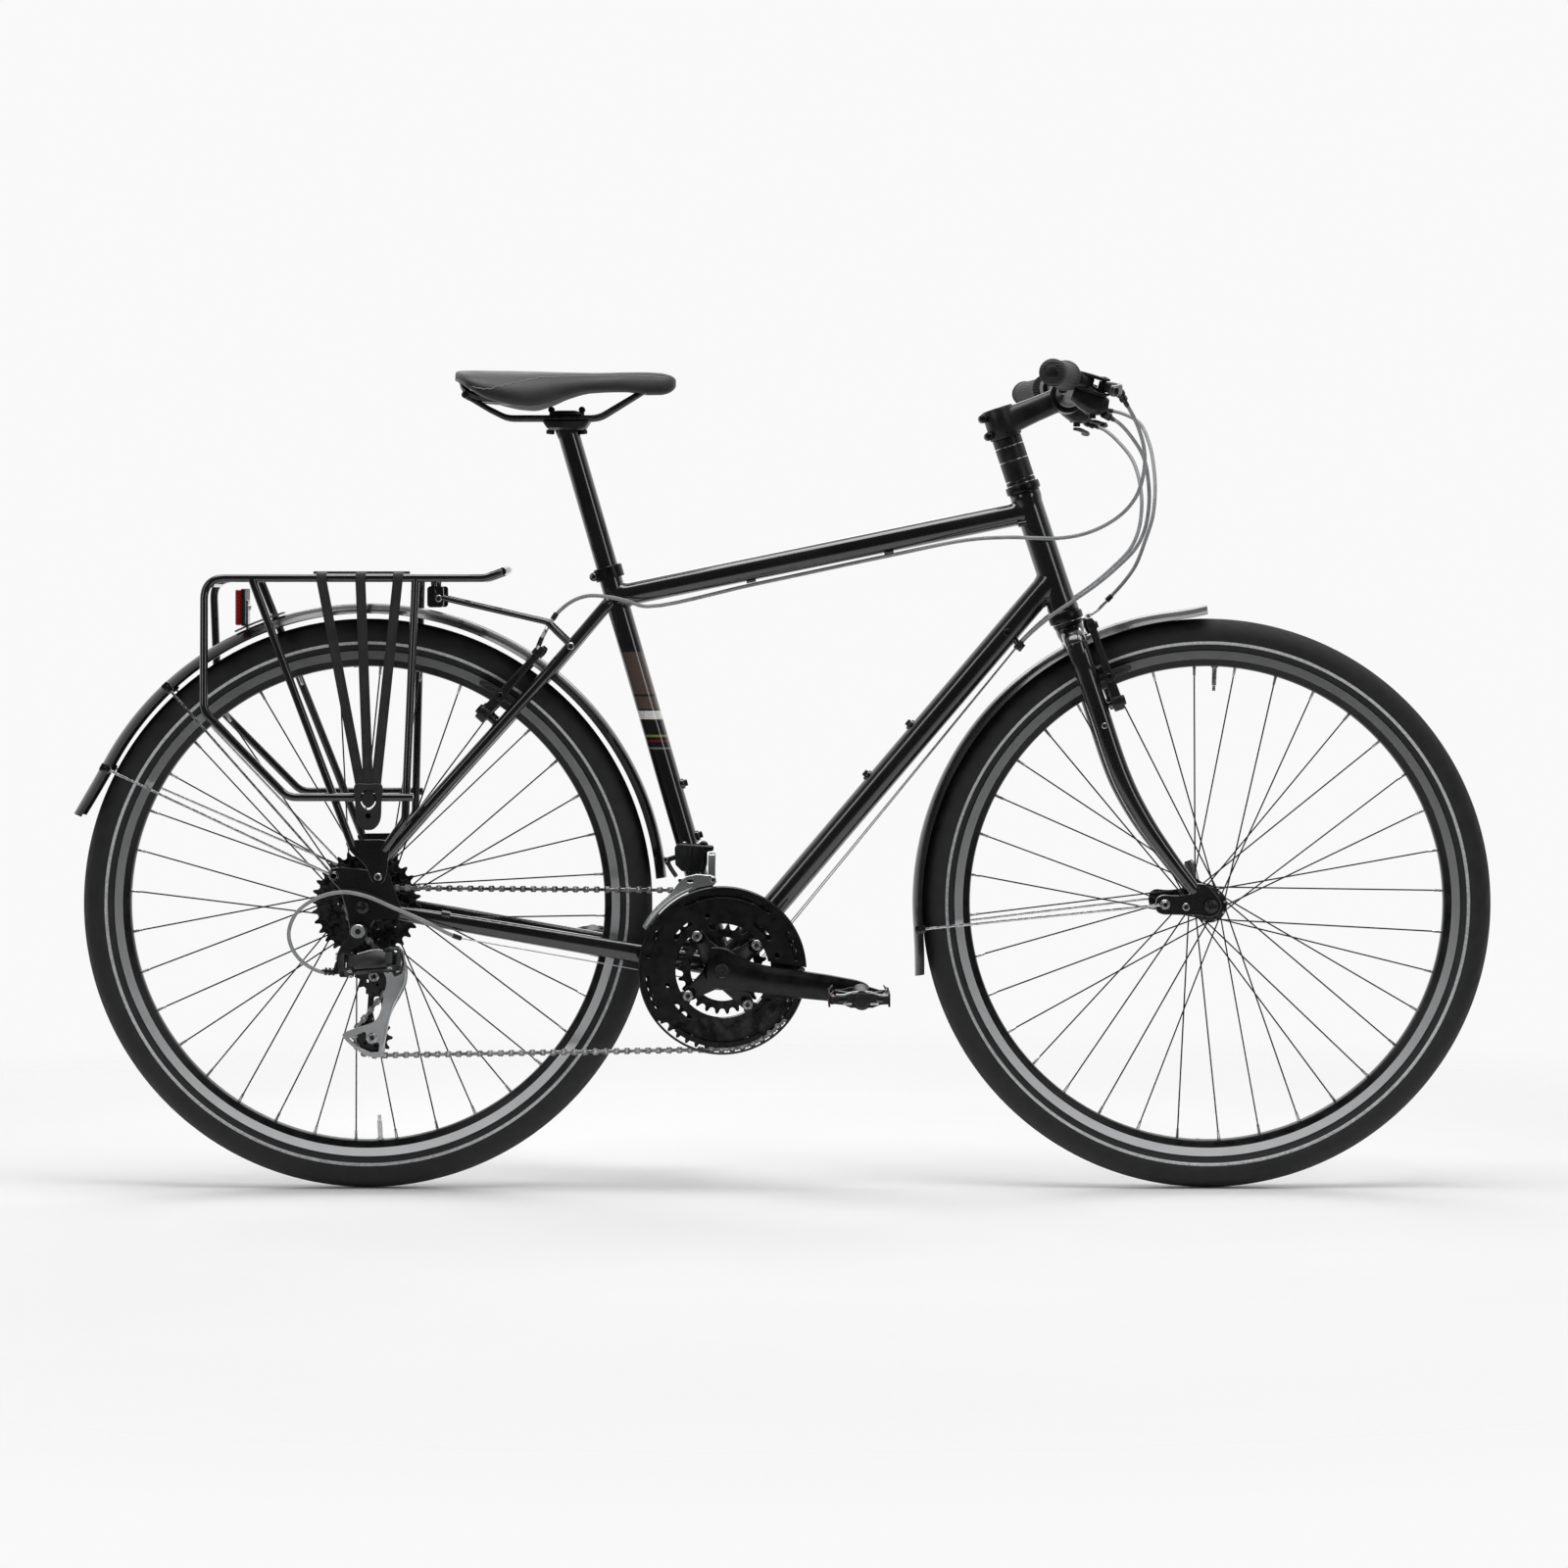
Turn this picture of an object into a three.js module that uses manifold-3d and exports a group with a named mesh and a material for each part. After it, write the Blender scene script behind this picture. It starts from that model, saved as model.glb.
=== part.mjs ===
// Touring bicycle with mudguards and a rear carrier, in millimetres.
// +X is forward, +Y is the rider's left, +Z is up; the origin is the rear tyre's contact point.
import * as THREE from 'three';
import { mergeVertices } from 'three/addons/utils/BufferGeometryUtils.js';
import Module from 'manifold-3d';

const wasm = await Module();
wasm.setup();

// Driving dimensions
const wheelbase = 1035;
const wheelRadius = 351;
const bottomBracketDrop = 78;
const chainStayReach = 438;
const headAngle = 71.7;
const forkRake = 54;
const seatHeight = 1007;
const barHeight = 977;
const barWidth = 610;
const crankLength = 170;
const crankAngle = -8.6;
const gap = 0.3;
const overrun = 1;
const left = 1;
const right = -1;
const bothSides = [left, right];

// Numbers of facets round each kind of section
const facets = { wheel: 32, tube: 10, lathe: 12, rod: 8, rail: 6, wire: 4, spoke: 3 };

const radians = THREE.MathUtils.degToRad;
const vec = (x, y, z) => new THREE.Vector3(x, y, z);
const lerp = THREE.MathUtils.lerp;
const rearAxle = vec(0, 0, wheelRadius);
const frontAxle = vec(wheelbase, 0, wheelRadius);
const crankAxle = vec(chainStayReach, 0, wheelRadius - bottomBracketDrop);

// Solids: every piece becomes one closed manifold before it becomes a mesh

function signedVolume(points, faces) {
  const [a, b, c] = [vec(), vec(), vec()];
  let sum = 0;
  for (let i = 0; i < faces.length; i += 3) {
    a.fromArray(points, faces[i] * 3);
    b.fromArray(points, faces[i + 1] * 3);
    c.fromArray(points, faces[i + 2] * 3);
    sum += a.dot(b.cross(c));
  }
  return sum;
}

function solid(geometry) {
  const bare = geometry.clone();
  bare.deleteAttribute('normal');
  bare.deleteAttribute('uv');
  const welded = mergeVertices(bare);
  const points = welded.attributes.position.array;
  const index = welded.index.array;
  const faces = [];
  for (let i = 0; i < index.length; i += 3) {
    const [a, b, c] = [index[i], index[i + 1], index[i + 2]];
    if (a !== b && b !== c && c !== a) faces.push(a, b, c);
  }
  if (signedVolume(points, faces) < 0) faces.reverse();
  const mesh = new wasm.Mesh({
    numProp: 3,
    vertProperties: Float32Array.from(points),
    triVerts: Uint32Array.from(faces),
  });
  return new wasm.Manifold(mesh);
}

const asSolid = (shape) => (shape.isBufferGeometry ? solid(shape) : shape);

function join(first, ...rest) {
  return rest.reduce((sum, shape) => sum.add(asSolid(shape)), asSolid(first));
}

function cut(first, ...tools) {
  return tools.reduce((kept, tool) => kept.subtract(asSolid(tool)), asSolid(first));
}

// Section outlines, as lists of Vector2

function polygon(sides, width, height = width, phase = 0.5) {
  return Array.from({ length: sides }, (_, i) => {
    const turn = ((i + phase) / sides) * Math.PI * 2;
    return new THREE.Vector2((Math.cos(turn) * width) / 2, (Math.sin(turn) * height) / 2);
  });
}

function capFaces(ring) {
  const middle = ring.reduce((sum, p) => sum.add(p), vec(0, 0, 0)).divideScalar(ring.length);
  const normal = vec(0, 0, 0);
  ring.forEach((p, i) => {
    const q = ring[(i + 1) % ring.length];
    normal.add(p.clone().sub(middle).cross(q.clone().sub(middle)));
  });
  normal.normalize();
  const across = ring[0].clone().sub(middle).normalize();
  const up = normal.clone().cross(across);
  const flat = ring.map((p) => {
    const arm = p.clone().sub(middle);
    return new THREE.Vector2(arm.dot(across), arm.dot(up));
  });
  return THREE.ShapeUtils.triangulateShape(flat, []);
}

// A closed skin through rings of equally many points, capped at both ends unless it loops
function loft(rings, loop = false) {
  const count = rings[0].length;
  const faces = [];
  const spans = loop ? rings.length : rings.length - 1;
  for (let i = 0; i < spans; i++) {
    const near = i * count;
    const far = ((i + 1) % rings.length) * count;
    for (let j = 0; j < count; j++) {
      const k = (j + 1) % count;
      faces.push(near + j, near + k, far + k, near + j, far + k, far + j);
    }
  }
  if (!loop) {
    const last = (rings.length - 1) * count;
    capFaces(rings[0]).forEach(([a, b, c]) => faces.push(c, b, a));
    capFaces(rings[rings.length - 1]).forEach(([a, b, c]) => faces.push(last + a, last + b, last + c));
  }
  const geometry = new THREE.BufferGeometry();
  geometry.setAttribute('position', new THREE.Float32BufferAttribute(rings.flat().flatMap((p) => p.toArray()), 3));
  geometry.setIndex(faces);
  return geometry;
}

// A section carried along a line of points; scales widens or narrows it at each point
function sweep(points, section, { up = vec(0, 0, 1), scales = null } = {}) {
  let reference = up.clone();
  const rings = points.map((point, i) => {
    const before = points[Math.max(i - 1, 0)];
    const after = points[Math.min(i + 1, points.length - 1)];
    const ahead = after.clone().sub(point).normalize();
    const behind = point.clone().sub(before).normalize();
    const tangent = ahead.add(behind).normalize();
    const across = tangent.clone().cross(reference).normalize();
    reference = across.clone().cross(tangent).normalize();
    const [wide, high] = scales ? scales[i] : [1, 1];
    return section.map((s) => point.clone().addScaledVector(across, s.x * wide).addScaledVector(reference, s.y * high));
  });
  return loft(rings);
}

function sideways(from, to) {
  const along = to.clone().sub(from).normalize();
  return Math.abs(along.y) > Math.SQRT1_2 ? vec(0, 0, 1) : vec(0, 1, 0);
}

function rod(from, to, radius, sides = facets.rod, endRadius = radius) {
  const scale = endRadius / radius;
  return sweep([from, to], polygon(sides, radius * 2), { up: sideways(from, to), scales: [[1, 1], [scale, scale]] });
}

// A tube bent along points whose corners are rounded to the given radius
function bentTube(points, radius, bendRadius, sides = facets.rod, steps = 3) {
  return sweep(roundCorners(points, bendRadius, steps), polygon(sides, radius * 2), { up: vec(0, 1, 0) });
}

function roundCorners(points, radius, steps = 3) {
  const rounded = [points[0]];
  for (let i = 1; i < points.length - 1; i++) {
    const back = points[i - 1].clone().sub(points[i]);
    const ahead = points[i + 1].clone().sub(points[i]);
    const half = back.angleTo(ahead) / 2;
    const reach = Math.min(radius / Math.tan(half), back.length() / 2, ahead.length() / 2);
    const start = points[i].clone().add(back.setLength(reach));
    const end = points[i].clone().add(ahead.setLength(reach));
    for (let s = 0; s <= steps; s++) {
      const t = s / steps;
      rounded.push(new THREE.QuadraticBezierCurve3(start, points[i], end).getPoint(t));
    }
  }
  rounded.push(points[points.length - 1]);
  return rounded;
}

// A turned shape about a sideways axis; its flats, not its corners, lie at the profile's radii
function turned(profile, segments = facets.lathe, centre = vec(0, 0, 0)) {
  const spread = 1 / Math.cos(Math.PI / segments);
  const points = profile.map(([radius, y]) => new THREE.Vector2(radius * spread, y));
  if (profile[0][0] > 0) points.push(points[0].clone());
  const geometry = new THREE.LatheGeometry(points, segments, Math.PI / segments);
  return geometry.translate(centre.x, centre.y, centre.z);
}

// How far the corners of a many-sided round reach when its flats lie at the radius
const cornerRadius = (radius, sides) => radius / Math.cos(Math.PI / sides);

// A flat plate in the bicycle's side view, from one sideways place to another
function plate(outline, low, high, holes = []) {
  const shape = new THREE.Shape(outline.map(([x, z]) => new THREE.Vector2(x, z)));
  holes.forEach((hole) => shape.holes.push(new THREE.Path(hole.map(([x, z]) => new THREE.Vector2(x, z)))));
  const geometry = new THREE.ExtrudeGeometry(shape, { depth: high - low, bevelEnabled: false });
  return geometry.rotateX(Math.PI / 2).translate(0, high, 0);
}

function circle(x, z, radius, sides = facets.tube) {
  return polygon(sides, radius * 2).map((p) => [x + p.x, z + p.y]);
}

// A section (sideways, outward) carried round a sideways axis from one angle to another
function arcSweep(section, centre, from, to, steps, radius) {
  const rings = Array.from({ length: steps + 1 }, (_, i) => {
    const angle = radians(lerp(from, to, i / steps));
    return section.map(([y, out]) => centre.clone().add(vec((radius + out) * Math.cos(angle), y, (radius + out) * Math.sin(angle))));
  });
  return loft(rings);
}

const around = (centre, radius, degrees, y = 0) =>
  vec(centre.x + radius * Math.cos(radians(degrees)), y, centre.z + radius * Math.sin(radians(degrees)));

const colours = {
  frame: [0x0b0b0d, 0.22, 0.3],
  black: [0x131416, 0.5, 0.2],
  rubber: [0x1b1c1e, 0.9, 0],
  silver: [0xb9bcc0, 0.35, 0.9],
  grey: [0x4a4c50, 0.45, 0.6],
  cable: [0x8d9094, 0.5, 0.2],
  red: [0xa3100f, 0.25, 0],
};

const bicycle = new THREE.Group();
bicycle.name = 'touring_bicycle';

function addPiece(name, shape, colour, parent = bicycle) {
  const mesh = asSolid(shape).getMesh();
  const geometry = new THREE.BufferGeometry();
  geometry.setAttribute('position', new THREE.BufferAttribute(Float32Array.from(mesh.vertProperties), 3));
  geometry.setIndex(Array.from(mesh.triVerts));
  geometry.computeVertexNormals();
  const [color, roughness, metalness] = colours[colour];
  const node = new THREE.Mesh(geometry, new THREE.MeshStandardMaterial({ color, roughness, metalness }));
  node.name = name;
  parent.add(node);
  return node;
}

function addGroup(place, parent = bicycle) {
  const group = new THREE.Group();
  group.position.copy(place);
  parent.add(group);
  return group;
}

// Steering axis: a local place is (forward of the axis, sideways, up along the axis from the crown)

const crown = { x: 871.6, z: 673 };
const steeringUp = vec(-Math.cos(radians(headAngle)), 0, Math.sin(radians(headAngle)));
const steeringForward = vec(steeringUp.z, 0, -steeringUp.x);
const crownPoint = vec(crown.x, 0, crown.z);
const onSteering = (forward, y, up) =>
  crownPoint.clone().addScaledVector(steeringForward, forward).addScaledVector(steeringUp, up).add(vec(0, y, 0));

// Wheels: tyre on a rim, laced to a hub by spokes crossing three others

const rim = { beadRadius: 311.5, brakeDepth: 10.5, innerRadius: 292, width: 24, innerWidth: 13 };
const tyre = { width: 40, treadWidth: 13, beadWidth: 22 };
// Share of the tyre's height, then share of its half width
const tyreShares = [[0, tyre.beadWidth / tyre.width], [0.42, 1], [0.8, 0.8], [1, tyre.treadWidth / tyre.width]];
const spoke = { count: 36, crosses: 3, radius: 1.15, offset: 1.6, rimSpread: 1, rimOffset: 2.5, sink: 1.2, lean: 0.4 };
const valve = { radius: 3, length: 32 };
const axle = { radius: 4.7, nutRadius: 8.5, locknutRadius: 8 };
const frontHub = {
  flanges: [[35, 22], [-35, 22]], flangeThickness: 6.4, barrelRadius: 10.5, ends: [45, -45],
  neck: 6, endRadius: 12,
};
const rearHub = {
  flanges: [[34, 22], [-16.5, 24]], flangeThickness: 6.4, barrelRadius: 13, ends: [60, -20.5],
  neck: 6, endRadius: 11,
};

function tyreShape() {
  const inner = rim.beadRadius + gap;
  const height = wheelRadius - inner;
  const side = tyreShares.map(([heightShare, share]) => [inner + height * heightShare, (tyre.width / 2) * share]);
  const other = side.map(([radius, y]) => [radius, -y]).reverse();
  return turned([...side, ...other], facets.wheel);
}

function rimShape(valveAngle) {
  const wall = [
    [rim.beadRadius, rim.width / 2],
    [rim.beadRadius - rim.brakeDepth, rim.width / 2],
    [rim.innerRadius, rim.innerWidth / 2],
  ];
  const ring = turned([...wall, ...wall.map(([radius, y]) => [radius, -y]).reverse()], facets.wheel);
  const centre = vec(0, 0, 0);
  const root = around(centre, rim.innerRadius + rim.brakeDepth / 2, valveAngle);
  return join(ring, rod(root, around(centre, rim.innerRadius - valve.length, valveAngle), valve.radius, facets.rail));
}

function hubShape(hub, firstHole) {
  const bore = cornerRadius(axle.radius, facets.rod) + gap;
  const half = hub.flangeThickness / 2;
  const [[leftFlange, leftRadius], [rightFlange, rightRadius]] = hub.flanges;
  const shell = turned([
    [bore, hub.ends[0]], [hub.endRadius, hub.ends[0]], [hub.endRadius, leftFlange + half],
    [leftRadius, leftFlange + half], [leftRadius, leftFlange - half],
    [hub.barrelRadius, leftFlange - half - hub.neck], [hub.barrelRadius, rightFlange + half + hub.neck],
    [rightRadius, rightFlange + half], [rightRadius, rightFlange - half],
    [hub.endRadius, rightFlange - half], [hub.endRadius, hub.ends[1]], [bore, hub.ends[1]],
  ]);
  const perFlange = spoke.count / 2;
  const step = 360 / perFlange;
  const swing = (spoke.crosses * 720) / spoke.count;
  const centre = vec(0, 0, 0);
  const lacedSpoke = (flangeY, flangeRadius, angle, lead) => {
    const side = Math.sign(flangeY);
    const rootY = flangeY + side * spoke.lean + lead * spoke.offset;
    const endY = side * spoke.rimOffset + lead * spoke.rimSpread;
    const root = around(centre, flangeRadius - spoke.sink, angle, rootY);
    return rod(root, around(centre, rim.innerRadius - gap, angle + lead * swing, endY), spoke.radius, facets.spoke);
  };
  const spokes = hub.flanges.flatMap(([flangeY, flangeRadius], f) => Array.from({ length: perFlange }, (_, i) =>
    lacedSpoke(flangeY, flangeRadius, firstHole + (i + f / 2) * step, i % 2 ? -1 : 1)));
  return join(shell, ...spokes);
}

function addWheel(name, centre, hub, firstHole, valveAngle) {
  const wheel = addGroup(centre);
  addPiece(`${name}_tyre`, tyreShape(), 'rubber', wheel);
  addPiece(`${name}_rim`, rimShape(valveAngle), 'silver', wheel);
  addPiece(`${name}_hub`, hubShape(hub, firstHole), 'black', wheel);
}

// Angle of each wheel's first spoke hole and of its valve
const laced = { rear: { hole: 7, valve: -87 }, front: { hole: 3, valve: 88 } };

addWheel('rear', rearAxle, rearHub, laced.rear.hole, laced.rear.valve);
addWheel('front', frontAxle, frontHub, laced.front.hole, laced.front.valve);

// Chain drive: the chain's pins are laid round the sprockets first, and teeth are cut to meet them

const chainPitch = 12.7;
const chainLine = -58;
const link = { rollerHalf: 3.4, height: 7.8, innerFace: 1.6, jog: 1.2, thickness: 1 };
const tooth = { clearance: 0.35, rise: 3.2, thickness: 1.8 };
const ringTeeth = { large: 48, middle: 36, small: 26 };
const cassetteTeeth = [11, 13, 15, 18, 21, 24, 28, 32];
const cassette = { spacing: 4.8, coreRadius: 16, innerEnd: -21, outerEnd: -62 };
const pulleyTeeth = 11;
const guidePulley = vec(13, chainLine, 266);
const tensionPulley = vec(10.7, chainLine, 191);
const smallestSprocket = cassetteTeeth[0];

const pitchRadius = (teeth) => chainPitch / 2 / Math.sin(Math.PI / teeth);

const drive = [
  { name: 'ring', centre: crankAxle, teeth: ringTeeth.large, turn: -1 },
  { name: 'tension', centre: tensionPulley, teeth: pulleyTeeth, turn: -1 },
  { name: 'guide', centre: guidePulley, teeth: pulleyTeeth, turn: 1 },
  { name: 'sprocket', centre: rearAxle, teeth: smallestSprocket, turn: -1 },
];

// Straight runs touch each pair of pitch circles; arcs join them, counted in links
function layChain() {
  const runs = drive.map((from, i) => {
    const to = drive[(i + 1) % drive.length];
    const [dx, dz] = [to.centre.x - from.centre.x, to.centre.z - from.centre.z];
    const [r1, r2] = [pitchRadius(from.teeth) * from.turn, pitchRadius(to.teeth) * to.turn];
    const heading = Math.atan2(dz, dx) - Math.asin((r2 - r1) / Math.hypot(dx, dz));
    const touch = (wheel, r) => new THREE.Vector2(wheel.centre.x + r * Math.sin(heading), wheel.centre.z - r * Math.cos(heading));
    return { heading, start: touch(from, r1), end: touch(to, r2) };
  });
  const arcs = drive.map((wheel, i) => {
    const arrival = runs[(i + drive.length - 1) % drive.length].heading;
    const turnBy = (runs[i].heading - arrival) * wheel.turn;
    const swept = ((turnBy % (Math.PI * 2)) + Math.PI * 2) % (Math.PI * 2);
    return { wheel, arrival, links: swept / ((Math.PI * 2) / wheel.teeth) };
  });
  const arcLinks = arcs.reduce((sum, arc) => sum + arc.links, 0);
  const straight = runs.reduce((sum, run) => sum + run.start.distanceTo(run.end), 0);
  const total = Math.round((arcLinks + straight / chainPitch) / 2) * 2;
  const straightPitch = straight / (total - arcLinks);
  const pins = [];
  let passed = 0;
  arcs.forEach((arc, i) => {
    const step = (Math.PI * 2) / arc.wheel.teeth;
    const radius = pitchRadius(arc.wheel.teeth) * arc.wheel.turn;
    const run = runs[i];
    for (let n = Math.ceil(passed); n < passed + arc.links; n++) {
      const heading = arc.arrival + (n - passed) * step * arc.wheel.turn;
      const middle = arc.wheel.centre;
      const pin = new THREE.Vector2(middle.x + radius * Math.sin(heading), middle.z - radius * Math.cos(heading));
      if (arc.wheel.phase === undefined) arc.wheel.phase = Math.atan2(pin.y - middle.z, pin.x - middle.x);
      pins.push(pin);
    }
    passed += arc.links;
    const runLinks = run.start.distanceTo(run.end) / straightPitch;
    for (let n = Math.ceil(passed); n < passed + runLinks; n++) {
      if (pins.length < total) pins.push(run.start.clone().lerp(run.end, (n - passed) / runLinks));
    }
    passed += runLinks;
  });
  return pins;
}

const pins = layChain();

// Each link has two plates; links sit inside and outside in turn, and rollers bridge them at the pins
function chainShape() {
  const rows = [];
  pins.forEach((pin, i) => {
    const next = pins[(i + 1) % pins.length];
    const along = next.clone().sub(pin).normalize();
    const normal = new THREE.Vector2(-along.y, along.x);
    const inner = link.innerFace + (i % 2) * link.jog;
    rows.push({ at: pin.clone().addScaledVector(along, link.rollerHalf), normal, half: link.height / 2, inner });
    rows.push({ at: next.clone().addScaledVector(along, -link.rollerHalf), normal, half: link.height / 2, inner });
  });
  const positions = [];
  bothSides.forEach((side) => rows.forEach(({ at, normal, half, inner }) => {
    const top = at.clone().addScaledVector(normal, half);
    const bottom = at.clone().addScaledVector(normal, -half);
    const [near, far] = [chainLine + side * inner, chainLine + side * (inner + link.thickness)];
    positions.push(top.x, near, top.y, top.x, far, top.y, bottom.x, far, bottom.y, bottom.x, near, bottom.y);
  }));
  const corners = 4;
  const strand = rows.length * corners;
  const faces = [];
  const quad = (a, b, c, d) => faces.push(a, b, c, a, c, d);
  for (let r = 0; r < rows.length; r++) {
    const here = r * corners;
    const there = ((r + 1) % rows.length) * corners;
    for (let c = 0; c < corners; c++) {
      const d = (c + 1) % corners;
      const bridged = r % 2 === 1 && c === corners - 1;
      if (!bridged) {
        quad(here + c, here + d, there + d, there + c);
        quad(strand + here + c, strand + there + c, strand + there + d, strand + here + d);
      } else {
        const loop = [here + c, here + d, there + d, there + c];
        loop.forEach((p, i) => {
          const q = loop[(i + 1) % loop.length];
          quad(p, q, q + strand, p + strand);
        });
      }
    }
  }
  const geometry = new THREE.BufferGeometry();
  geometry.setAttribute('position', new THREE.Float32BufferAttribute(positions, 3));
  geometry.setIndex(faces);
  return geometry;
}

// A toothed disc: each tooth narrows from a root as thick as the disc to a tip midway through it.
// Fully formed teeth leave flat roots for the rollers; plain ones meet at a point between teeth.
function sprocket(teeth, centre, phase, y, hole, { formed = false, thickness = tooth.thickness } = {}) {
  const step = (Math.PI * 2) / teeth;
  const pitch = pitchRadius(teeth);
  const plateReach = (link.height / 2) * Math.cos(step / 2) + link.rollerHalf * Math.sin(step / 2);
  const root = pitch - plateReach - tooth.clearance;
  const rootHalf = (link.rollerHalf + tooth.clearance) / root;
  const place = (radius, turn) => new THREE.Vector2(
    centre.x + radius * Math.cos(phase + turn),
    centre.z + radius * Math.sin(phase + turn),
  );
  const marks = formed ? [-rootHalf, rootHalf] : [0];
  const roots = Array.from({ length: teeth }, (_, i) => marks.map((turn) => place(root, i * step + turn))).flat();
  const bore = circle(centre.x, centre.z, hole, facets.lathe).map(([x, z]) => new THREE.Vector2(x, z));
  const tips = Array.from({ length: teeth }, (_, i) => place(pitch + tooth.rise, i * step + step / 2));
  const face = roots.length + bore.length;
  const faceRing = (side) => [...roots, ...bore].flatMap((p) => [p.x, y + (side * thickness) / 2, p.y]);
  const positions = bothSides.flatMap((side) => faceRing(-side));
  tips.forEach((p) => positions.push(p.x, y, p.y));
  const webs = THREE.ShapeUtils.triangulateShape(roots, [bore]);
  const index = webs.flatMap(([a, b, c]) => [a, b, c, face + c, face + b, face + a]);
  for (let i = 0; i < roots.length; i++) {
    const next = (i + 1) % roots.length;
    if (i % marks.length === marks.length - 1) {
      const tip = face * 2 + Math.floor(i / marks.length);
      index.push(i, tip, next, face + next, tip, face + i, i, face + i, tip, tip, face + next, next);
    } else {
      index.push(i, face + i, face + next, i, face + next, next);
    }
  }
  for (let i = 0; i < bore.length; i++) {
    const here = roots.length + i;
    const next = roots.length + ((i + 1) % bore.length);
    index.push(here, face + next, face + here, here, next, face + next);
  }
  const geometry = new THREE.BufferGeometry();
  geometry.setAttribute('position', new THREE.Float32BufferAttribute(positions, 3));
  geometry.setIndex(index);
  return geometry;
}

const phaseOf = (name) => drive.find((wheel) => wheel.name === name).phase;

addPiece('chain', chainShape(), 'silver');

function cassetteShape() {
  const bore = cornerRadius(axle.radius, facets.rod) + gap;
  const core = turned([
    [bore, cassette.innerEnd], [cassette.coreRadius, cassette.innerEnd],
    [cassette.coreRadius, cassette.outerEnd], [bore, cassette.outerEnd],
  ], facets.lathe, rearAxle);
  const inside = cassette.coreRadius - overrun;
  const discs = cassetteTeeth.map((teeth, i) =>
    sprocket(teeth, rearAxle, phaseOf('sprocket'), chainLine + i * cassette.spacing, inside, { formed: i === 0 }));
  return join(core, ...discs);
}

addPiece('cassette', cassetteShape(), 'grey');

// Crankset: three rings on a four-armed spider, with a guard outside the largest

const boltCircle = 52;
const firstBolt = 36.5;
const boltAngles = [0, 1, 2, 3].map((i) => firstBolt + i * 90);
const ringSpacing = 7.5;
const ringLine = { large: chainLine, middle: chainLine + ringSpacing, small: chainLine + ringSpacing * 2 };
const chainring = { hole: 46.5, smallHole: 26, postRadius: 4.5, slotDepth: 5 };
const guard = {
  outerRadius: 103, innerRadius: 57, face: -66, thickness: 2.5, tabWidth: 9, tabLength: 12, slotRadius: 92,
  slotSwing: 14, armGap: 19,
};
const crankArm = {
  bossRadius: 20, bossInner: -47, bossOuter: -80, endFace: -91, width: 33, depth: 14, endDepth: 12, endReach: 13,
};
const spider = { low: -56.7, high: -51.7, width: 17, reach: 58 };
const spindle = { radius: 8.5, leftEnd: 66 };

const crankDirection = vec(Math.cos(radians(crankAngle)), 0, Math.sin(radians(crankAngle)));
const onCrank = (reach, side, y) => {
  const across = vec(-crankDirection.z, 0, crankDirection.x);
  return crankAxle.clone().addScaledVector(crankDirection, reach).addScaledVector(across, side).add(vec(0, y, 0));
};

function guardShape() {
  const { innerRadius, outerRadius, face, thickness } = guard;
  const [outside, inside] = [face, face + thickness];
  const ring = turned([
    [innerRadius, outside], [outerRadius, outside], [outerRadius, inside], [innerRadius, inside],
  ], facets.wheel, crankAxle);
  const middle = (outside + inside) / 2;
  const tabs = boltAngles.map((angle) => {
    const root = around(crankAxle, innerRadius + guard.tabLength, angle, middle);
    const tip = around(crankAxle, boltCircle - chainring.postRadius, angle, middle);
    return rod(root, tip, guard.tabWidth / 2, facets.rail);
  });
  const sheet = turned([[0, outside], [outerRadius, outside], [outerRadius, inside], [0, inside]], facets.rod, crankAxle);
  const trimmed = tabs.map((tab) => solid(tab).intersect(solid(sheet)));
  const slotSection = polygon(facets.wire, thickness * 6, chainring.slotDepth * Math.SQRT2);
  const slots = boltAngles.map((angle) => {
    const end = (way) => around(crankAxle, guard.slotRadius, angle + 45 + way * guard.slotSwing, face);
    return sweep([end(-1), end(1)], slotSection, { up: end(-1).sub(crankAxle).setY(0) });
  });
  return { ring: join(ring, ...trimmed), slots };
}

// The gap in the guard where the crank arm lies, as a block along the arm
function armBlock(halfWidth, low, high, from, to) {
  const outline = [[from, -halfWidth], [to, -halfWidth], [to, halfWidth], [from, halfWidth]].map(([reach, side]) => {
    const p = onCrank(reach, side, 0);
    return [p.x, p.z];
  });
  return plate(outline, low, high);
}

function largeRingShape() {
  const phase = phaseOf('ring');
  const disc = sprocket(ringTeeth.large, crankAxle, phase, ringLine.large, chainring.hole, { formed: true });
  const { ring, slots } = guardShape();
  const posts = boltAngles.map((angle) => {
    const [head, foot] = [guard.face - gap, chainLine].map((y) => around(crankAxle, boltCircle, angle, y));
    return rod(head, foot, chainring.postRadius, facets.rod);
  });
  const [low, high] = [guard.face - overrun, guard.face + guard.thickness + overrun];
  const gapBlock = armBlock(guard.armGap, low, high, boltCircle, guard.outerRadius * 2);
  return join(disc, cut(ring, gapBlock, ...slots), ...posts);
}

function innerRingsShape() {
  const middle = sprocket(ringTeeth.middle, crankAxle, phaseOf('ring'), ringLine.middle, chainring.hole);
  const small = sprocket(ringTeeth.small, crankAxle, phaseOf('ring'), ringLine.small, chainring.smallHole);
  const reach = boltCircle - chainring.postRadius;
  const posts = boltAngles.map((angle) => {
    const [foot, head] = [ringLine.middle, ringLine.small].map((y) => around(crankAxle, reach, angle, y));
    return rod(foot, head, chainring.postRadius / 2, facets.rail);
  });
  return join(middle, small, ...posts);
}

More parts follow.
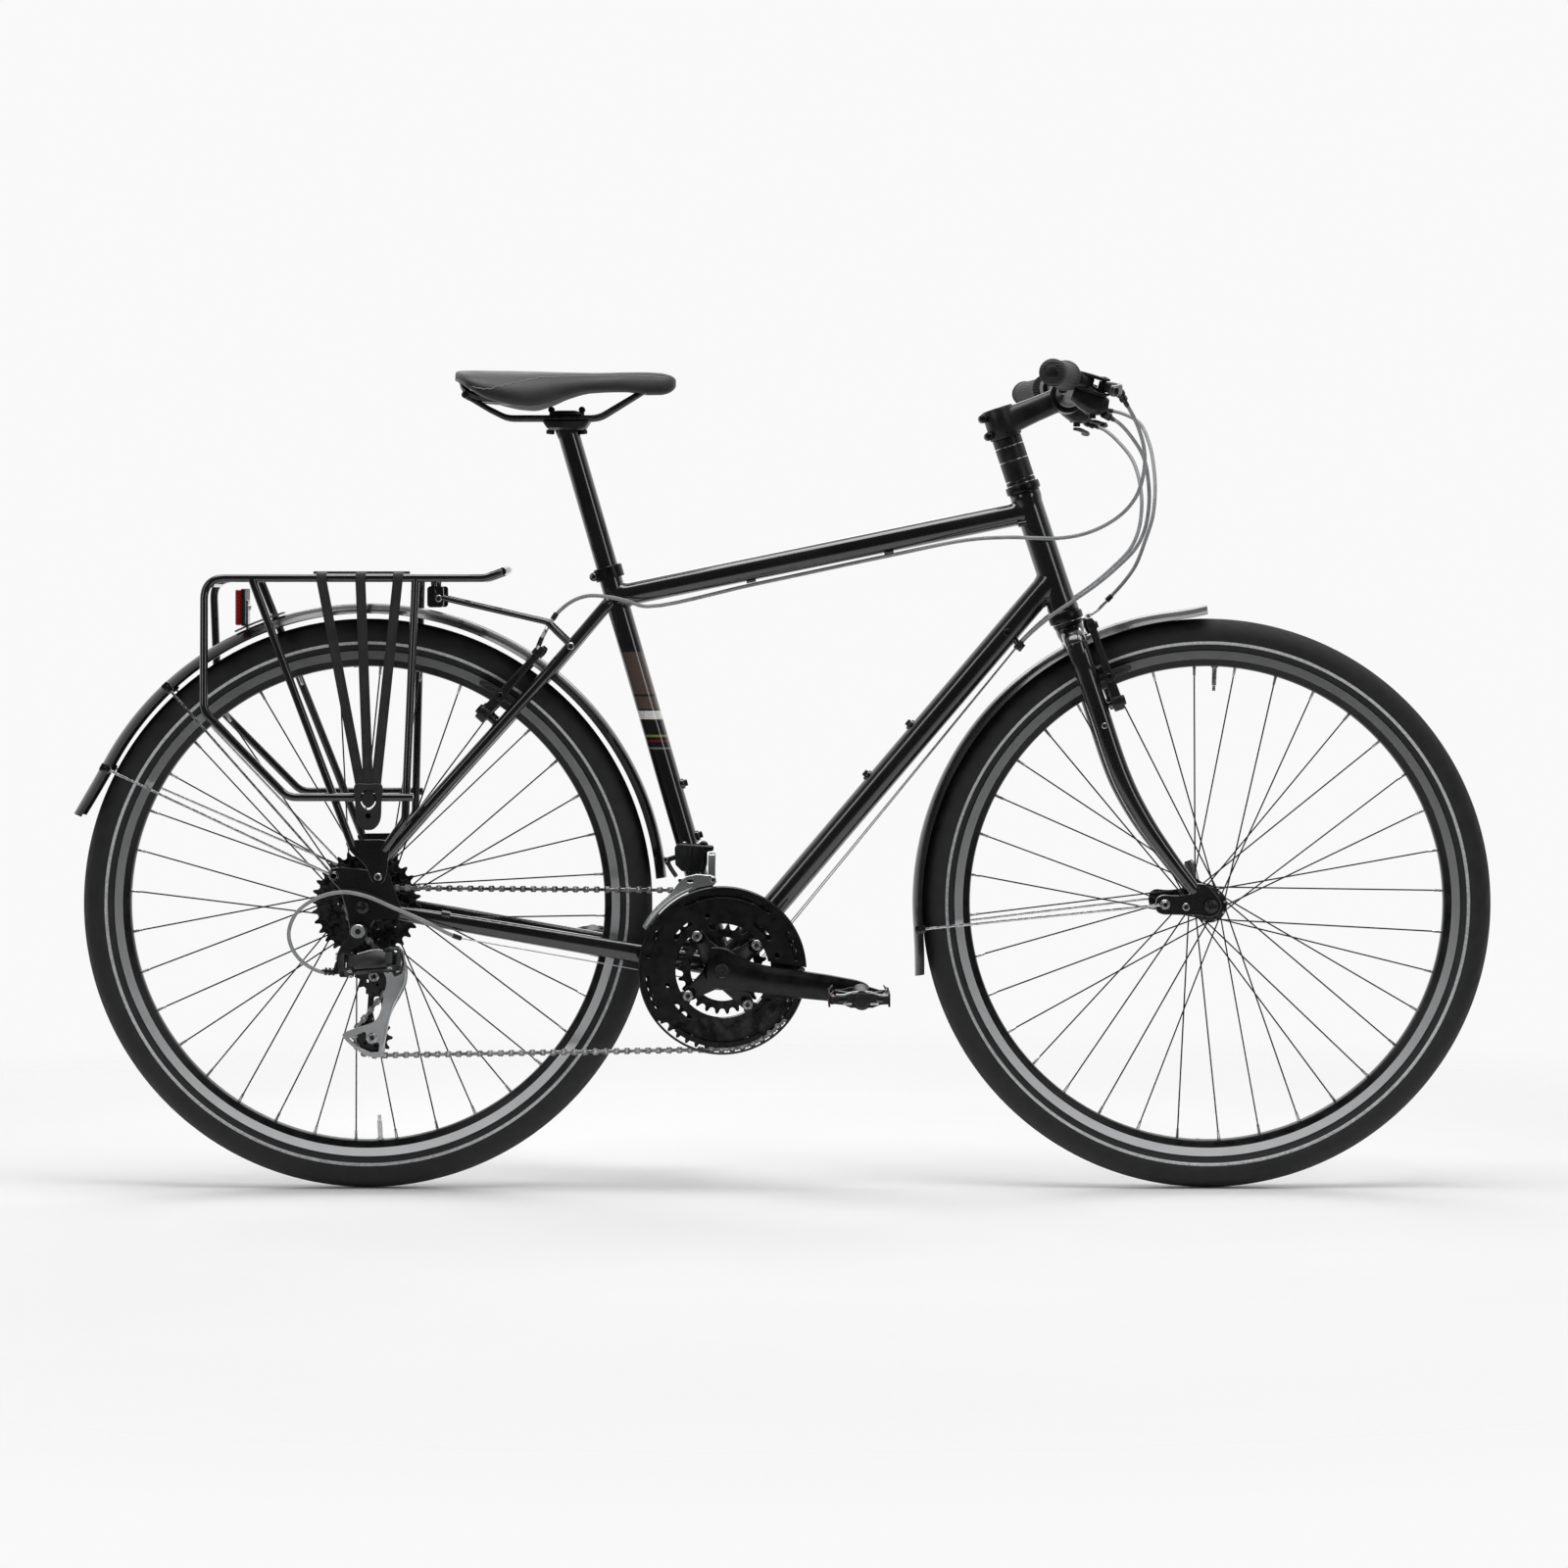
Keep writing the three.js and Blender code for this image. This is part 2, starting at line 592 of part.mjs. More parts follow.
// Along a crank arm: share of the reach, of the width, of the depth, and of the way out to the pedal's face
const armShares = [
  [0, 1, 1, 0], [0.25, 0.92, 1, 0.2], [0.6, 0.84, 0.92, 0.75], [1, 0.9, 0.86, 1],
  [1 + crankArm.endReach / crankLength, 0.55, 0.8, 1],
];

// A crank arm: a flattened bar that narrows and steps outwards to the pedal end
function armLoft(direction, rootFace, endFace, side) {
  const section = polygon(facets.rod, cornerRadius(crankArm.width, facets.rod), cornerRadius(crankArm.depth, facets.rod));
  const points = armShares.map(([share, , , out]) => {
    const y = lerp(rootFace, endFace, out) - (side * crankArm.depth) / 2;
    return crankAxle.clone().addScaledVector(direction, share * crankLength).setY(y);
  });
  return sweep(points, section, { up: vec(0, 1, 0), scales: armShares.map(([, width, depth]) => [width, depth]) });
}

const pedalAxle = { radius: 7, tipRadius: 4.5, length: 100 };

function pedalSpindle(end, y, side) {
  const root = y - (side * crankArm.endDepth) / 2;
  const tip = y + side * pedalAxle.length;
  return rod(end.clone().setY(root), end.clone().setY(tip), pedalAxle.radius, facets.rod, pedalAxle.tipRadius);
}

const spiderScaleShares = [[1.5, 1], [0.8, 1]];
const crankBoss = (inner, outer) =>
  turned([[0, inner], [crankArm.bossRadius, inner], [crankArm.bossRadius, outer], [0, outer]], facets.lathe, crankAxle);

function rightCrankShape() {
  const { bossInner, bossOuter, endFace } = crankArm;
  const thickness = spider.high - spider.low;
  const section = polygon(facets.wire, spider.width * Math.SQRT2, thickness * Math.SQRT2);
  const arms = boltAngles.map((angle) => {
    const tip = around(crankAxle, spider.reach, angle, spider.low + thickness / 2);
    return sweep([crankAxle.clone().setY(tip.y), tip], section, { up: vec(0, 1, 0), scales: spiderScaleShares });
  });
  const arm = armLoft(crankDirection, bossOuter, endFace, right);
  const shaftRoot = crankAxle.clone().setY(bossInner - overrun);
  const shaft = rod(shaftRoot, crankAxle.clone().setY(spindle.leftEnd), spindle.radius, facets.rod);
  const pedalEnd = crankAxle.clone().addScaledVector(crankDirection, crankLength);
  return join(crankBoss(bossInner, bossOuter), ...arms, arm, shaft, pedalSpindle(pedalEnd, endFace, right));
}

function leftCrankShape() {
  const direction = crankDirection.clone().negate();
  const [inner, outer] = [-crankArm.bossInner, -crankArm.bossOuter];
  const arm = armLoft(direction, outer, -crankArm.endFace, left);
  const [socketMouth, socketEnd] = [inner - overrun, spindle.leftEnd + gap].map((y) => crankAxle.clone().setY(y));
  const socket = rod(socketMouth, socketEnd, spindle.radius + gap, facets.rod);
  const pedalEnd = crankAxle.clone().addScaledVector(direction, crankLength);
  return join(cut(join(crankBoss(inner, outer), arm), socket), pedalSpindle(pedalEnd, -crankArm.endFace, left));
}

addPiece('right_crank', rightCrankShape(), 'black');
addPiece('left_crank', leftCrankShape(), 'black');
addPiece('large_chainring', largeRingShape(), 'black');
addPiece('inner_chainrings', innerRingsShape(), 'grey');

// Pedals: a cage of two toothed rails round a barrel that turns on the spindle

const pedal = {
  width: 92, length: 88, barrelRadius: 12, railHeight: 16, railDepth: 9, ribWidth: 8, ribHeight: 11, inset: 5,
  toothDepth: 3, notchHalf: 6, notches: 3,
};

// A flat plate across the bicycle, from an outline of (sideways, up) places
function crossPlate(outline, from, to) {
  const shape = new THREE.Shape(outline.map(([y, z]) => new THREE.Vector2(y, z)));
  const geometry = new THREE.ExtrudeGeometry(shape, { depth: to - from, bevelEnabled: false });
  const basis = new THREE.Matrix4().makeBasis(vec(0, 1, 0), vec(0, 0, 1), vec(1, 0, 0));
  return geometry.applyMatrix4(basis).translate(from, 0, 0);
}

function pedalShape(centre, side) {
  const start = side * (-crankArm.endFace + pedal.inset);
  const low = Math.min(start, start + side * pedal.width);
  const high = low + pedal.width;
  const half = pedal.railHeight / 2;
  const notch = (y, way) => [
    [y - pedal.notchHalf, way * half], [y, way * (half - pedal.toothDepth)], [y + pedal.notchHalf, way * half],
  ];
  const marks = Array.from({ length: pedal.notches }, (_, i) => low + ((i + 1) * pedal.width) / (pedal.notches + 1));
  const edge = [
    [low, -half], ...marks.flatMap((y) => notch(y, -1)), [high, -half],
    [high, half], ...marks.flatMap((y) => notch(y, 1)).reverse(), [low, half],
  ];
  const outline = edge.map(([y, z]) => [y, centre.z + z]);
  const reach = pedal.length / 2;
  const front = crossPlate(outline, centre.x + reach - pedal.railDepth, centre.x + reach);
  const rear = crossPlate(outline, centre.x - reach, centre.x - reach + pedal.railDepth);
  const inside = reach - overrun;
  const ribHalf = pedal.ribHeight / 2;
  const ribOutline = rectangle(centre.x - inside, centre.z - ribHalf, centre.x + inside, centre.z + ribHalf);
  const ribs = [low, high - pedal.ribWidth].map((y) => plate(ribOutline, y, y + pedal.ribWidth));
  const barrel = rod(centre.clone().setY(low), centre.clone().setY(high), pedal.barrelRadius, facets.rod);
  const boreMouth = centre.clone().setY(start - side * overrun);
  const boreEnd = centre.clone().setY(side * (-crankArm.endFace + pedalAxle.length + gap));
  const bore = rod(boreMouth, boreEnd, pedalAxle.radius + gap, facets.rod, pedalAxle.tipRadius + gap * 2);
  return cut(join(barrel, front, rear, ...ribs), bore);
}

const pedalCentre = (reach) => crankAxle.clone().addScaledVector(crankDirection, reach);
addPiece('right_pedal', pedalShape(pedalCentre(crankLength), right), 'black');
addPiece('left_pedal', pedalShape(pedalCentre(-crankLength), left), 'black');

// Frame: head tube with its bearing cups, top, down and seat tubes, stays and dropouts

const headTube = {
  outer: 18, bore: 15.2, length: 152.7, cupRadius: 21.5, cupHeight: 19, cupLip: 7, crownGap: 21,
};
const topTube = { radius: 14.3, seatEnd: vec(306, 0, 729), headEnd: vec(815, 0, 834) };
const downTube = { radius: 15.9, headEnd: vec(845, 0, 752) };
const seatTube = {
  radius: 14.3, bore: 13.9, top: vec(295, 0, 766), collarRadius: 18, collarHeight: 16, boreDepth: 200,
};
const shell = { outer: 20.5, bore: 17.6, halfWidth: 34 };
const stay = { chainHeight: 23, chainWidth: 15, seatRadius: 7.6, bridgeRadius: 6, bridgeX: 238, carrierX: 252 };
const dropout = { inner: 67.5, thickness: 6, hangerBolt: vec(-5, 0, 322), slotLength: 60, hangerDepth: 20 };
const stayRelief = { halfLength: 80, low: 250, high: 402 };
const eyelets = { rear: vec(-35, 0, 389), front: vec(979, 0, 353) };
const boss = { radius: 6, height: 5 };
const studs = {
  radius: 4, length: 33, halfSpacing: 40, armBase: 19, armDepth: 12, padRise: 31, rearX: 164.6, frontDrop: 85,
};
const steererRadius = 14.2;

const headBottom = onSteering(0, 0, headTube.crownGap + headTube.cupHeight);

// A turned shape on the steering axis: profile places are (radius, height above the given foot)
function turnedOnSteering(profile, foot, segments = facets.lathe) {
  const geometry = turned(profile.map(([radius, up]) => [radius, up]), segments);
  geometry.rotateX(Math.PI / 2);
  geometry.rotateY(-radians(90 - headAngle));
  return geometry.translate(foot.x, foot.y, foot.z);
}

function headTubeShape() {
  const { outer, bore, length, cupRadius, cupHeight, cupLip } = headTube;
  return turnedOnSteering([
    [bore, -cupHeight], [outer, -cupHeight], [cupRadius, -cupHeight + cupLip], [outer, 0],
    [outer, length], [cupRadius, length + cupHeight - cupLip], [outer, length + cupHeight], [bore, length + cupHeight],
  ], headBottom);
}

const headClear = () => turnedOnSteering([
  [0, -headTube.cupHeight], [headTube.outer + gap, -headTube.cupHeight],
  [headTube.outer + gap, headTube.length + headTube.cupHeight], [0, headTube.length + headTube.cupHeight],
], headBottom);

const tubeAlong = (from, to, radius) => rod(from, to, radius, facets.tube);
const seatTubeDirection = seatTube.top.clone().sub(crankAxle).normalize();
const onSeatTube = (z) => crankAxle.clone().addScaledVector(seatTubeDirection, (z - crankAxle.z) / seatTubeDirection.z);
const seatClear = () => tubeAlong(crankAxle, seatTube.top, seatTube.radius + gap * 2);
const shellClear = () => turned([
  [0, -shell.halfWidth], [shell.outer + gap, -shell.halfWidth],
  [shell.outer + gap, shell.halfWidth], [0, shell.halfWidth],
], facets.tube, crankAxle);

function topTubeShape() {
  const tube = tubeAlong(topTube.seatEnd, topTube.headEnd, topTube.radius);
  return cut(tube, seatClear(), headClear());
}

const downDirection = downTube.headEnd.clone().sub(crankAxle).normalize();
const downNormal = vec(-downDirection.z, 0, downDirection.x);
const bottleBosses = { down: [0.47, 0.6], seat: [430, 494] };

function downTubeShape() {
  const tube = tubeAlong(crankAxle, downTube.headEnd, downTube.radius);
  const bosses = bottleBosses.down.map((share) => {
    const centre = crankAxle.clone().lerp(downTube.headEnd, share);
    return rod(centre, centre.clone().addScaledVector(downNormal, downTube.radius + boss.height), boss.radius, facets.rod);
  });
  return cut(join(tube, ...bosses), headClear(), shellClear(), seatClear());
}

function seatTubeShape() {
  const tube = tubeAlong(crankAxle, seatTube.top, seatTube.radius);
  const collarFoot = seatTube.top.clone().addScaledVector(seatTubeDirection, -seatTube.collarHeight);
  const collar = tubeAlong(collarFoot, seatTube.top, seatTube.collarRadius);
  const ear = collarFoot.clone().lerp(seatTube.top, 0.5).add(vec(-seatTube.collarRadius, 0, 0));
  const earEnds = bothSides.map((side) => ear.clone().setY((side * seatTube.collarHeight) / 2));
  const ears = rod(...earEnds, seatTube.collarHeight / 3, facets.rod);
  const forward = vec(seatTubeDirection.z, 0, -seatTubeDirection.x);
  const bosses = bottleBosses.seat.map((z) => {
    const tip = onSeatTube(z).addScaledVector(forward, seatTube.radius + boss.height);
    return rod(onSeatTube(z), tip, boss.radius, facets.rod);
  });
  const boreFoot = onSeatTube(seatTube.top.z - seatTube.boreDepth);
  const bore = tubeAlong(boreFoot, onSeatTube(seatTube.top.z + overrun), seatTube.bore);
  return cut(join(tube, collar, ears, shifterBody(), ...bosses), bore, shellClear());
}

// The front derailleur's clamp and body, on the seat tube above the rings
const shifter = {
  clampZ: 408, clampHeight: 16, clampRadius: 18, outer: -34, sink: 4, barX: 425, barZ: 408, barWidth: 9,
  barHeight: 12, barEnd: -12, rearX: 380, foreX: 435, low: 392, high: 423, chamfer: 8,
};

function rectangle(lowX, lowZ, highX, highZ) {
  return [[lowX, lowZ], [highX, lowZ], [highX, highZ], [lowX, highZ]];
}

function shifterBody() {
  const { rearX, foreX, low, high, chamfer, barX, barZ } = shifter;
  const bandLow = onSeatTube(shifter.clampZ - shifter.clampHeight / 2);
  const bandHigh = onSeatTube(shifter.clampZ + shifter.clampHeight / 2);
  const band = tubeAlong(bandLow, bandHigh, shifter.clampRadius);
  const outline = [
    [rearX, low + chamfer], [rearX + chamfer, low], [foreX, low], [foreX, high - chamfer],
    [foreX - chamfer, high], [rearX, high],
  ];
  const block = plate(outline, shifter.outer, shifter.sink - seatTube.radius);
  const [halfWidth, halfHeight] = [shifter.barWidth / 2 + gap, shifter.barHeight / 2 + gap];
  const slotOutline = rectangle(barX - halfWidth, barZ - halfHeight, barX + halfWidth, barZ + halfHeight);
  const slot = plate(slotOutline, shifter.outer - overrun, shifter.clampRadius);
  return cut(join(band, block), slot);
}

// Places (along, up) round the rear dropout, with the hanger at its foot
const dropoutShares = [
  [-43, 388], [-39, 398], [-26, 400], [6, 396], [18, 400], [32, 392], [46, 352], [44, 336], [14, 334],
  [5, 314], [-12, 312], [-17, 326], [-20, 346], [-28, 372],
];

// What an axle needs to drop into both plates: a round seat and a slot below it
function axleSlot(centre) {
  const radius = cornerRadius(axle.radius, facets.rod) + gap;
  const foot = centre.clone().add(vec(0, 0, -dropout.slotLength));
  const section = polygon(facets.wire, radius * 2 * Math.SQRT2, dropout.inner * 4);
  const seat = plate(circle(centre.x, centre.z, radius, facets.rod), -dropout.inner * 2, dropout.inner * 2);
  return [seat, sweep([centre, foot], section, { up: vec(0, 1, 0) })];
}

function dropoutPlate(side, outline) {
  const faces = [side * dropout.inner, side * (dropout.inner + dropout.thickness)];
  return cut(plate(outline, Math.min(...faces), Math.max(...faces)), ...axleSlot(rearAxle));
}

// Chain stays run from the bottom bracket shell round the tyre to the dropouts: share of the way, then sideways
const chainStayRoute = [[0.975, 23], [0.78, 31], [0.62, 38], [0.23, 57.5], [0.08, 68]];
const chainStayShares = [[1.05, 1.05], [1.05, 1], [1, 1], [0.85, 0.9], [0.7, 0.75]];

function chainStaysShape() {
  const { outer, bore, halfWidth } = shell;
  const shellTube = turned([[bore, -halfWidth], [outer, -halfWidth], [outer, halfWidth], [bore, halfWidth]],
    facets.tube, crankAxle);
  const section = polygon(facets.rod, stay.chainHeight, stay.chainWidth);
  const stays = bothSides.flatMap((side) => {
    const points = chainStayRoute.map(([share, y]) => rearAxle.clone().lerp(crankAxle, share).setY(side * y));
    const bare = dropoutShares.filter(([, z]) => z > wheelRadius - dropout.hangerDepth);
    const outline = side === right ? dropoutShares : bare;
    return [sweep(points, section, { up: vec(0, 1, 0), scales: chainStayShares }), dropoutPlate(side, outline)];
  });
  const end = halfWidth + overrun;
  const clear = turned([[0, -end], [bore, -end], [bore, end], [0, end]], facets.tube, crankAxle);
  return cut(join(shellTube, ...stays), clear);
}

const seatStayRoute = [[299, 723.8, 18.9], [226, 638, 34], [164, 569, 42], [60, 452, 60], [19, 402, 67.5]];
const seatStayShares = [1, 1, 1, 0.95, 0.72];

function seatStayPoint(x) {
  const at = seatStayRoute.findIndex((point) => point[0] < x);
  const [a, b] = [seatStayRoute[at - 1], seatStayRoute[at]];
  const share = (x - a[0]) / (b[0] - a[0]);
  return vec(x, lerp(a[2], b[2], share), lerp(a[1], b[1], share));
}

const rearBrakeFoot = seatStayPoint(studs.rearX);
const [[upperX, upperZ], [lowerX, lowerZ]] = seatStayRoute.slice(1);
const rearBrakeUp = vec(upperX - lowerX, 0, upperZ - lowerZ).normalize();
const rearBrakeOut = vec(-rearBrakeUp.z, 0, rearBrakeUp.x);

function studPair(foot, out) {
  return bothSides.map((side) => {
    const root = foot.clone().setY(side * studs.halfSpacing);
    return rod(root, root.clone().addScaledVector(out, studs.length), studs.radius, facets.rod);
  });
}

function seatStaysShape() {
  const section = polygon(facets.rod, stay.seatRadius * 2);
  const stays = bothSides.map((side) => {
    const points = seatStayRoute.map(([x, z, y]) => vec(x, side * y, z));
    return sweep(points, section, { up: vec(0, 1, 0), scales: seatStayShares.map((share) => [share, share]) });
  });
  const bridgeEnd = seatStayPoint(stay.bridgeX);
  const bridge = rod(bridgeEnd.clone().setY(-bridgeEnd.y), bridgeEnd, stay.bridgeRadius, facets.rod);
  const joined = join(bridge, ...stays, ...studPair(rearBrakeFoot, rearBrakeOut));
  const { halfLength, low, high } = stayRelief;
  const reliefs = bothSides.map((side) => {
    const faces = [side * (dropout.inner - gap), side * (dropout.inner + dropout.thickness + gap)];
    return plate(rectangle(-halfLength, low, halfLength, high), Math.min(...faces), Math.max(...faces));
  });
  return cut(joined, seatClear(), ...reliefs);
}

addPiece('head_tube', headTubeShape(), 'frame');
addPiece('top_tube', topTubeShape(), 'frame');
addPiece('down_tube', downTubeShape(), 'frame');
addPiece('seat_tube', seatTubeShape(), 'frame');
addPiece('chain_stays', chainStaysShape(), 'frame');
addPiece('seat_stays', seatStaysShape(), 'frame');

// Bottom bracket cartridge and the wheel axles

const cartridge = { outer: 17.2, bore: 8.9, cupRadius: 20, cupWidth: 3 };

function cartridgeShape() {
  const end = shell.halfWidth + gap;
  const cup = end + cartridge.cupWidth;
  return turned([
    [cartridge.bore, -cup], [cartridge.cupRadius, -cup], [cartridge.cupRadius, -end], [cartridge.outer, -end],
    [cartridge.outer, end], [cartridge.cupRadius, end], [cartridge.cupRadius, cup], [cartridge.bore, cup],
  ], facets.tube, crankAxle);
}

addPiece('bottom_bracket_cartridge', cartridgeShape(), 'grey');

// An axle with a locknut inside each dropout and a clamping nut outside it
function axleShape(centre, hubEnds, inner, thickness) {
  const faces = bothSides.flatMap((side) => [side * inner, side * (inner + thickness + gap * 2)]);
  const [leftInner, leftOuter, rightInner, rightOuter] = faces;
  const nut = axle.nutRadius;
  return turned([
    [0, rightOuter - nut], [nut / 2, rightOuter - nut], [nut, rightOuter - nut / 2], [nut, rightOuter], [axle.radius, rightOuter],
    [axle.radius, rightInner + gap], [axle.locknutRadius, rightInner + gap], [axle.locknutRadius, hubEnds[1] - gap],
    [axle.radius, hubEnds[1] - gap], [axle.radius, hubEnds[0] + gap], [axle.locknutRadius, hubEnds[0] + gap],
    [axle.locknutRadius, leftInner - gap], [axle.radius, leftInner - gap], [axle.radius, leftOuter],
    [nut, leftOuter], [nut, leftOuter + nut / 2], [0, leftOuter + nut / 2],
  ], facets.rod, centre);
}

addPiece('rear_axle', axleShape(rearAxle, [rearHub.ends[0], cassette.outerEnd], dropout.inner, dropout.thickness), 'silver');

// Fork: steerer, crown, two raked blades and their dropouts

const forkShape = {
  blade: 25, bladeBreadth: 20, crownHalf: 39, crownDepth: 30, spread: 50, steererFoot: 8,
};
// Share of the way to the axle, share of the rake, share of the spread
const bladeShares = [
  [0, 0, 0], [0.25, 0, 0.25], [0.5, 0.02, 0.6], [0.66, 0.26, 0.8], [0.82, 0.56, 0.95], [0.94, 0.8, 1],
];
const bladeScaleShares = [1, 1, 0.98, 0.85, 0.7, 0.6];
// Share of the crown's half width, then height
const crownShares = [[-1, -26], [-1, 4], [-0.55, 17], [0.55, 17], [1, 4], [1, -26]];
const axleDown = frontAxle.clone().sub(crownPoint).dot(steeringUp);
const stemTop = 290;
const frontDropout = { inner: 50, thickness: 5 };

function bladePoint(share, side) {
  const index = bladeShares.findIndex(([along]) => along >= share);
  const b = bladeShares[Math.max(index, 1)];
  const a = bladeShares[Math.max(index, 1) - 1];
  const t = (share - a[0]) / (b[0] - a[0]);
  const y = lerp(forkShape.crownHalf, forkShape.spread + frontDropout.thickness / 2, lerp(a[2], b[2], t));
  return onSteering(lerp(a[1], b[1], t) * forkRake, side * y, lerp(a[0], b[0], t) * axleDown);
}

// Places (along, up) round the fork's dropout, from the front axle
const forkTabShares = [
  [-66, -6], [-60, -10], [-14, -12], [-9, -11], [0, -13], [9, -10], [13, 0], [10, 9], [-6, 26], [-22, 26],
  [-18, 11], [-60, 13], [-66, 8],
];
const frontMudguard = {
  outer: 363, half: 25, depth: 11, thickness: 1.4, from: 91, to: 193, steps: 12, clearRadius: 364.5, clearHalf: 27,
};
const frontBrakeFoot = onSteering(0, 0, -studs.frontDrop);

function forkSolid() {
  const blades = bothSides.map((side) => {
    const points = bladeShares.map(([along]) => bladePoint(along, side));
    const section = polygon(facets.rod, forkShape.blade, forkShape.bladeBreadth);
    return sweep(points, section, { up: vec(0, 1, 0), scales: bladeScaleShares.map((s) => [s, s]) });
  });
  const steererFoot = onSteering(0, 0, forkShape.steererFoot);
  const steerer = rod(steererFoot, onSteering(0, 0, stemTop), steererRadius, facets.lathe);
  const half = forkShape.crownHalf + forkShape.bladeBreadth / 2;
  const rings = [-1, 1].map((way) =>
    crownShares.map(([share, up]) => onSteering((way * forkShape.crownDepth) / 2, share * half, up)));
  const { clearRadius, clearHalf } = frontMudguard;
  const arch = turned([[0, -clearHalf], [clearRadius, -clearHalf], [clearRadius, clearHalf], [0, clearHalf]],
    facets.wheel, frontAxle);
  const tabs = bothSides.map((side) => {
    const faces = [side * frontDropout.inner, side * (frontDropout.inner + frontDropout.thickness)];
    const outline = forkTabShares.map(([x, z]) => [frontAxle.x + x, frontAxle.z + z]);
    return plate(outline, Math.min(...faces), Math.max(...faces));
  });
  const body = join(steerer, loft(rings), ...blades, ...tabs, ...studPair(frontBrakeFoot, steeringForward));
  return cut(body, arch, ...axleSlot(frontAxle));
}

addPiece('fork', forkSolid(), 'frame');
addPiece('front_axle', axleShape(frontAxle, frontHub.ends, frontDropout.inner, frontDropout.thickness), 'silver');

// Mudguards: a rolled channel round each wheel, held by wire stays

function channel(half, depth, thickness) {
  const shares = [[-1, -1], [-0.62, 0], [0.62, 0], [1, -1]];
  const outer = shares.map(([across, out]) => [across * half, out * depth]);
  const inner = shares.map(([across, out]) => [across * (half - thickness), out * depth - (out === -1 ? 0 : thickness)]).reverse();
  return [...outer, ...inner];
}

const rearMudguard = { outer: 370, half: 26, depth: 12, thickness: 1.4, from: 5, to: 162, steps: 18 };
const guardWire = { radius: 2, eyeRadius: 6, bossSize: 9, rootShare: 0.8, rearAngles: [132.5, 152.5], frontAngle: 185 };

function mudguardShape(size, centre, stayEnds, stayAngles) {
  const section = channel(size.half, size.depth, size.thickness);
  const body = arcSweep(section, centre, size.from, size.to, size.steps, size.outer);
  const { radius, eyeRadius, bossSize } = guardWire;
  const wires = bothSides.flatMap((side) => stayAngles.map((angle, i) => {
    const start = around(centre, size.outer - size.depth * guardWire.rootShare, angle, side * (size.half - overrun));
    const bossEnd = start.clone().setY(side * (size.half + bossSize / 2));
    const end = stayEnds[i].clone().setY(side * stayEnds[i].y);
    const [eyeInner, eyeOuter] = [end.y - side * radius * 2, end.y + side * radius];
    const wire = rod(start, end, radius, facets.wire);
    const clip = rod(start, bossEnd, bossSize / 2, facets.wire);
    return join(wire, clip, rod(end.clone().setY(eyeInner), end.clone().setY(eyeOuter), eyeRadius, facets.rail));
  }));
  return join(body, ...wires);
}

const stayFoot = dropout.inner + dropout.thickness + gap + guardWire.radius * 2;
const frontStayFoot = frontDropout.inner + frontDropout.thickness + gap + guardWire.radius * 2;
const rearStayEnds = guardWire.rearAngles.map(() => eyelets.rear.clone().setY(stayFoot));
const frontStayEnds = [eyelets.front.clone().setY(frontStayFoot)];
const rearMudguardShape = mudguardShape(rearMudguard, rearAxle, rearStayEnds, guardWire.rearAngles);
const frontMudguardShape = mudguardShape(frontMudguard, frontAxle, frontStayEnds, [guardWire.frontAngle]);
addPiece('rear_mudguard', rearMudguardShape, 'black');
addPiece('front_mudguard', frontMudguardShape, 'black');

// Cockpit: stem with spacers, handlebar, grips, lever perches with shifter pods

const stem = {
  top: 286, outer: 20, armRadius: 16, armRise: 13, armBreadth: 2.2, clampRadius: 22, clampWidth: 46,
  spacerRadius: 18, spacerHeight: 24,
};
const bar = { centreRadius: 15.9, centreHalf: 31, radius: 11.1, centre: vec(863, 0, barHeight) };
const barRoute = [[0, 0, 0], [30, 0, 0], [50, 0, 1], [110, -3, 14], [170, -12, 17], [barWidth / 2, -37, 15]];
const grip = { radius: 15.6, length: 128, flange: 19, flangeWidth: 4, endThickness: 3, endInset: 2, weld: 0.01 };
const perch = {
  y: 148, width: 22, radius: 15, reach: 42, drop: 12, armDrop: 2, armHeight: 26.4, podRadius: 17, podLength: 34,
};
const podRoute = [[8, -8, -perch.radius], [32, -8, -14 - perch.radius], [48, -8, -20 - perch.radius]];
const podShares = [[0.9, 1], [1, 1], [0.8, 0.8]];
const lever = { length: 124, kneeReach: 70, width: 14, thickness: 8, pull: 20, clearance: 1.4, pivotInset: 4, lean: 40 };
const leverRoot = [3.2, 4, 0];
const leverKnee = [18, 26, -4];
const leverReaches = [[20, -6, lever.kneeReach], [30, -8, lever.length]];
const leverShares = [[1, 1], [1, 1], [0.8, 0.9], [0.7, 0.75]];
const thumb = { length: 24, width: 9, thickness: 5, inset: 8, forward: 30, drop: 52, pinHeight: 14 };
const thumbRoute = [[0, 0, 0], [12, 12, -4], [10, thumb.length, -6]];

const barPoint = (y, back, rise) => bar.centre.clone().add(vec(back, y, rise));

function barCurve() {
  const half = barRoute.map(([y, back, rise]) => barPoint(y, back, rise));
  const mirrored = barRoute.slice(1).map(([y, back, rise]) => barPoint(-y, back, rise)).reverse();
  return [...mirrored, ...half];
}

function barAt(y) {
  const side = Math.sign(y) || 1;
  const index = barRoute.findIndex(([at]) => at >= Math.abs(y));
  const [a, b] = [barRoute[index - 1], barRoute[index]];
  const share = (Math.abs(y) - a[0]) / (b[0] - a[0]);
  const direction = barPoint(side * b[0], b[1], b[2]).sub(barPoint(side * a[0], a[1], a[2])).normalize();
  return { point: barPoint(y, lerp(a[1], b[1], share), lerp(a[2], b[2], share)), direction };
}

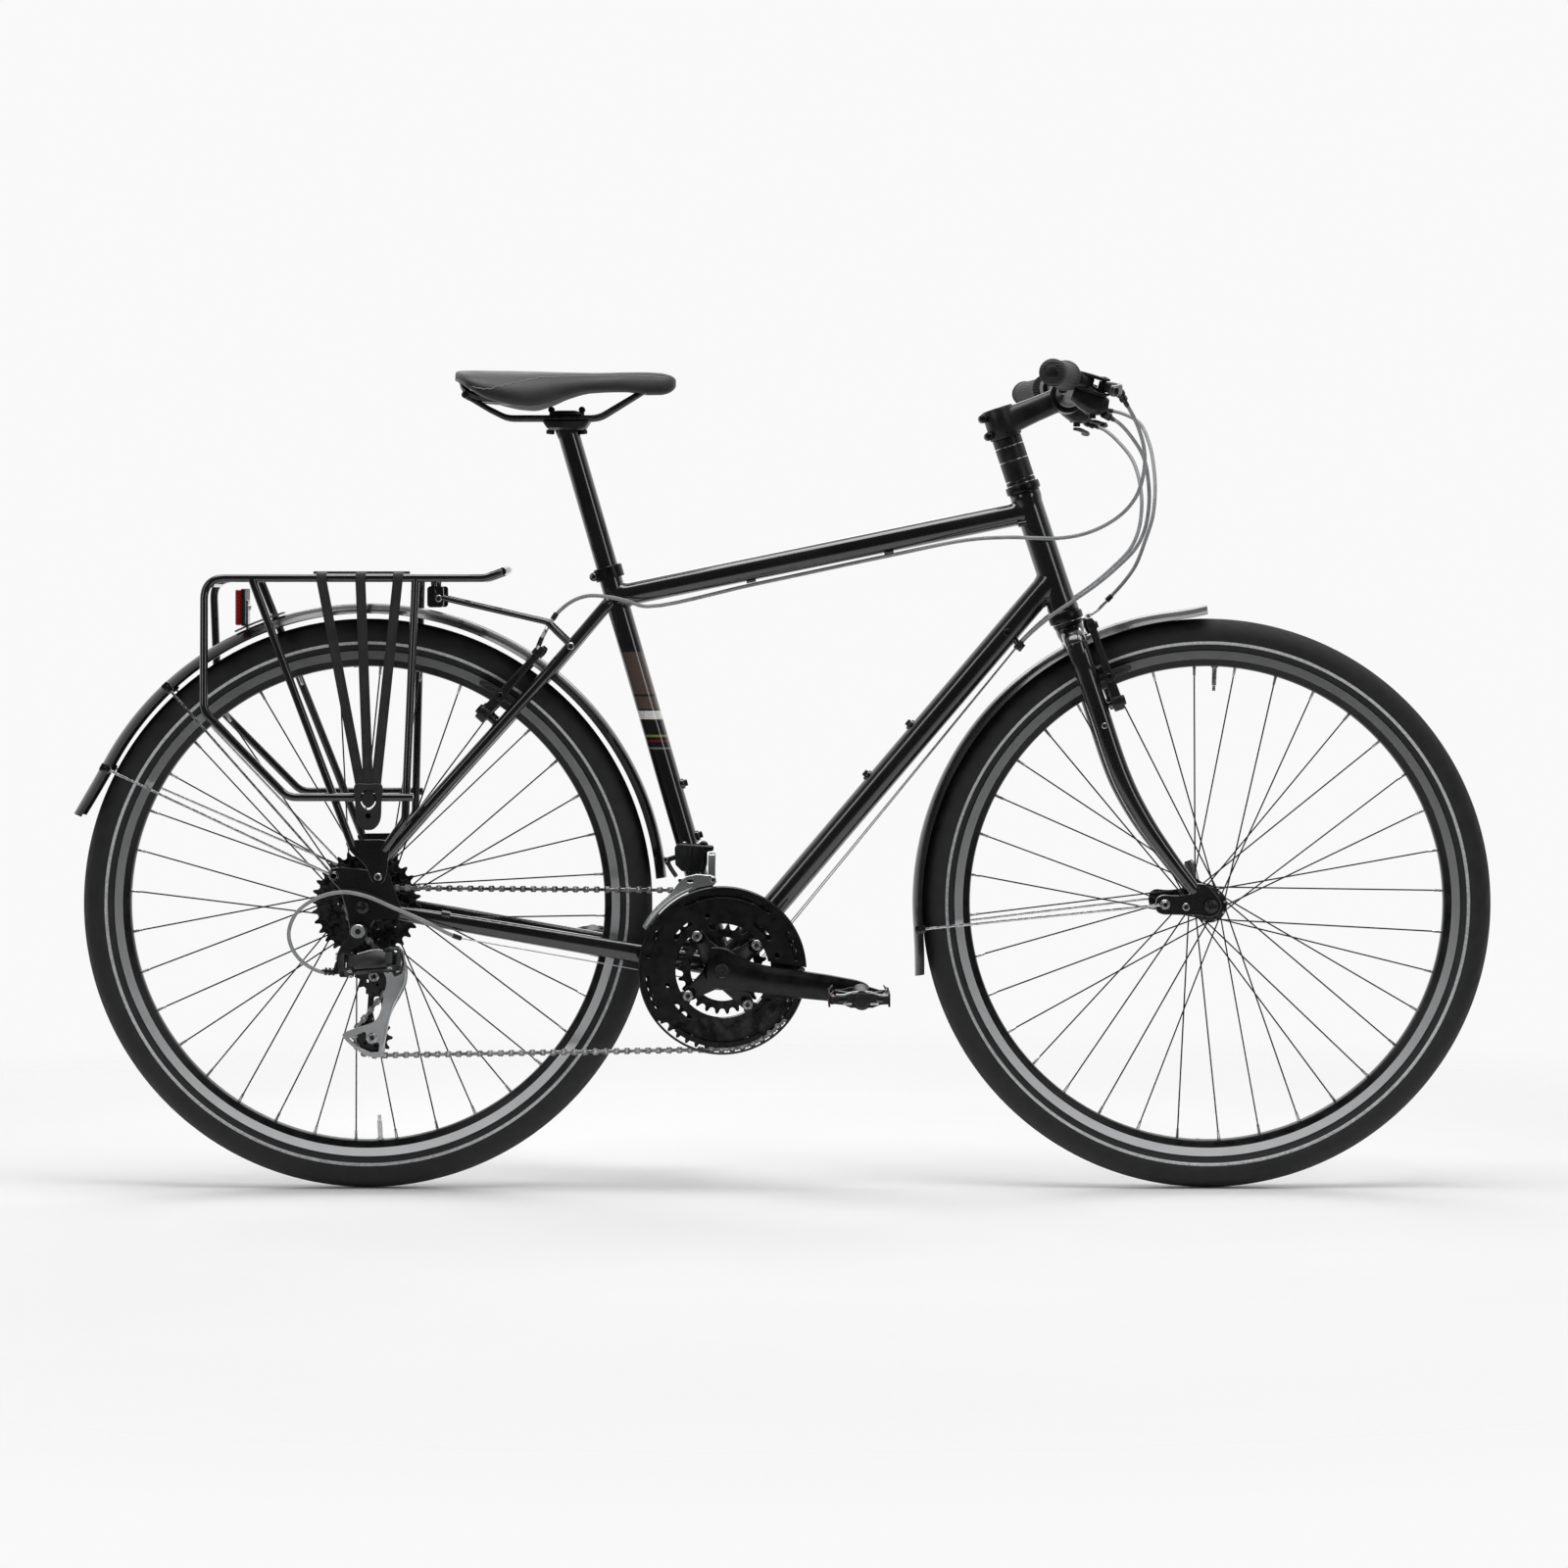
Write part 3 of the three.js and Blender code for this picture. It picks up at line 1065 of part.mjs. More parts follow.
function handlebarShape() {
  const points = barCurve();
  const wide = bar.centreRadius / bar.radius;
  const scales = points.map((p) => (Math.abs(p.y) < bar.centreHalf ? [wide, wide] : [1, 1]));
  return sweep(points, polygon(facets.tube, bar.radius * 2), { up: vec(0, 0, 1), scales });
}

const stemFoot = headTube.crownGap + headTube.cupHeight * 2 + headTube.length + gap;

function stemShape() {
  const boreRadius = cornerRadius(steererRadius, facets.lathe) + gap;
  const shoulder = stemFoot + stem.spacerHeight;
  const column = turnedOnSteering([
    [boreRadius, stemFoot], [stem.spacerRadius, stemFoot], [stem.spacerRadius, shoulder], [stem.outer, shoulder],
    [stem.outer, stem.top], [boreRadius, stem.top],
  ], crownPoint);
  const root = onSteering(0, 0, (stemFoot + stem.top) / 2 + stem.armRise);
  const arm = sweep([root, bar.centre], polygon(facets.rail, stem.armRadius * stem.armBreadth),
    { up: vec(0, 1, 0), scales: [[1, 1], [0.85, 0.95]] });
  const barBore = bar.centreRadius + gap;
  const clampEnds = bothSides.map((side) => bar.centre.clone().setY((side * stem.clampWidth) / 2));
  const boreEnds = bothSides.map((side) => bar.centre.clone().setY(side * stem.clampWidth));
  const clamp = rod(...clampEnds, stem.clampRadius, facets.tube);
  const bore = rod(...boreEnds, barBore, facets.tube);
  const steererEnds = [stemFoot - overrun, stem.top + overrun].map((up) => onSteering(0, 0, up));
  const steererBore = rod(...steererEnds, boreRadius, facets.lathe);
  return cut(join(column, arm, clamp), bore, steererBore);
}

function gripShape(side) {
  const end = barAt(side * (barWidth / 2 - overrun));
  const from = end.point.clone().addScaledVector(end.direction, overrun + gap);
  const place = (inward, radius) => ({ point: from.clone().addScaledVector(end.direction, -inward), radius });
  const shoulder = grip.length - grip.flangeWidth;
  const stations = [
    place(-grip.endThickness, grip.radius - grip.endInset), place(0, grip.radius), place(shoulder, grip.radius),
    place(shoulder, grip.flange), place(grip.length, grip.flange),
  ];
  const points = stations.map((s, i) => s.point.clone().addScaledVector(end.direction, -i * grip.weld));
  const scales = stations.map((s) => [s.radius, s.radius]);
  const body = sweep(points, polygon(facets.tube, 2), { up: vec(0, 0, 1), scales });
  const bore = rod(place(0, 0).point, place(grip.length + overrun, 0).point, bar.radius + gap, facets.tube);
  return cut(body, bore);
}

const leverPivot = (side) => barAt(side * (perch.y + lever.pivotInset)).point.add(vec(perch.reach, 0, -perch.drop));

const thumbRoot = (side) => barAt(side * perch.y).point.add(vec(thumb.forward, -side * thumb.inset, -thumb.drop));

// A place beside the given one: forward, outwards on that side, up
const beside = (place, side, [forward, outward, up]) => place.clone().add(vec(forward, side * outward, up));

// Lever perch clamped to the bar, with the shifter pod below it
function controlShape(side) {
  const { point, direction } = barAt(side * perch.y);
  const along = (reach) => point.clone().addScaledVector(direction, reach);
  const clamp = rod(along(-perch.width / 2), along(perch.width / 2), perch.radius, facets.rod);
  const armRoot = beside(point, side, [bar.radius, 0, -perch.armDrop]);
  const armSection = polygon(facets.wire, perch.armHeight, perch.width);
  const arm = sweep([armRoot, leverPivot(side)], armSection, { up: vec(0, 1, 0) });
  const podSection = polygon(facets.rail, perch.podRadius * 2, perch.podLength);
  const podPlaces = podRoute.map((step) => beside(point, side, step));
  const pod = sweep(podPlaces, podSection, { up: vec(0, 1, 0), scales: podShares });
  const bore = rod(along(-perch.podLength), along(perch.podLength), bar.radius + gap * 2, facets.tube);
  const pinFoot = thumb.thickness / 2 + gap;
  const [pinTop, pinEnd] = [thumb.pinHeight, pinFoot].map((up) => beside(thumbRoot(side), side, [0, 0, up]));
  const pin = rod(pinTop, pinEnd, thumb.width / 2, facets.rail);
  return cut(join(clamp, arm, pod, pin), bore, ...leverClear(side));
}

// The brake lever pivots in front of the bar and reaches outwards along the grip
function leverPoints(side) {
  const pivot = leverPivot(side);
  const outward = barAt(side * (perch.y + lever.lean)).direction;
  const reaches = leverReaches.map(([forward, up, reach]) =>
    beside(pivot, side, [forward, 0, up]).addScaledVector(outward, reach));
  return [beside(pivot, side, leverRoot), beside(pivot, side, leverKnee), ...reaches];
}

function leverBody(side, spread) {
  const section = polygon(facets.rail, lever.thickness + spread, lever.width + spread);
  return sweep(leverPoints(side), section, { up: vec(0, 0, 1), scales: leverShares });
}

const leverAxis = vec(12, 0, 42).normalize();

// The lever's room in its perch, from rest to fully pulled
function leverClear(side) {
  const pivot = leverPivot(side);
  return [0, 0.5, 1].map((share) => {
    const turn = radians(lever.pull * share) * side;
    const swept = leverBody(side, lever.clearance);
    swept.translate(-pivot.x, -pivot.y, -pivot.z);
    swept.applyMatrix4(new THREE.Matrix4().makeRotationAxis(leverAxis, turn));
    return swept.translate(pivot.x, pivot.y, pivot.z);
  });
}

function thumbShape(side) {
  const places = thumbRoute.map((step) => beside(thumbRoot(side), side, step));
  return sweep(places, polygon(facets.rail, thumb.width, thumb.thickness), { up: vec(0, 0, 1) });
}

addPiece('stem', stemShape(), 'black');
addPiece('handlebar', handlebarShape(), 'black');
bothSides.forEach((side) => {
  const name = side === left ? 'left' : 'right';
  addPiece(`${name}_grip`, gripShape(side), 'rubber');
  addPiece(`${name}_control`, controlShape(side), 'black');
  addPiece(`${name}_brake_lever`, leverBody(side, 0), 'black');
  addPiece(`${name}_shift_lever`, thumbShape(side), 'black');
});

// Rim brakes: arms that turn on studs and carry curved pads beside the rim

const brake = { armLength: 106, bossRadius: 11, postReach: 8 };
// Places (outwards, up the arm) round a brake arm
const armOutline = [[-6, 0], [-5, 40], [-9, brake.armLength], [-1, brake.armLength], [7, 40], [8, 0]];
const pad = { inner: 14, depth: 9, half: 30, height: 9, postRadius: 4 };

function brakeArm(foot, out, up, centre, side) {
  const pivot = foot.clone().setY(side * studs.halfSpacing);
  const at = (y, rise, outward) =>
    pivot.clone().add(vec(0, side * y, 0)).addScaledVector(up, rise).addScaledVector(out, outward);
  const depths = [studs.armBase, studs.armBase + studs.armDepth];
  const hub = rod(...depths.map((outward) => at(0, 0, outward)), brake.bossRadius, facets.rod);
  const rings = depths.map((outward) => armOutline.map(([y, rise]) => at(y, rise, outward)));
  const padPlace = at(0, studs.padRise, studs.armBase + studs.armDepth / 2);
  const trackRadius = rim.beadRadius - rim.brakeDepth / 2;
  const angle = THREE.MathUtils.radToDeg(Math.atan2(padPlace.z - centre.z, padPlace.x - centre.x));
  const swing = THREE.MathUtils.radToDeg(pad.half / trackRadius);
  const [near, far] = [side * pad.inner, side * (pad.inner + pad.depth)];
  const section = rectangle(near, -pad.height / 2, far, pad.height / 2);
  const shoe = arcSweep(section, centre, angle - swing, angle + swing, 2, trackRadius);
  const postEnds = [pad.inner + pad.depth / 2, studs.halfSpacing + brake.postReach];
  const shoeAt = around(centre, trackRadius, angle);
  const post = rod(...postEnds.map((y) => shoeAt.clone().setY(side * y)), pad.postRadius, facets.rail);
  const bore = rod(at(0, 0, 0), at(0, 0, studs.length * 2), studs.radius + gap, facets.rod);
  return cut(join(loft(rings), hub, shoe, post), bore);
}

bothSides.forEach((side) => {
  const name = side === left ? 'left' : 'right';
  addPiece(`front_brake_arm_${name}`, brakeArm(frontBrakeFoot, steeringForward, steeringUp, frontAxle, side), 'black');
  addPiece(`rear_brake_arm_${name}`, brakeArm(rearBrakeFoot, rearBrakeOut, rearBrakeUp, rearAxle, side), 'black');
});

// Saddle: cushion on a pair of rails held by the seat post's clamp

const post = { radius: 13.6, insertion: 120, headZ: 937, clampHalf: 27, coreHalf: 15, railSpread: 22 };
const rails = { radius: 3.5, z: 949 };
// Places (along, up) round the clamp's foot and lid; zero is the rails' seat, then the lid's underside
const clampFootOutline = [[-24, -10.2], [22, -10.2], [28, 0], [-30, 0]];
const clampLidOutline = [[-20, 0], [18, 0], [12, 5], [-14, 5]];
const clampCore = { rear: -18, fore: 16 };
const saddle = { length: 270, tail: 110, width: 168 };

const onPost = (z) => seatTube.top.clone().addScaledVector(seatTubeDirection, (z - seatTube.top.z) / seatTubeDirection.z);

function seatPostShape() {
  const foot = onPost(seatTube.top.z - post.insertion);
  const head = onPost(post.headZ);
  const shaft = tubeAlong(foot, head, post.radius);
  const seat = rails.z - rails.radius - gap;
  const lid = rails.z + rails.radius + gap;
  const block = (outline, level) =>
    plate(outline.map(([x, z]) => [head.x + x, level + z]), -post.clampHalf, post.clampHalf);
  const coreOutline = rectangle(head.x + clampCore.rear, seat - overrun, head.x + clampCore.fore, lid + overrun);
  const core = plate(coreOutline, -post.coreHalf, post.coreHalf);
  return join(shaft, block(clampFootOutline, seat), core, block(clampLidOutline, lid));
}

// Places (along, sideways, up) of a saddle rail from tail to nose
const railPlaces = [
  [122, 36, 976.8], [150, 28, 960], [172, post.railSpread, rails.z], [285, post.railSpread, rails.z], [340, 9, 982.4],
];
const railRoute = (side) => railPlaces.map(([x, y, z]) => vec(x, side * y, z));

function railsShape() {
  const section = polygon(facets.rail, rails.radius * 2);
  const pair = bothSides.map((side) => sweep(railRoute(side), section, { up: vec(0, 1, 0) }));
  const route = railRoute(left);
  const ties = [route[0], route[route.length - 1]].map((end) => {
    const reach = end.y + rails.radius;
    return rod(end.clone().setY(-reach), end.clone().setY(reach), rails.radius, facets.rail);
  });
  return join(...pair, ...ties);
}

// Each station of the cushion: place along, half width, top, skirt depth and how far the middle dips
const saddleStations = [
  [0, 0.44, 0.9, 20, 1], [0.04, 0.78, 1, 32, 2], [0.14, 0.98, 1, 40, 3], [0.26, 1, 0.97, 40, 4],
  [0.38, 0.88, 0.9, 36, 5], [0.5, 0.62, 0.84, 30, 5], [0.62, 0.42, 0.82, 26, 4], [0.76, 0.33, 0.84, 23, 3],
  [0.9, 0.28, 0.84, 20, 1], [0.98, 0.22, 0.72, 14, 0], [1, 0.1, 0.56, 8, 0],
];
// Share of the half width, then share of the skirt's depth
const saddleSectionShares = [[0.35, 0], [0.72, 0.22], [1, 0.62], [0.96, 1], [0.5, 0.78]];
const saddleCrown = 24;

function saddleShape() {
  const rings = saddleStations.map(([share, widthShare, topShare, skirt, dip]) => {
    const x = saddle.tail + share * saddle.length;
    const half = (widthShare * saddle.width) / 2;
    const top = seatHeight - saddleCrown * (1 - topShare);
    const across = [[0, -dip], ...saddleSectionShares.map(([share, depth]) => [share, -depth * skirt])];
    const leftHalf = across.map(([y, drop]) => vec(x, y * half, top + drop));
    const rightHalf = across.slice(1).reverse().map(([y, drop]) => vec(x, -y * half, top + drop));
    return [...leftHalf, ...rightHalf];
  });
  return loft(rings);
}

addPiece('seat_post', seatPostShape(), 'black');
addPiece('saddle_rails', railsShape(), 'silver');
addPiece('saddle', saddleShape(), 'rubber');

// Front derailleur: a clamped body on the seat tube and a cage that slides in and out over the rings

const cage = {
  outerFace: -65.9, innerFace: -51.4, thickness: 1.2, lower: 104.8, innerLower: 92, upper: 112, topZ: 384, bridge: 3,
  armDepth: 4.8, rearReach: 46, bridgeInset: 2,
};
// Angles round the crank axle, and steps, of the plates' lower and upper edges
const cageArcs = {
  outerLow: [151, 96, 6], outerHigh: [128, 150, 2], innerLow: [148, 100, 5], innerHigh: [128, 146, 2],
};

function frontDerailleurCage() {
  const arc = (radius, [from, to, steps]) => Array.from({ length: steps + 1 }, (_, i) => {
    const p = around(crankAxle, radius, lerp(from, to, i / steps));
    return [p.x, p.z];
  });
  const { outerFace, innerFace, thickness, topZ, bridge: lift } = cage;
  const [rear, fore] = [crankAxle.x - cage.rearReach, shifter.barX + shifter.barWidth / 2];
  const flat = [[fore, topZ + lift], [rear, topZ + lift]];
  const outerOutline = [...arc(cage.lower, cageArcs.outerLow), ...flat, ...arc(cage.upper, cageArcs.outerHigh)];
  const innerOutline = [...arc(cage.innerLower, cageArcs.innerLow), ...flat, ...arc(cage.upper, cageArcs.innerHigh)];
  const outer = plate(outerOutline, outerFace, outerFace + thickness);
  const inner = plate(innerOutline, innerFace - thickness, innerFace);
  const bridge = plate(rectangle(rear + cage.bridgeInset, topZ, fore, topZ + lift), outerFace, innerFace);
  const armRear = shifter.barX - shifter.barWidth / 2;
  const barTop = shifter.barZ + shifter.barHeight / 2;
  const arm = plate(rectangle(armRear, topZ, fore, barTop), innerFace - cage.armDepth, innerFace);
  const barOutline = rectangle(armRear, barTop - shifter.barHeight, fore, barTop);
  return join(outer, inner, bridge, arm, plate(barOutline, innerFace - cage.armDepth, shifter.barEnd));
}

addPiece('front_derailleur_cage', frontDerailleurCage(), 'silver');

// Rear derailleur: a mount on the hanger, two links, a knuckle, and a cage with two toothed pulleys

const slant = radians(32);
const restTilt = radians(10);
const linkage = {
  pivot: vec(-14, -82, 281), length: 50, spread: 14, eye: 4.5, pin: 2, half: 8.5, ear: 3, webInset: 1.5,
  mountWeb: -14, knuckleWeb: 13, cagePivot: vec(34, 0, 284),
};
const inward = vec(0, Math.cos(slant), -Math.sin(slant));
const linkAxis = vec(0, Math.sin(slant), Math.cos(slant));
const linkDirection = vec(Math.cos(restTilt), 0, 0).addScaledVector(inward, -Math.sin(restTilt));
const linkEnd = linkage.pivot.clone().addScaledVector(linkDirection, linkage.length);
const pinPlace = (end, way) => end.clone().addScaledVector(inward, (way * linkage.spread) / 2);
// Corners round a link's eye, half of them at each pin
const eyeShares = [[-0.5, -0.87], [0.5, -0.87], [1, 0], [0.5, 0.87], [-0.5, 0.87], [-1, 0]];

function parallelLink(way) {
  const [from, to] = [pinPlace(linkage.pivot, way), pinPlace(linkEnd, way)];
  const across = linkAxis.clone().cross(linkDirection);
  const ring = eyeShares.map(([x, y]) => (x > 0 ? to : from).clone()
    .addScaledVector(linkDirection, x * linkage.eye).addScaledVector(across, y * linkage.eye));
  const faces = [-1, 1].map((end) => ring.map((p) => p.clone().addScaledVector(linkAxis, end * linkage.half)));
  const boreRadius = cornerRadius(linkage.pin, facets.rail) + gap;
  const bores = [from, to].map((centre) => {
    const ends = [-2, 2].map((reach) => centre.clone().addScaledVector(linkAxis, reach * linkage.half));
    return rod(...ends, boreRadius, facets.rail);
  });
  return cut(loft(faces), ...bores);
}

// Ears above and below the links, with the two pins between them
function ears(end, reach) {
  const outer = linkage.half + gap;
  const half = linkage.spread / 2 + linkage.eye;
  const block = (x, farX, low, high) => {
    const ring = [[x, -half], [farX, -half], [farX, half], [x, half]]
      .map(([along, m]) => end.clone().add(vec(along, 0, 0)).addScaledVector(inward, m));
    return loft([low, high].map((d) => ring.map((p) => p.clone().addScaledVector(linkAxis, d))));
  };
  const way = Math.sign(reach);
  const [nearX, farX] = [Math.min(reach, -way * linkage.eye), Math.max(reach, -way * linkage.eye)];
  const plates = [-1, 1].map((face) => block(nearX, farX, face * outer, face * (outer + linkage.ear)));
  const pins = [-1, 1].map((at) => {
    const ends = [-1, 1].map((face) => pinPlace(end, at).addScaledVector(linkAxis, face * (outer + linkage.ear / 2)));
    return rod(...ends, linkage.pin, facets.rail);
  });
  const back = way * (linkage.eye + linkage.webInset);
  return [...plates, ...pins, block(back, reach, -outer - linkage.ear, outer + linkage.ear)];
}

const mountFace = -(dropout.inner + dropout.thickness + gap);
const mountArm = { boltRadius: 9.5, boltLength: 13, low: 12, high: 1 };
// Places (along, up) round the mount's arm, from the hanger bolt down to the links
const mountShares = [[-13, 318], [3, 318], [0, 304], [-16, 297], [-19.5, 290], [-28, 284], [-28, 296], [-22, 308]];

function derailleurMountShape() {
  const [boltHead, boltFoot] = [mountFace - mountArm.boltLength, mountFace].map((y) => dropout.hangerBolt.clone().setY(y));
  const bolt = rod(boltHead, boltFoot, mountArm.boltRadius, facets.tube);
  const arm = plate(mountShares, mountFace - mountArm.low, mountFace - mountArm.high);
  return join(bolt, arm, ...ears(linkage.pivot, linkage.mountWeb));
}

const cagePlates = { outer: -66.9, inner: -53.7, thickness: 1.6, boltRadius: 2.4, pivotRadius: 4, pivotReach: 3, pivotSink: 1 };
const knuckle = { drumRadius: 14, drumDepth: 6, bridgeDepth: 26, boreDepth: 3.5 };
const knuckleShares = [[40.5, 300], [48, 300], [50, 284], [48, 270], [40.5, 268]];

function knuckleShape() {
  const pivotAt = (y) => linkage.cagePivot.clone().setY(y);
  const face = cagePlates.outer - gap;
  const drum = rod(pivotAt(face - knuckle.drumDepth), pivotAt(face), knuckle.drumRadius, facets.tube);
  const bridge = plate(knuckleShares, face - knuckle.bridgeDepth, face);
  const boreRadius = cornerRadius(cagePlates.pivotRadius, facets.rod) + gap;
  const bore = rod(pivotAt(face - knuckle.boreDepth), pivotAt(face + overrun), boreRadius, facets.rod);
  return cut(join(drum, bridge, ...ears(linkEnd, linkage.knuckleWeb)), bore);
}

// Places (along, up) round the cage's plates, its window and the ear that carries the guide pulley
const cageOuterShares = [
  [26, 292], [38, 296], [49, 288], [53, 272], [50, 249], [41, 214], [31, 169], [17, 165], [-10, 178], [-26, 193],
  [-25, 199], [1, 208], [9, 226], [25, 261], [22, 280],
];
const cageInnerShares = [
  [2, 288], [14, 292], [24, 284], [26, 262], [29, 214], [25, 172], [8, 166], [-6, 178], [-8, 196], [3, 214], [6, 262],
];
const cageWindowShares = [[-12, 190], [-2, 196], [-2, 176]];
const guideEarShares = [[2, 284], [24, 290], [30, 284], [28, 264], [6, 264]];

function derailleurCageShape() {
  const { outer: low, inner: innerFace, thickness } = cagePlates;
  const outer = plate(cageOuterShares, low, low + thickness);
  const inner = plate(cageInnerShares, innerFace, innerFace + thickness);
  const window = plate(cageWindowShares, low - overrun, low + thickness + overrun);
  const bolts = [guidePulley, tensionPulley].map((centre) => {
    const [head, foot] = [low, innerFace + thickness].map((y) => centre.clone().setY(y));
    return rod(head, foot, cagePlates.boltRadius, facets.rod);
  });
  const guideEar = plate(guideEarShares, low, low + thickness);
  const pivotFaces = [low - gap - cagePlates.pivotReach, low + cagePlates.pivotSink];
  const pivotEnds = pivotFaces.map((y) => linkage.cagePivot.clone().setY(y));
  const pivot = rod(...pivotEnds, cagePlates.pivotRadius, facets.rod);
  return join(cut(join(outer, guideEar), window), inner, ...bolts, pivot);
}

const pulleyThickness = 2.2;

function pulleyShape(centre, name) {
  const bore = cornerRadius(cagePlates.boltRadius, facets.rod) + gap;
  const shape = { formed: true, thickness: pulleyThickness };
  return sprocket(pulleyTeeth, centre, phaseOf(name), chainLine, bore, shape);
}

addPiece('rear_derailleur_mount', derailleurMountShape(), 'black');
addPiece('rear_derailleur_outer_link', parallelLink(-1), 'silver');
addPiece('rear_derailleur_inner_link', parallelLink(1), 'black');
addPiece('rear_derailleur_knuckle', knuckleShape(), 'black');
addPiece('rear_derailleur_cage', derailleurCageShape(), 'silver');
addPiece('guide_pulley', pulleyShape(guidePulley, 'guide'), 'black');
addPiece('tension_pulley', pulleyShape(tensionPulley, 'tension'), 'black');

// Rear carrier: bent and welded tube, its feet bolted beside the dropouts

const carrier = {
  radius: 5, deckZ: 752, deckHalf: 45, lowerHalf: 80, footHalf: 78.5, stayRadius: 3.5, bend: 26, footThickness: 4,
  tailX: -188, tailDrop: 8,
};
const deckBars = [130, 0, -130];
// Tube routes (along, sideways, up) of the left half
const hoopRoute = [
  [168, 40, 760], [146, carrier.deckHalf, carrier.deckZ], [-197, carrier.deckHalf, carrier.deckZ], [-194, 74, 590],
  [-91, carrier.lowerHalf, 485], [62, carrier.lowerHalf, 485],
];
const rearLegRoute = [[-139, carrier.deckHalf, carrier.deckZ], [-12, carrier.footHalf, 424]];
const frontLegRoute = [
  [62, carrier.deckHalf, carrier.deckZ], [52, carrier.lowerHalf, 458], [25, carrier.footHalf, 420],
];
const carrierFootShares = [[-20, 430], [32, 430], [29, 384], [12, 380], [4, 400]];

function carrierShape() {
  const { radius, deckZ, deckHalf, stayRadius } = carrier;
  const stayTop = seatStayPoint(stay.carrierX);
  const clampHalf = stayTop.y + stay.seatRadius + stayRadius * Math.SQRT1_2;
  const footInner = dropout.inner + dropout.thickness + gap;
  const clampRoute = [[84, 40, deckZ], [84, 40, 730], [222, clampHalf, 698], [stayTop.x, clampHalf, stayTop.z]];
  const tubes = bothSides.flatMap((side) => {
    const places = (route) => route.map(([x, y, height]) => vec(x, side * y, height));
    const faces = [side * footInner, side * (footInner + carrier.footThickness)];
    return [
      bentTube(places(hoopRoute), radius, carrier.bend, facets.rail, 2),
      rod(...places(rearLegRoute), radius, facets.rail),
      sweep(places(frontLegRoute), polygon(facets.rail, radius * 2), { up: vec(0, 1, 0) }),
      plate(carrierFootShares, Math.min(...faces), Math.max(...faces)),
      sweep(places(clampRoute), polygon(facets.wire, stayRadius * 2), { up: vec(0, 1, 0) }),
    ];
  });
  const bar = (x, height, sides) => rod(vec(x, -deckHalf, height), vec(x, deckHalf, height), stayRadius, sides);
  const bars = deckBars.map((x) => bar(x, deckZ, facets.wire));
  return join(...tubes, ...bars, bar(carrier.tailX, deckZ - carrier.tailDrop, facets.rail));
}

addPiece('rear_carrier', carrierShape(), 'black');

const strap = {
  width: 11.6, thickness: 2, tops: [-53, -5, 41], spread: 9, footX: 8, footZ: 497, hookWidth: 32, hookFoot: 446,
  hookDepth: 6, hookRise: 4, foldIn: 2.5, foldOut: 0.2, reachIn: 22, tieIn: 24, tieWidth: 12, tieThickness: 4,
};
// Share of the hook's half width, then share of its height
const hookShares = [[-1, 1], [1, 1], [0.8, 0.145], [0.3, 0], [-0.3, 0], [-0.8, 0.145]];

function strapsShape() {
  const { deckZ, deckHalf, lowerHalf, radius } = carrier;
  const lift = radius + gap + strap.thickness / 2;
  const out = lowerHalf + radius + gap;
  const top = deckZ + lift;
  const [halfWidth, halfThickness] = [strap.width / 2, strap.thickness / 2];
  const section = rectangle(-halfWidth, -halfThickness, halfWidth, halfThickness).map(([a, b]) => new THREE.Vector2(a, b));
  const bands = strap.tops.map((x, i) => sweep([
    vec(x, strap.reachIn - deckHalf, top),
    vec(x, -strap.foldIn - deckHalf, top),
    vec(x, -deckHalf - lift - strap.foldOut, deckZ + strap.foldIn),
    vec(strap.footX + (i - 1) * strap.spread, -out - strap.hookDepth / 2, strap.footZ),
  ], section, { up: vec(0, 0, 1) }));
  const tieEnds = [strap.tops[0] - strap.width, strap.tops[2] + strap.width];
  const tieSection = polygon(facets.wire, strap.tieWidth, strap.tieThickness);
  const tie = sweep(tieEnds.map((x) => vec(x, strap.tieIn - deckHalf, top)), tieSection, { up: vec(0, 0, 1) });
  const height = strap.footZ + strap.hookRise - strap.hookFoot;
  const outline = hookShares.map(([wide, high]) =>
    [strap.footX + (strap.hookWidth / 2) * wide, strap.hookFoot + height * high]);
  return join(...bands, tie, plate(outline, -out - strap.hookDepth, -out));
}

addPiece('luggage_straps', strapsShape(), 'rubber');

// Rear reflector on a bracket bent up from the mudguard

const reflector = {
  rear: -161, fore: -149, low: 694, high: 738, halfWidth: 27, bracketHalf: 11, bracketThickness: 2, angles: [106, 116],
  uprightIn: 3, uprightOut: 2, uprightFoot: 4, uprightHeight: 30,
};

function reflectorShape() {
  const { rear, fore, low, high, halfWidth, bracketHalf, angles } = reflector;
  const lens = plate(rectangle(rear, low, fore, high), -halfWidth, halfWidth);
  const seat = cornerRadius(rearMudguard.outer, facets.wheel) + gap;
  const section = rectangle(-bracketHalf, 0, bracketHalf, reflector.bracketThickness);
  const foot = arcSweep(section, rearAxle, angles[0], angles[1], 2, seat);
  const outline = rectangle(fore - reflector.uprightIn, low - reflector.uprightFoot, fore + reflector.uprightOut,
    low + reflector.uprightHeight);
  return join(lens, foot, plate(outline, -bracketHalf, bracketHalf));
}

addPiece('rear_reflector', reflectorShape(), 'red');

// Quick-release levers on the left ends of both axles, lying closed beside the wheel

const release = { headRadius: 7, headLength: 12, length: 46, width: 14, thickness: 5, stand: 3 };
const handleShares = [[0.8, 1], [1, 0.8]];

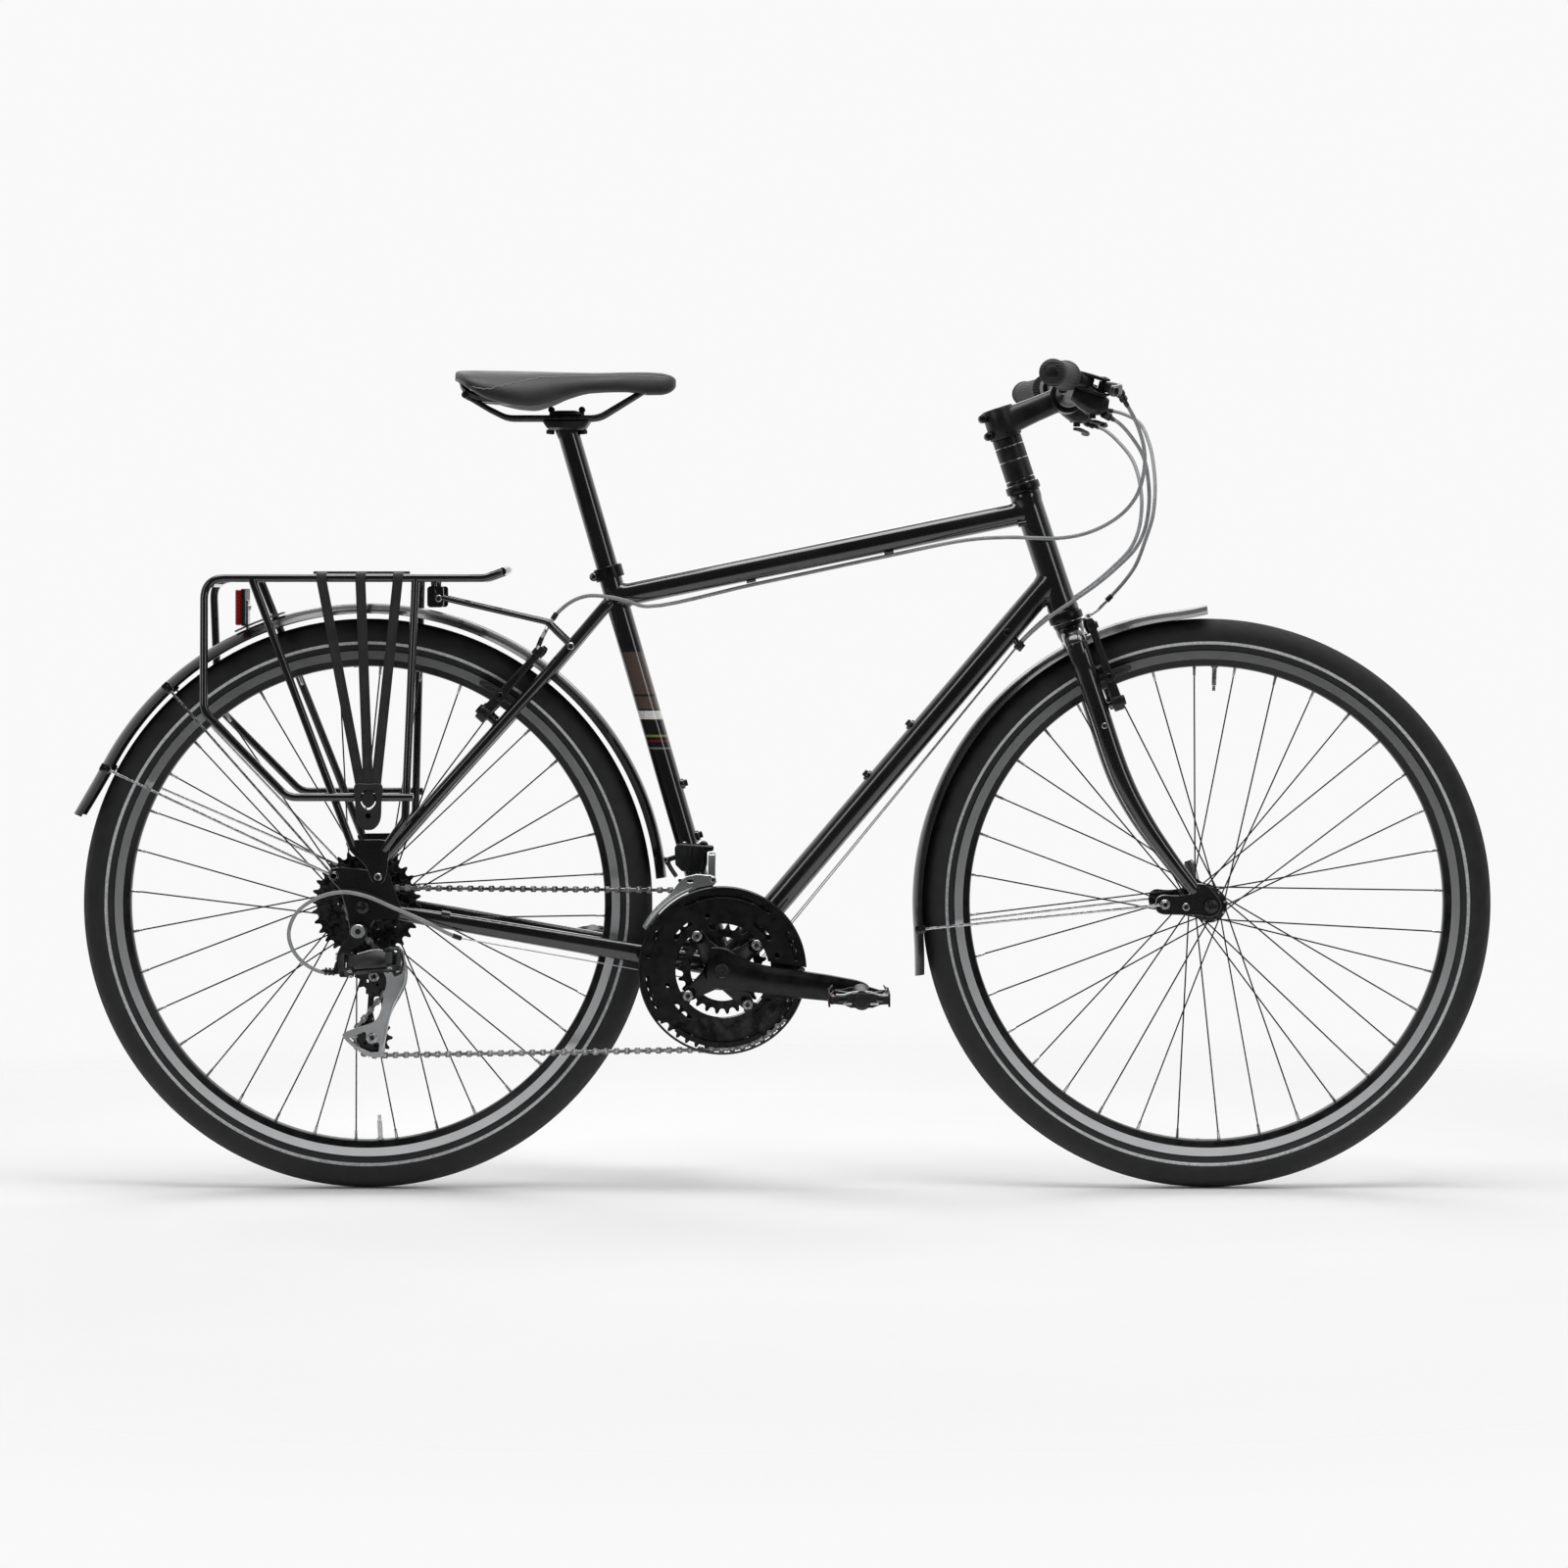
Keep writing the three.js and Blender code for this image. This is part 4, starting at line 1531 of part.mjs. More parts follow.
function releaseLever(centre, inner, thickness, direction) {
  const face = inner + thickness + gap * 3 + axle.nutRadius / 2;
  const head = centre.clone().setY(face + release.headRadius);
  const across = direction.clone().cross(vec(0, 1, 0)).normalize();
  const ends = [-1, 1].map((way) => head.clone().addScaledVector(across, (way * release.headLength) / 2));
  const drum = rod(...ends, release.headRadius, facets.rod);
  const tip = head.clone().addScaledVector(direction, release.length).add(vec(0, release.stand, 0));
  const section = polygon(facets.rail, release.width, release.thickness);
  return join(drum, sweep([head, tip], section, { up: vec(0, 1, 0), scales: handleShares }));
}

const rearLeverAngle = 216.87;
const rearLeverDirection = vec(Math.cos(radians(rearLeverAngle)), 0, Math.sin(radians(rearLeverAngle)));
const frontRelease = releaseLever(frontAxle, frontDropout.inner, frontDropout.thickness, steeringUp);
addPiece('front_release_lever', frontRelease, 'silver');
const rearRelease = releaseLever(rearAxle, dropout.inner, dropout.thickness, rearLeverDirection);
addPiece('rear_release_lever', rearRelease, 'silver');

// Cables: outer casings with the bare wire where the casing stops. Each route lists points along the cable.

const casing = { radius: 2.5, wire: 0.9, sides: 6, tilt: 0.3 };

// A place marked true has only the bare wire; the others have the casing's full width
function cableShape(route) {
  const points = route.map(([x, y, z]) => vec(x, y, z));
  const bareShare = casing.wire / casing.radius;
  const scales = route.map(([, , , bare]) => (bare ? [bareShare, bareShare] : [1, 1]));
  const section = polygon(casing.sides, casing.radius * 2);
  return sweep(points, section, { up: vec(0, 1, casing.tilt).normalize(), scales });
}

const frontBrakeRoute = [
  [921, 150, 966], [944, 142, 960], [963, 130, 948], [974, 110, 920], [978, 90, 888], [978, 75, 858],
  [974, 65, 828], [964, 58, 798], [952, 54, 768], [938, 53, 748], [920, 54, 728], [905, 52, 713],
  [894, 47, 706], [888.3, 38, 702.2, true], [888.3, -37, 702.2, true],
];
const rearBrakeRoute = [
  [921, -158, 966], [934, -142, 946], [944, -122, 926], [951, -98, 902], [951, -76, 877], [944, -58, 852],
  [929, -44, 832], [906, -34, 816], [881, -28, 806], [850, -25, 801], [790, -24, 802], [740, -18, 799],
  [640, -6, 779], [480, -4, 745], [345, -14, 717], [320, -28, 724], [296, -32, 729], [272, -27, 730],
  [252, -22, 723], [232, -24, 706], [222, -30, 690], [216, -44, 677], [213, -42, 670, true], [212, 36, 670, true],
];
const rearShiftRoute = [
  [905, -136, 946], [920, -116, 938], [936, -96, 922], [950, -78, 902], [957, -64, 880], [960, -54, 845],
  [955, -48, 811], [944, -42, 788], [924, -38, 767], [897, -34, 744], [867, -30, 723], [840, -26, 704],
  [815, -14, 682], [800, -10, 666, true], [462, -10, 251, true], [448, -10, 244, true], [430, -12, 245, true],
  [404, -20, 258, true], [330, -32, 272, true], [118, -62, 312, true], [104, -68, 318], [75, -76, 334],
  [35, -82, 352], [5, -85, 365], [-25, -86, 370], [-56, -86, 362], [-80, -86, 344], [-89, -86, 320],
  [-83, -86, 298], [-67, -85, 281], [-46, -84, 272], [-28.4, -83, 273],
];
const frontShiftRoute = [
  [905, 138, 946], [920, 122, 938], [936, 106, 922], [950, 90, 902], [957, 75, 880], [960, 58, 845],
  [955, 48, 811], [944, 42, 788], [924, 38, 767], [897, 34, 744], [867, 30, 723], [840, 26, 704],
  [815, 14, 682], [800, 10, 666, true], [462, 10, 254, true], [440, 9, 249.9, true], [430.5, 7, 251, true],
  [422.5, 5, 255.7, true], [416, 1, 264.8, true], [412, -8, 280, true], [398, -26, 389, true],
];

addPiece('front_brake_cable', cableShape(frontBrakeRoute), 'cable');
addPiece('rear_brake_cable', cableShape(rearBrakeRoute), 'cable');
addPiece('rear_shift_cable', cableShape(rearShiftRoute), 'cable');
addPiece('front_shift_cable', cableShape(frontShiftRoute), 'cable');

export default bicycle;
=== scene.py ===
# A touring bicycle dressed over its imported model. Places are in millimetres until a mesh is made.
import math

import bmesh
import bpy
from mathutils import Matrix, Vector
from mathutils.geometry import tessellate_polygon


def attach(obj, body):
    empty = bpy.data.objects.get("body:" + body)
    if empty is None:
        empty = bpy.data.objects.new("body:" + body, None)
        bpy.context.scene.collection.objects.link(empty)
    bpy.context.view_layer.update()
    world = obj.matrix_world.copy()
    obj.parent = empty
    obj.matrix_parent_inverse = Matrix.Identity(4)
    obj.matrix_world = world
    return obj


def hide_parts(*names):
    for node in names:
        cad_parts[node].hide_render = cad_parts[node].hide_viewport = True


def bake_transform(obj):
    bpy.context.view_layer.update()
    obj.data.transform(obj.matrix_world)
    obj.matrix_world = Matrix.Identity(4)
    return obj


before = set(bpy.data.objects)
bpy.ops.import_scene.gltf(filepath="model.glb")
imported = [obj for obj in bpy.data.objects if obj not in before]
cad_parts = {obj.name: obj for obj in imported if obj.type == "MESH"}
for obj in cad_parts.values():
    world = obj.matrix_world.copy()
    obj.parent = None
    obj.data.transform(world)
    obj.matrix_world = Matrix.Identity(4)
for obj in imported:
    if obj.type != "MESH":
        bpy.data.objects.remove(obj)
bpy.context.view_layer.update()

scene = bpy.context.scene
millimetre = 0.001
sides = (-1, 1)  # the drive side is -1, the bicycle's left is +1


def vec(x, y, z):
    return Vector((x, y, z))


def between(a, b, share):
    return a + (b - a) * share


# Places that the pieces share

rearAxle = vec(0, 0, 351)
frontAxle = vec(1035, 0, 351)
crankAxle = vec(438, 0, 273)
crown = vec(871.6, 0, 673)
headAngle = math.radians(71.7)
steeringUp = vec(-math.cos(headAngle), 0, math.sin(headAngle))
steeringForward = vec(steeringUp.z, 0, -steeringUp.x)
seatTop = vec(295, 0, 766)
seatUp = (seatTop - crankAxle).normalized()


def onSteering(forward, side, up):
    return crown + steeringForward * forward + steeringUp * up + vec(0, side, 0)


def onSeatTube(z):
    return crankAxle + seatUp * ((z - crankAxle.z) / seatUp.z)


def around(centre, radius, degrees, y=0.0):
    angle = math.radians(degrees)
    return vec(centre.x + radius * math.cos(angle), y, centre.z + radius * math.sin(angle))


# Shapes: points and faces gathered before they become one mesh

class Shape:
    def __init__(self):
        self.points, self.faces, self.finishes = [], [], []

    def add(self, points, faces, finish=0):
        first = len(self.points)
        self.points += points
        self.faces += [tuple(first + i for i in face) for face in faces]
        self.finishes += [finish] * len(faces)
        return self

    def take(self, other, matrix=None, finish=None):
        points = [matrix @ p for p in other.points] if matrix else list(other.points)
        kept = list(other.finishes)
        self.add(points, other.faces)
        self.finishes[-len(kept):] = kept if finish is None else [finish] * len(kept)
        return self

    def mirrored(self):
        other = Shape()
        other.add([vec(p.x, -p.y, p.z) for p in self.points], [face[::-1] for face in self.faces])
        other.finishes = list(self.finishes)
        return other

    def skin(self, rings, finish=0, loop=False):
        count = len(rings[0])
        spans = len(rings) if loop else len(rings) - 1
        faces = []
        for i in range(spans):
            near, far = i * count, ((i + 1) % len(rings)) * count
            faces += [(near + j, near + (j + 1) % count, far + (j + 1) % count, far + j)
                      for j in range(count)]
        if not loop:
            last = (len(rings) - 1) * count
            faces += [tuple(range(count))[::-1], tuple(last + j for j in range(count))]
        return self.add([p for ring in rings for p in ring], faces, finish)

    # A tube along a path; radius is one number or a list, flat squeezes it, eased rounds its two ends
    def tube(self, path, radius, corners=20, finish=0, flat=1.0, up=None, eased=0.0, square=0.0):
        radii = list(radius) if isinstance(radius, (list, tuple)) else [radius] * len(path)
        flats = list(flat) if isinstance(flat, (list, tuple)) else [flat] * len(path)
        path = list(path)
        if eased:
            for end, way in ((0, 1), (-1, -1)):
                point, following = path[end], path[end + way]
                along = (following - point).normalized()
                extra = [(point, radii[end] - eased),
                         (point + along * eased * 0.3, radii[end] - eased * 0.3),
                         (point + along * eased, radii[end])]
                if end == 0:
                    path = [e[0] for e in extra] + path[1:]
                    radii = [e[1] for e in extra] + radii[1:]
                    flats = flats[:1] * 2 + flats
                else:
                    extra.reverse()
                    path = path[:-1] + [e[0] for e in extra]
                    radii = radii[:-1] + [e[1] for e in extra]
                    flats = flats + flats[-1:] * 2
        rings = []
        reference = up
        for i, point in enumerate(path):
            along = (path[min(i + 1, len(path) - 1)] - path[max(i - 1, 0)]).normalized()
            if reference is None:
                reference = vec(0, 0, 1) if abs(along.y) > 0.8 else vec(0, 1, 0)
            across = along.cross(reference).normalized()
            reference = across.cross(along).normalized()
            ring = []
            for k in range(corners):
                turn = (k + 0.5) * math.tau / corners
                c, s = math.cos(turn), math.sin(turn)
                power = 2 + square
                swell = (abs(c) ** power + abs(s) ** power) ** (-1 / power) if square else 1.0
                ring.append(point + across * (c * radii[i] * swell)
                            + reference * (s * radii[i] * flats[i] * swell))
            rings.append(ring)
        return self.skin(rings, finish)

    # A turned shape: profile places are (radius, along the axis), closed on itself when ring is true
    def turn(self, profile, centre, axis=None, segments=64, finish=0, ring=False):
        axis = (axis or vec(0, 1, 0)).normalized()
        out = axis.cross(vec(0, 0, 1) if abs(axis.z) < 0.9 else vec(1, 0, 0)).normalized()
        other = axis.cross(out)
        rings = []
        for k in range(segments):
            turn = k * math.tau / segments
            way = out * math.cos(turn) + other * math.sin(turn)
            rings.append([centre + way * radius + axis * along for radius, along in profile])
        count = len(profile)
        faces = []
        for k in range(segments):
            near, far = k * count, ((k + 1) % segments) * count
            for j in range(count if ring else count - 1):
                n = (j + 1) % count
                quad = [near + j, near + n, far + n, far + j]
                faces.append(tuple(quad))
        return self.add([p for r in rings for p in r], faces, finish)

    # A flat plate in side view with rounded edges, from outlines of (x, z)
    def slab(self, outline, low, high, holes=(), edge=0.4, finish=0):
        loops = [list(outline)] + [list(hole) for hole in holes]
        for i, loop in enumerate(loops):
            area = sum(a[0] * b[1] - b[0] * a[1] for a, b in zip(loop, loop[1:] + loop[:1]))
            if (area > 0) != (i == 0):
                loop.reverse()
        inset = []
        for loop in loops:
            moved = []
            for i, (x, z) in enumerate(loop):
                before, after = loop[i - 1], loop[(i + 1) % len(loop)]
                a = Vector((x - before[0], z - before[1])).normalized()
                b = Vector((after[0] - x, after[1] - z)).normalized()
                normal = Vector((-a.y - b.y, a.x + b.x))
                reach = edge / max(normal.length * normal.length / 2, 0.6) if normal.length else 0
                moved.append((x + normal.x * reach, z + normal.y * reach))
            inset.append(moved)
        flat = [p for loop in inset for p in loop]
        full = [p for loop in loops for p in loop]
        count = len(flat)
        levels = [(flat, low), (full, low + edge), (full, high - edge), (flat, high)]
        points = [vec(x, y, z) for level, y in levels for x, z in level]
        faces = []
        for triangle in tessellate_polygon([[vec(x, z, 0) for x, z in loop] for loop in inset]):
            faces += [tuple(triangle), tuple(3 * count + i for i in reversed(triangle))]
        start = 0
        for loop in loops:
            for i in range(len(loop)):
                a, b = start + i, start + (i + 1) % len(loop)
                faces += [(a + k * count, b + k * count, b + (k + 1) * count, a + (k + 1) * count)
                          for k in range(3)]
            start += len(loop)
        return self.add(points, faces, finish)


# A smooth path through a few places
def smooth(places, steps=8, closed=False):
    places = [Vector(p) for p in places]
    count = len(places)
    path = []
    for i in range(count if closed else count - 1):
        if closed:
            a, b, c, d = places[i - 1], places[i], places[(i + 1) % count], places[(i + 2) % count]
        else:
            b, c = places[i], places[i + 1]
            a = places[i - 1] if i else b * 2 - c
            d = places[i + 2] if i + 2 < count else c * 2 - b
        ta = max((b - a).length ** 0.5, 1e-6)
        tb = max((c - b).length ** 0.5, 1e-6)
        tc = max((d - c).length ** 0.5, 1e-6)
        m1 = ((b - a) / ta - (c - a) / (ta + tb) + (c - b) / tb) * tb
        m2 = ((c - b) / tb - (d - b) / (tb + tc) + (d - c) / tc) * tb
        for s in range(steps):
            t = s / steps
            path.append(b * (2 * t**3 - 3 * t**2 + 1) + m1 * (t**3 - 2 * t**2 + t)
                        + c * (3 * t**2 - 2 * t**3) + m2 * (t**3 - t**2))
    if not closed:
        path.append(places[-1])
    return path


def smoothOutline(places, steps=6):
    return [(p.x, p.y) for p in smooth([vec(x, z, 0) for x, z in places], steps, closed=True)]


def roundCorners(places, radius, steps=6):
    path = [places[0]]
    for a, b, c in zip(places, places[1:], places[2:]):
        half = (a - b).angle(c - b) / 2
        reach = min(radius / math.tan(half), (a - b).length / 2, (c - b).length / 2)
        start, end = b + (a - b).normalized() * reach, b + (c - b).normalized() * reach
        path += [start * (1 - t) ** 2 + b * 2 * t * (1 - t) + end * t * t
                 for t in (s / steps for s in range(steps + 1))]
    return path + [places[-1]]


def roundedBox(low, high, corner=3.0, steps=4):
    corners = [(low[0], low[1], 180), (high[0], low[1], 270), (high[0], high[1], 0), (low[0], high[1], 90)]
    outline = []
    for x, z, first in corners:
        cx = x + corner if x == low[0] else x - corner
        cz = z + corner if z == low[1] else z - corner
        outline += [(cx + corner * math.cos(math.radians(first + 90 * s / steps)),
                     cz + corner * math.sin(math.radians(first + 90 * s / steps)))
                    for s in range(steps + 1)]
    return outline


def circle(x, z, radius, count=24, phase=0.0):
    return [(x + radius * math.cos(phase + k * math.tau / count),
             z + radius * math.sin(phase + k * math.tau / count)) for k in range(count)]


def build(name, shape, finishes, body=None, replaces=(), slot=None, sharp=36.0):
    mesh = bpy.data.meshes.new(name)
    mesh.from_pydata([tuple(p * millimetre) for p in shape.points], [], shape.faces)
    mesh.polygons.foreach_set("material_index", shape.finishes)
    mesh.polygons.foreach_set("use_smooth", [True] * len(mesh.polygons))
    work = bmesh.new()
    work.from_mesh(mesh)
    bmesh.ops.recalc_face_normals(work, faces=work.faces)
    work.to_mesh(mesh)
    work.free()
    mesh.set_sharp_from_angle(angle=math.radians(sharp))
    piece = bpy.data.objects.new(name, mesh)
    scene.collection.objects.link(piece)
    for finish in finishes:
        mesh.materials.append(finish.material)
    if replaces:
        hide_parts(*replaces)
    if body:
        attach(piece, body)
    return piece


# Finishes: a socket wrapped so that sums on it add their Math nodes

class Wire:
    def __init__(self, tree, socket):
        self.tree, self.socket = tree, socket

    def maths(self, operation, *values):
        return self.tree.node("ShaderNodeMath", {"operation": operation}, dict(enumerate(values)))

    def __add__(self, other):
        return self.maths("ADD", self, other)

    def __sub__(self, other):
        return self.maths("SUBTRACT", self, other)

    def __rsub__(self, other):
        return self.maths("SUBTRACT", other, self)

    def __mul__(self, other):
        return self.maths("MULTIPLY", self, other)

    def __truediv__(self, other):
        return self.maths("DIVIDE", self, other)

    def __pow__(self, other):
        return self.maths("POWER", self, other)

    __radd__ = __add__
    __rmul__ = __mul__

    def above(self, limit):
        return self.maths("GREATER_THAN", self, limit)

    def below(self, limit):
        return self.maths("LESS_THAN", self, limit)

    def wave(self):
        return self.maths("SINE", self)

    def rising(self, low, high):
        return self.tree.node("ShaderNodeMapRange", {"interpolation_type": "SMOOTHSTEP"},
                              {"Value": self, "From Min": low, "From Max": high})


class Nodes:
    def __init__(self, tree):
        self.tree = tree

    def node(self, kind, settings=None, sockets=None, output=0):
        made = self.tree.nodes.new(kind)
        for key, value in (settings or {}).items():
            if key == "stops":
                while len(made.color_ramp.elements) < len(value):
                    made.color_ramp.elements.new(0.5)
                for element, (place, colour) in zip(made.color_ramp.elements, value):
                    element.position, element.color = place, (*colour, 1)
            else:
                setattr(made, key, value)
        for key, value in (sockets or {}).items():
            self.plug(made.inputs[key], value)
        return Wire(self, made.outputs[output])

    def plug(self, socket, value):
        if isinstance(value, Wire):
            self.tree.links.new(value.socket, socket)
        elif socket.type == "RGBA" and len(value) == 3:
            socket.default_value = (*value, 1)
        else:
            socket.default_value = value

    def place(self, axis=None):
        wire = self.node("ShaderNodeTexCoord", output="Object")
        if axis is None:
            return wire
        return self.node("ShaderNodeSeparateXYZ", sockets={0: wire}, output=axis)

    def noise(self, scale, detail=2.0, stretch=None):
        wire = self.place()
        if stretch:
            wire = self.node("ShaderNodeVectorMath", {"operation": "MULTIPLY"}, {0: wire, 1: stretch})
        return self.node("ShaderNodeTexNoise", sockets={"Vector": wire, "Scale": scale, "Detail": detail})

    def mix(self, share, a, b):
        return self.node("ShaderNodeMix", {"data_type": "RGBA"}, {0: share, 6: a, 7: b}, output=2)


class Finish(Nodes):
    def __init__(self, name, colour, roughness, metallic=0.0, **fixed):
        self.material = bpy.data.materials.new(name)
        self.material.use_nodes = True
        super().__init__(self.material.node_tree)
        self.shader = self.tree.nodes["Principled BSDF"]
        self.give("Base Color", colour)
        self.give("Roughness", roughness)
        self.give("Metallic", metallic)
        for key, value in fixed.items():
            words = "".join(" " + letter if letter.isupper() else letter for letter in key).strip()
            self.give(words.title().replace("Ior", "IOR"), value)

    def give(self, socket, value):
        self.plug(self.shader.inputs[socket], value)

    def bumped(self, height, strength=0.3, distance=0.0005):
        normal = self.node("ShaderNodeBump", None, {"Height": height, "Strength": strength,
                                                    "Distance": distance}, output="Normal")
        self.give("Normal", normal)
        return self

    # Colour and roughness that drift a little, as on any real surface
    def mottled(self, dark, pale, rough, scale=60.0, detail=4.0, stretch=None):
        cloud = self.noise(scale, detail, stretch).rising(0.3, 0.7)
        self.give("Base Color", self.mix(cloud, dark, pale))
        self.give("Roughness", cloud * (rough[1] - rough[0]) + rough[0])
        return self


glossPaint = Finish("gloss_black_paint", (0.006, 0.006, 0.007), 0.2, CoatWeight=1.0, CoatRoughness=0.04)
glossPaint.mottled((0.005, 0.005, 0.006), (0.011, 0.011, 0.012), (0.16, 0.24), 9.0)
glossPaint.bumped(glossPaint.noise(260.0, 1.0), 0.06, 0.0006)

bandedPaint = Finish("banded_black_paint", (0.006, 0.006, 0.007), 0.2, CoatWeight=1.0, CoatRoughness=0.04)


def paintBands(finish, settings):
    height = finish.place("Z")
    cloud = finish.noise(9.0, 4.0).rising(0.3, 0.7)
    colour = finish.mix(cloud, (0.005, 0.005, 0.006), (0.011, 0.011, 0.012))
    for low, high, tone in settings["bands"]:
        colour = finish.mix(height.above(low * millimetre) * height.below(high * millimetre), colour, tone)
    finish.give("Base Color", colour)
    finish.bumped(finish.noise(260.0, 1.0), 0.06, 0.0006)


paintBands(bandedPaint, {"bands": [
    (590.5, 661, (0.105, 0.075, 0.062)), (578, 588.5, (0.82, 0.82, 0.8)), (606, 609, (0.02, 0.018, 0.017)),
    (556, 559, (0.24, 0.21, 0.07)), (550, 552.5, (0.16, 0.012, 0.012)), (541, 543.5, (0.2, 0.2, 0.195)),
]})

satinPlastic = Finish("satin_black_plastic", (0.009, 0.009, 0.0095), 0.4)
satinPlastic.mottled((0.005, 0.005, 0.0055), (0.012, 0.012, 0.0125), (0.33, 0.46), 40.0)
satinPlastic.bumped(satinPlastic.noise(2200.0, 2.0), 0.12, 0.0002)

sheenPlastic = Finish("glossy_mudguard_plastic", (0.012, 0.012, 0.013), 0.24, CoatWeight=0.4,
                      CoatRoughness=0.08)
sheenPlastic.mottled((0.003, 0.003, 0.0035), (0.007, 0.007, 0.0075), (0.2, 0.3), 14.0)
sheenPlastic.bumped(sheenPlastic.noise(320.0, 2.0), 0.08, 0.0005)

tyreRubber = Finish("tyre_rubber", (0.03, 0.03, 0.031), 0.78)
tyreRubber.mottled((0.011, 0.011, 0.012), (0.025, 0.025, 0.026), (0.7, 0.86), 55.0, 6.0)
tyreRubber.bumped(tyreRubber.noise(1500.0, 3.0), 0.3, 0.0003)

reflectiveStripe = Finish("reflective_stripe", (0.5, 0.51, 0.52), 0.35, 0.35)
reflectiveStripe.mottled((0.46, 0.47, 0.48), (0.66, 0.67, 0.68), (0.3, 0.45), 300.0)
reflectiveStripe.bumped(reflectiveStripe.noise(2600.0, 1.0), 0.2, 0.0002)

# Brushing that runs round a wheel's axle: noise read by the radius alone
def brushedRing(name, axle, dark, pale, rough):
    finish = Finish(name, pale, rough[0], 1.0)
    across = finish.node("ShaderNodeVectorMath", {"operation": "SUBTRACT"},
                         {0: finish.place(), 1: tuple(axle * millimetre)})
    flattened = finish.node("ShaderNodeVectorMath", {"operation": "MULTIPLY"}, {0: across, 1: (1, 0, 1)})
    radius = finish.node("ShaderNodeVectorMath", {"operation": "LENGTH"}, {0: flattened}, output="Value")
    lines = finish.node("ShaderNodeTexNoise", {"noise_dimensions": "1D"},
                        {"W": radius * 9000.0, "Scale": 1.0, "Detail": 2.0})
    drift = finish.noise(22.0, 3.0)
    finish.give("Base Color", finish.mix(lines * 0.6 + drift * 0.4, dark, pale))
    finish.give("Roughness", lines * (rough[1] - rough[0]) + rough[0])
    finish.bumped(lines, 0.35, 0.00012)
    return finish


brakeTrack = {
    "front": brushedRing("front_brake_track", frontAxle, (0.56, 0.57, 0.58), (0.84, 0.85, 0.86),
                         (0.26, 0.42)),
    "rear": brushedRing("rear_brake_track", rearAxle, (0.56, 0.57, 0.58), (0.84, 0.85, 0.86), (0.26, 0.42)),
}

anodised = Finish("black_anodised_alloy", (0.01, 0.01, 0.011), 0.32, 0.5)
anodised.mottled((0.006, 0.006, 0.007), (0.014, 0.014, 0.015), (0.27, 0.36), 80.0)
anodised.bumped(anodised.noise(3000.0, 2.0), 0.1, 0.0001)

forged = Finish("forged_charcoal_alloy", (0.045, 0.046, 0.049), 0.38, 0.75)
forged.mottled((0.018, 0.019, 0.02), (0.036, 0.037, 0.039), (0.33, 0.45), 30.0)
forged.bumped(forged.noise(2400.0, 2.0), 0.16, 0.0002)

silver = Finish("satin_silver_alloy", (0.6, 0.61, 0.62), 0.3, 1.0)
silver.mottled((0.5, 0.51, 0.52), (0.64, 0.65, 0.66), (0.28, 0.38), 24.0, 2.0)
silver.bumped(silver.noise(2600.0, 2.0), 0.08, 0.0001)

boltSteel = Finish("bright_bolt_steel", (0.66, 0.66, 0.67), 0.24, 1.0)
boltSteel.mottled((0.5, 0.5, 0.51), (0.76, 0.76, 0.77), (0.2, 0.34), 240.0)

blackBolt = Finish("black_bolt_steel", (0.03, 0.03, 0.032), 0.34, 0.7)
blackBolt.mottled((0.02, 0.02, 0.021), (0.05, 0.05, 0.052), (0.28, 0.42), 260.0)

spokeSteel = Finish("black_spoke_steel", (0.028, 0.028, 0.03), 0.32, 0.8)
spokeSteel.mottled((0.02, 0.02, 0.021), (0.04, 0.04, 0.042), (0.28, 0.4), 120.0)

chainSteel = Finish("oiled_chain_steel", (0.34, 0.33, 0.31), 0.32, 1.0)
chainSteel.mottled((0.16, 0.158, 0.152), (0.5, 0.495, 0.485), (0.24, 0.42), 130.0, 5.0)

darkSteel = Finish("dark_sprocket_steel", (0.05, 0.05, 0.052), 0.4, 0.9)
darkSteel.mottled((0.012, 0.012, 0.013), (0.06, 0.06, 0.062), (0.3, 0.5), 90.0, 5.0)

wireSteel = Finish("bare_wire_steel", (0.55, 0.55, 0.56), 0.32, 1.0)
# Darker and lighter stripes along the twist are painted shade between the strands and painted highlight on
# them.
twistShading = wireSteel.place("X") * 2400.0 + wireSteel.place("Z") * 2400.0 + wireSteel.place("Y") * 2400.0
wireSteel.give("Base Color", wireSteel.mix(twistShading.wave().rising(-1.0, 1.0), (0.36, 0.36, 0.37),
                                           (0.68, 0.68, 0.69)))

casingPlastic = Finish("grey_cable_casing", (0.34, 0.345, 0.355), 0.38)
casingPlastic.mottled((0.3, 0.305, 0.315), (0.38, 0.385, 0.395), (0.32, 0.46), 90.0)
casingPlastic.bumped(casingPlastic.noise(1800.0, 2.0), 0.1, 0.0002)

gripRubber = Finish("grip_rubber", (0.03, 0.03, 0.031), 0.74)
gripRubber.mottled((0.018, 0.018, 0.019), (0.04, 0.04, 0.042), (0.66, 0.82), 70.0, 5.0)
gripAround = gripRubber.place("Z") * 900.0
gripAlong = gripRubber.place("Y") * 900.0
diamonds = (gripAround + gripAlong).wave() * (gripAround - gripAlong).wave()
gripRubber.bumped(diamonds, 0.6, 0.0006)

strapRubber = Finish("strap_rubber", (0.016, 0.016, 0.017), 0.66)
strapRubber.mottled((0.012, 0.012, 0.013), (0.024, 0.024, 0.025), (0.58, 0.76), 60.0, 4.0)
strapRubber.bumped(strapRubber.noise(900.0, 3.0), 0.25, 0.0003)

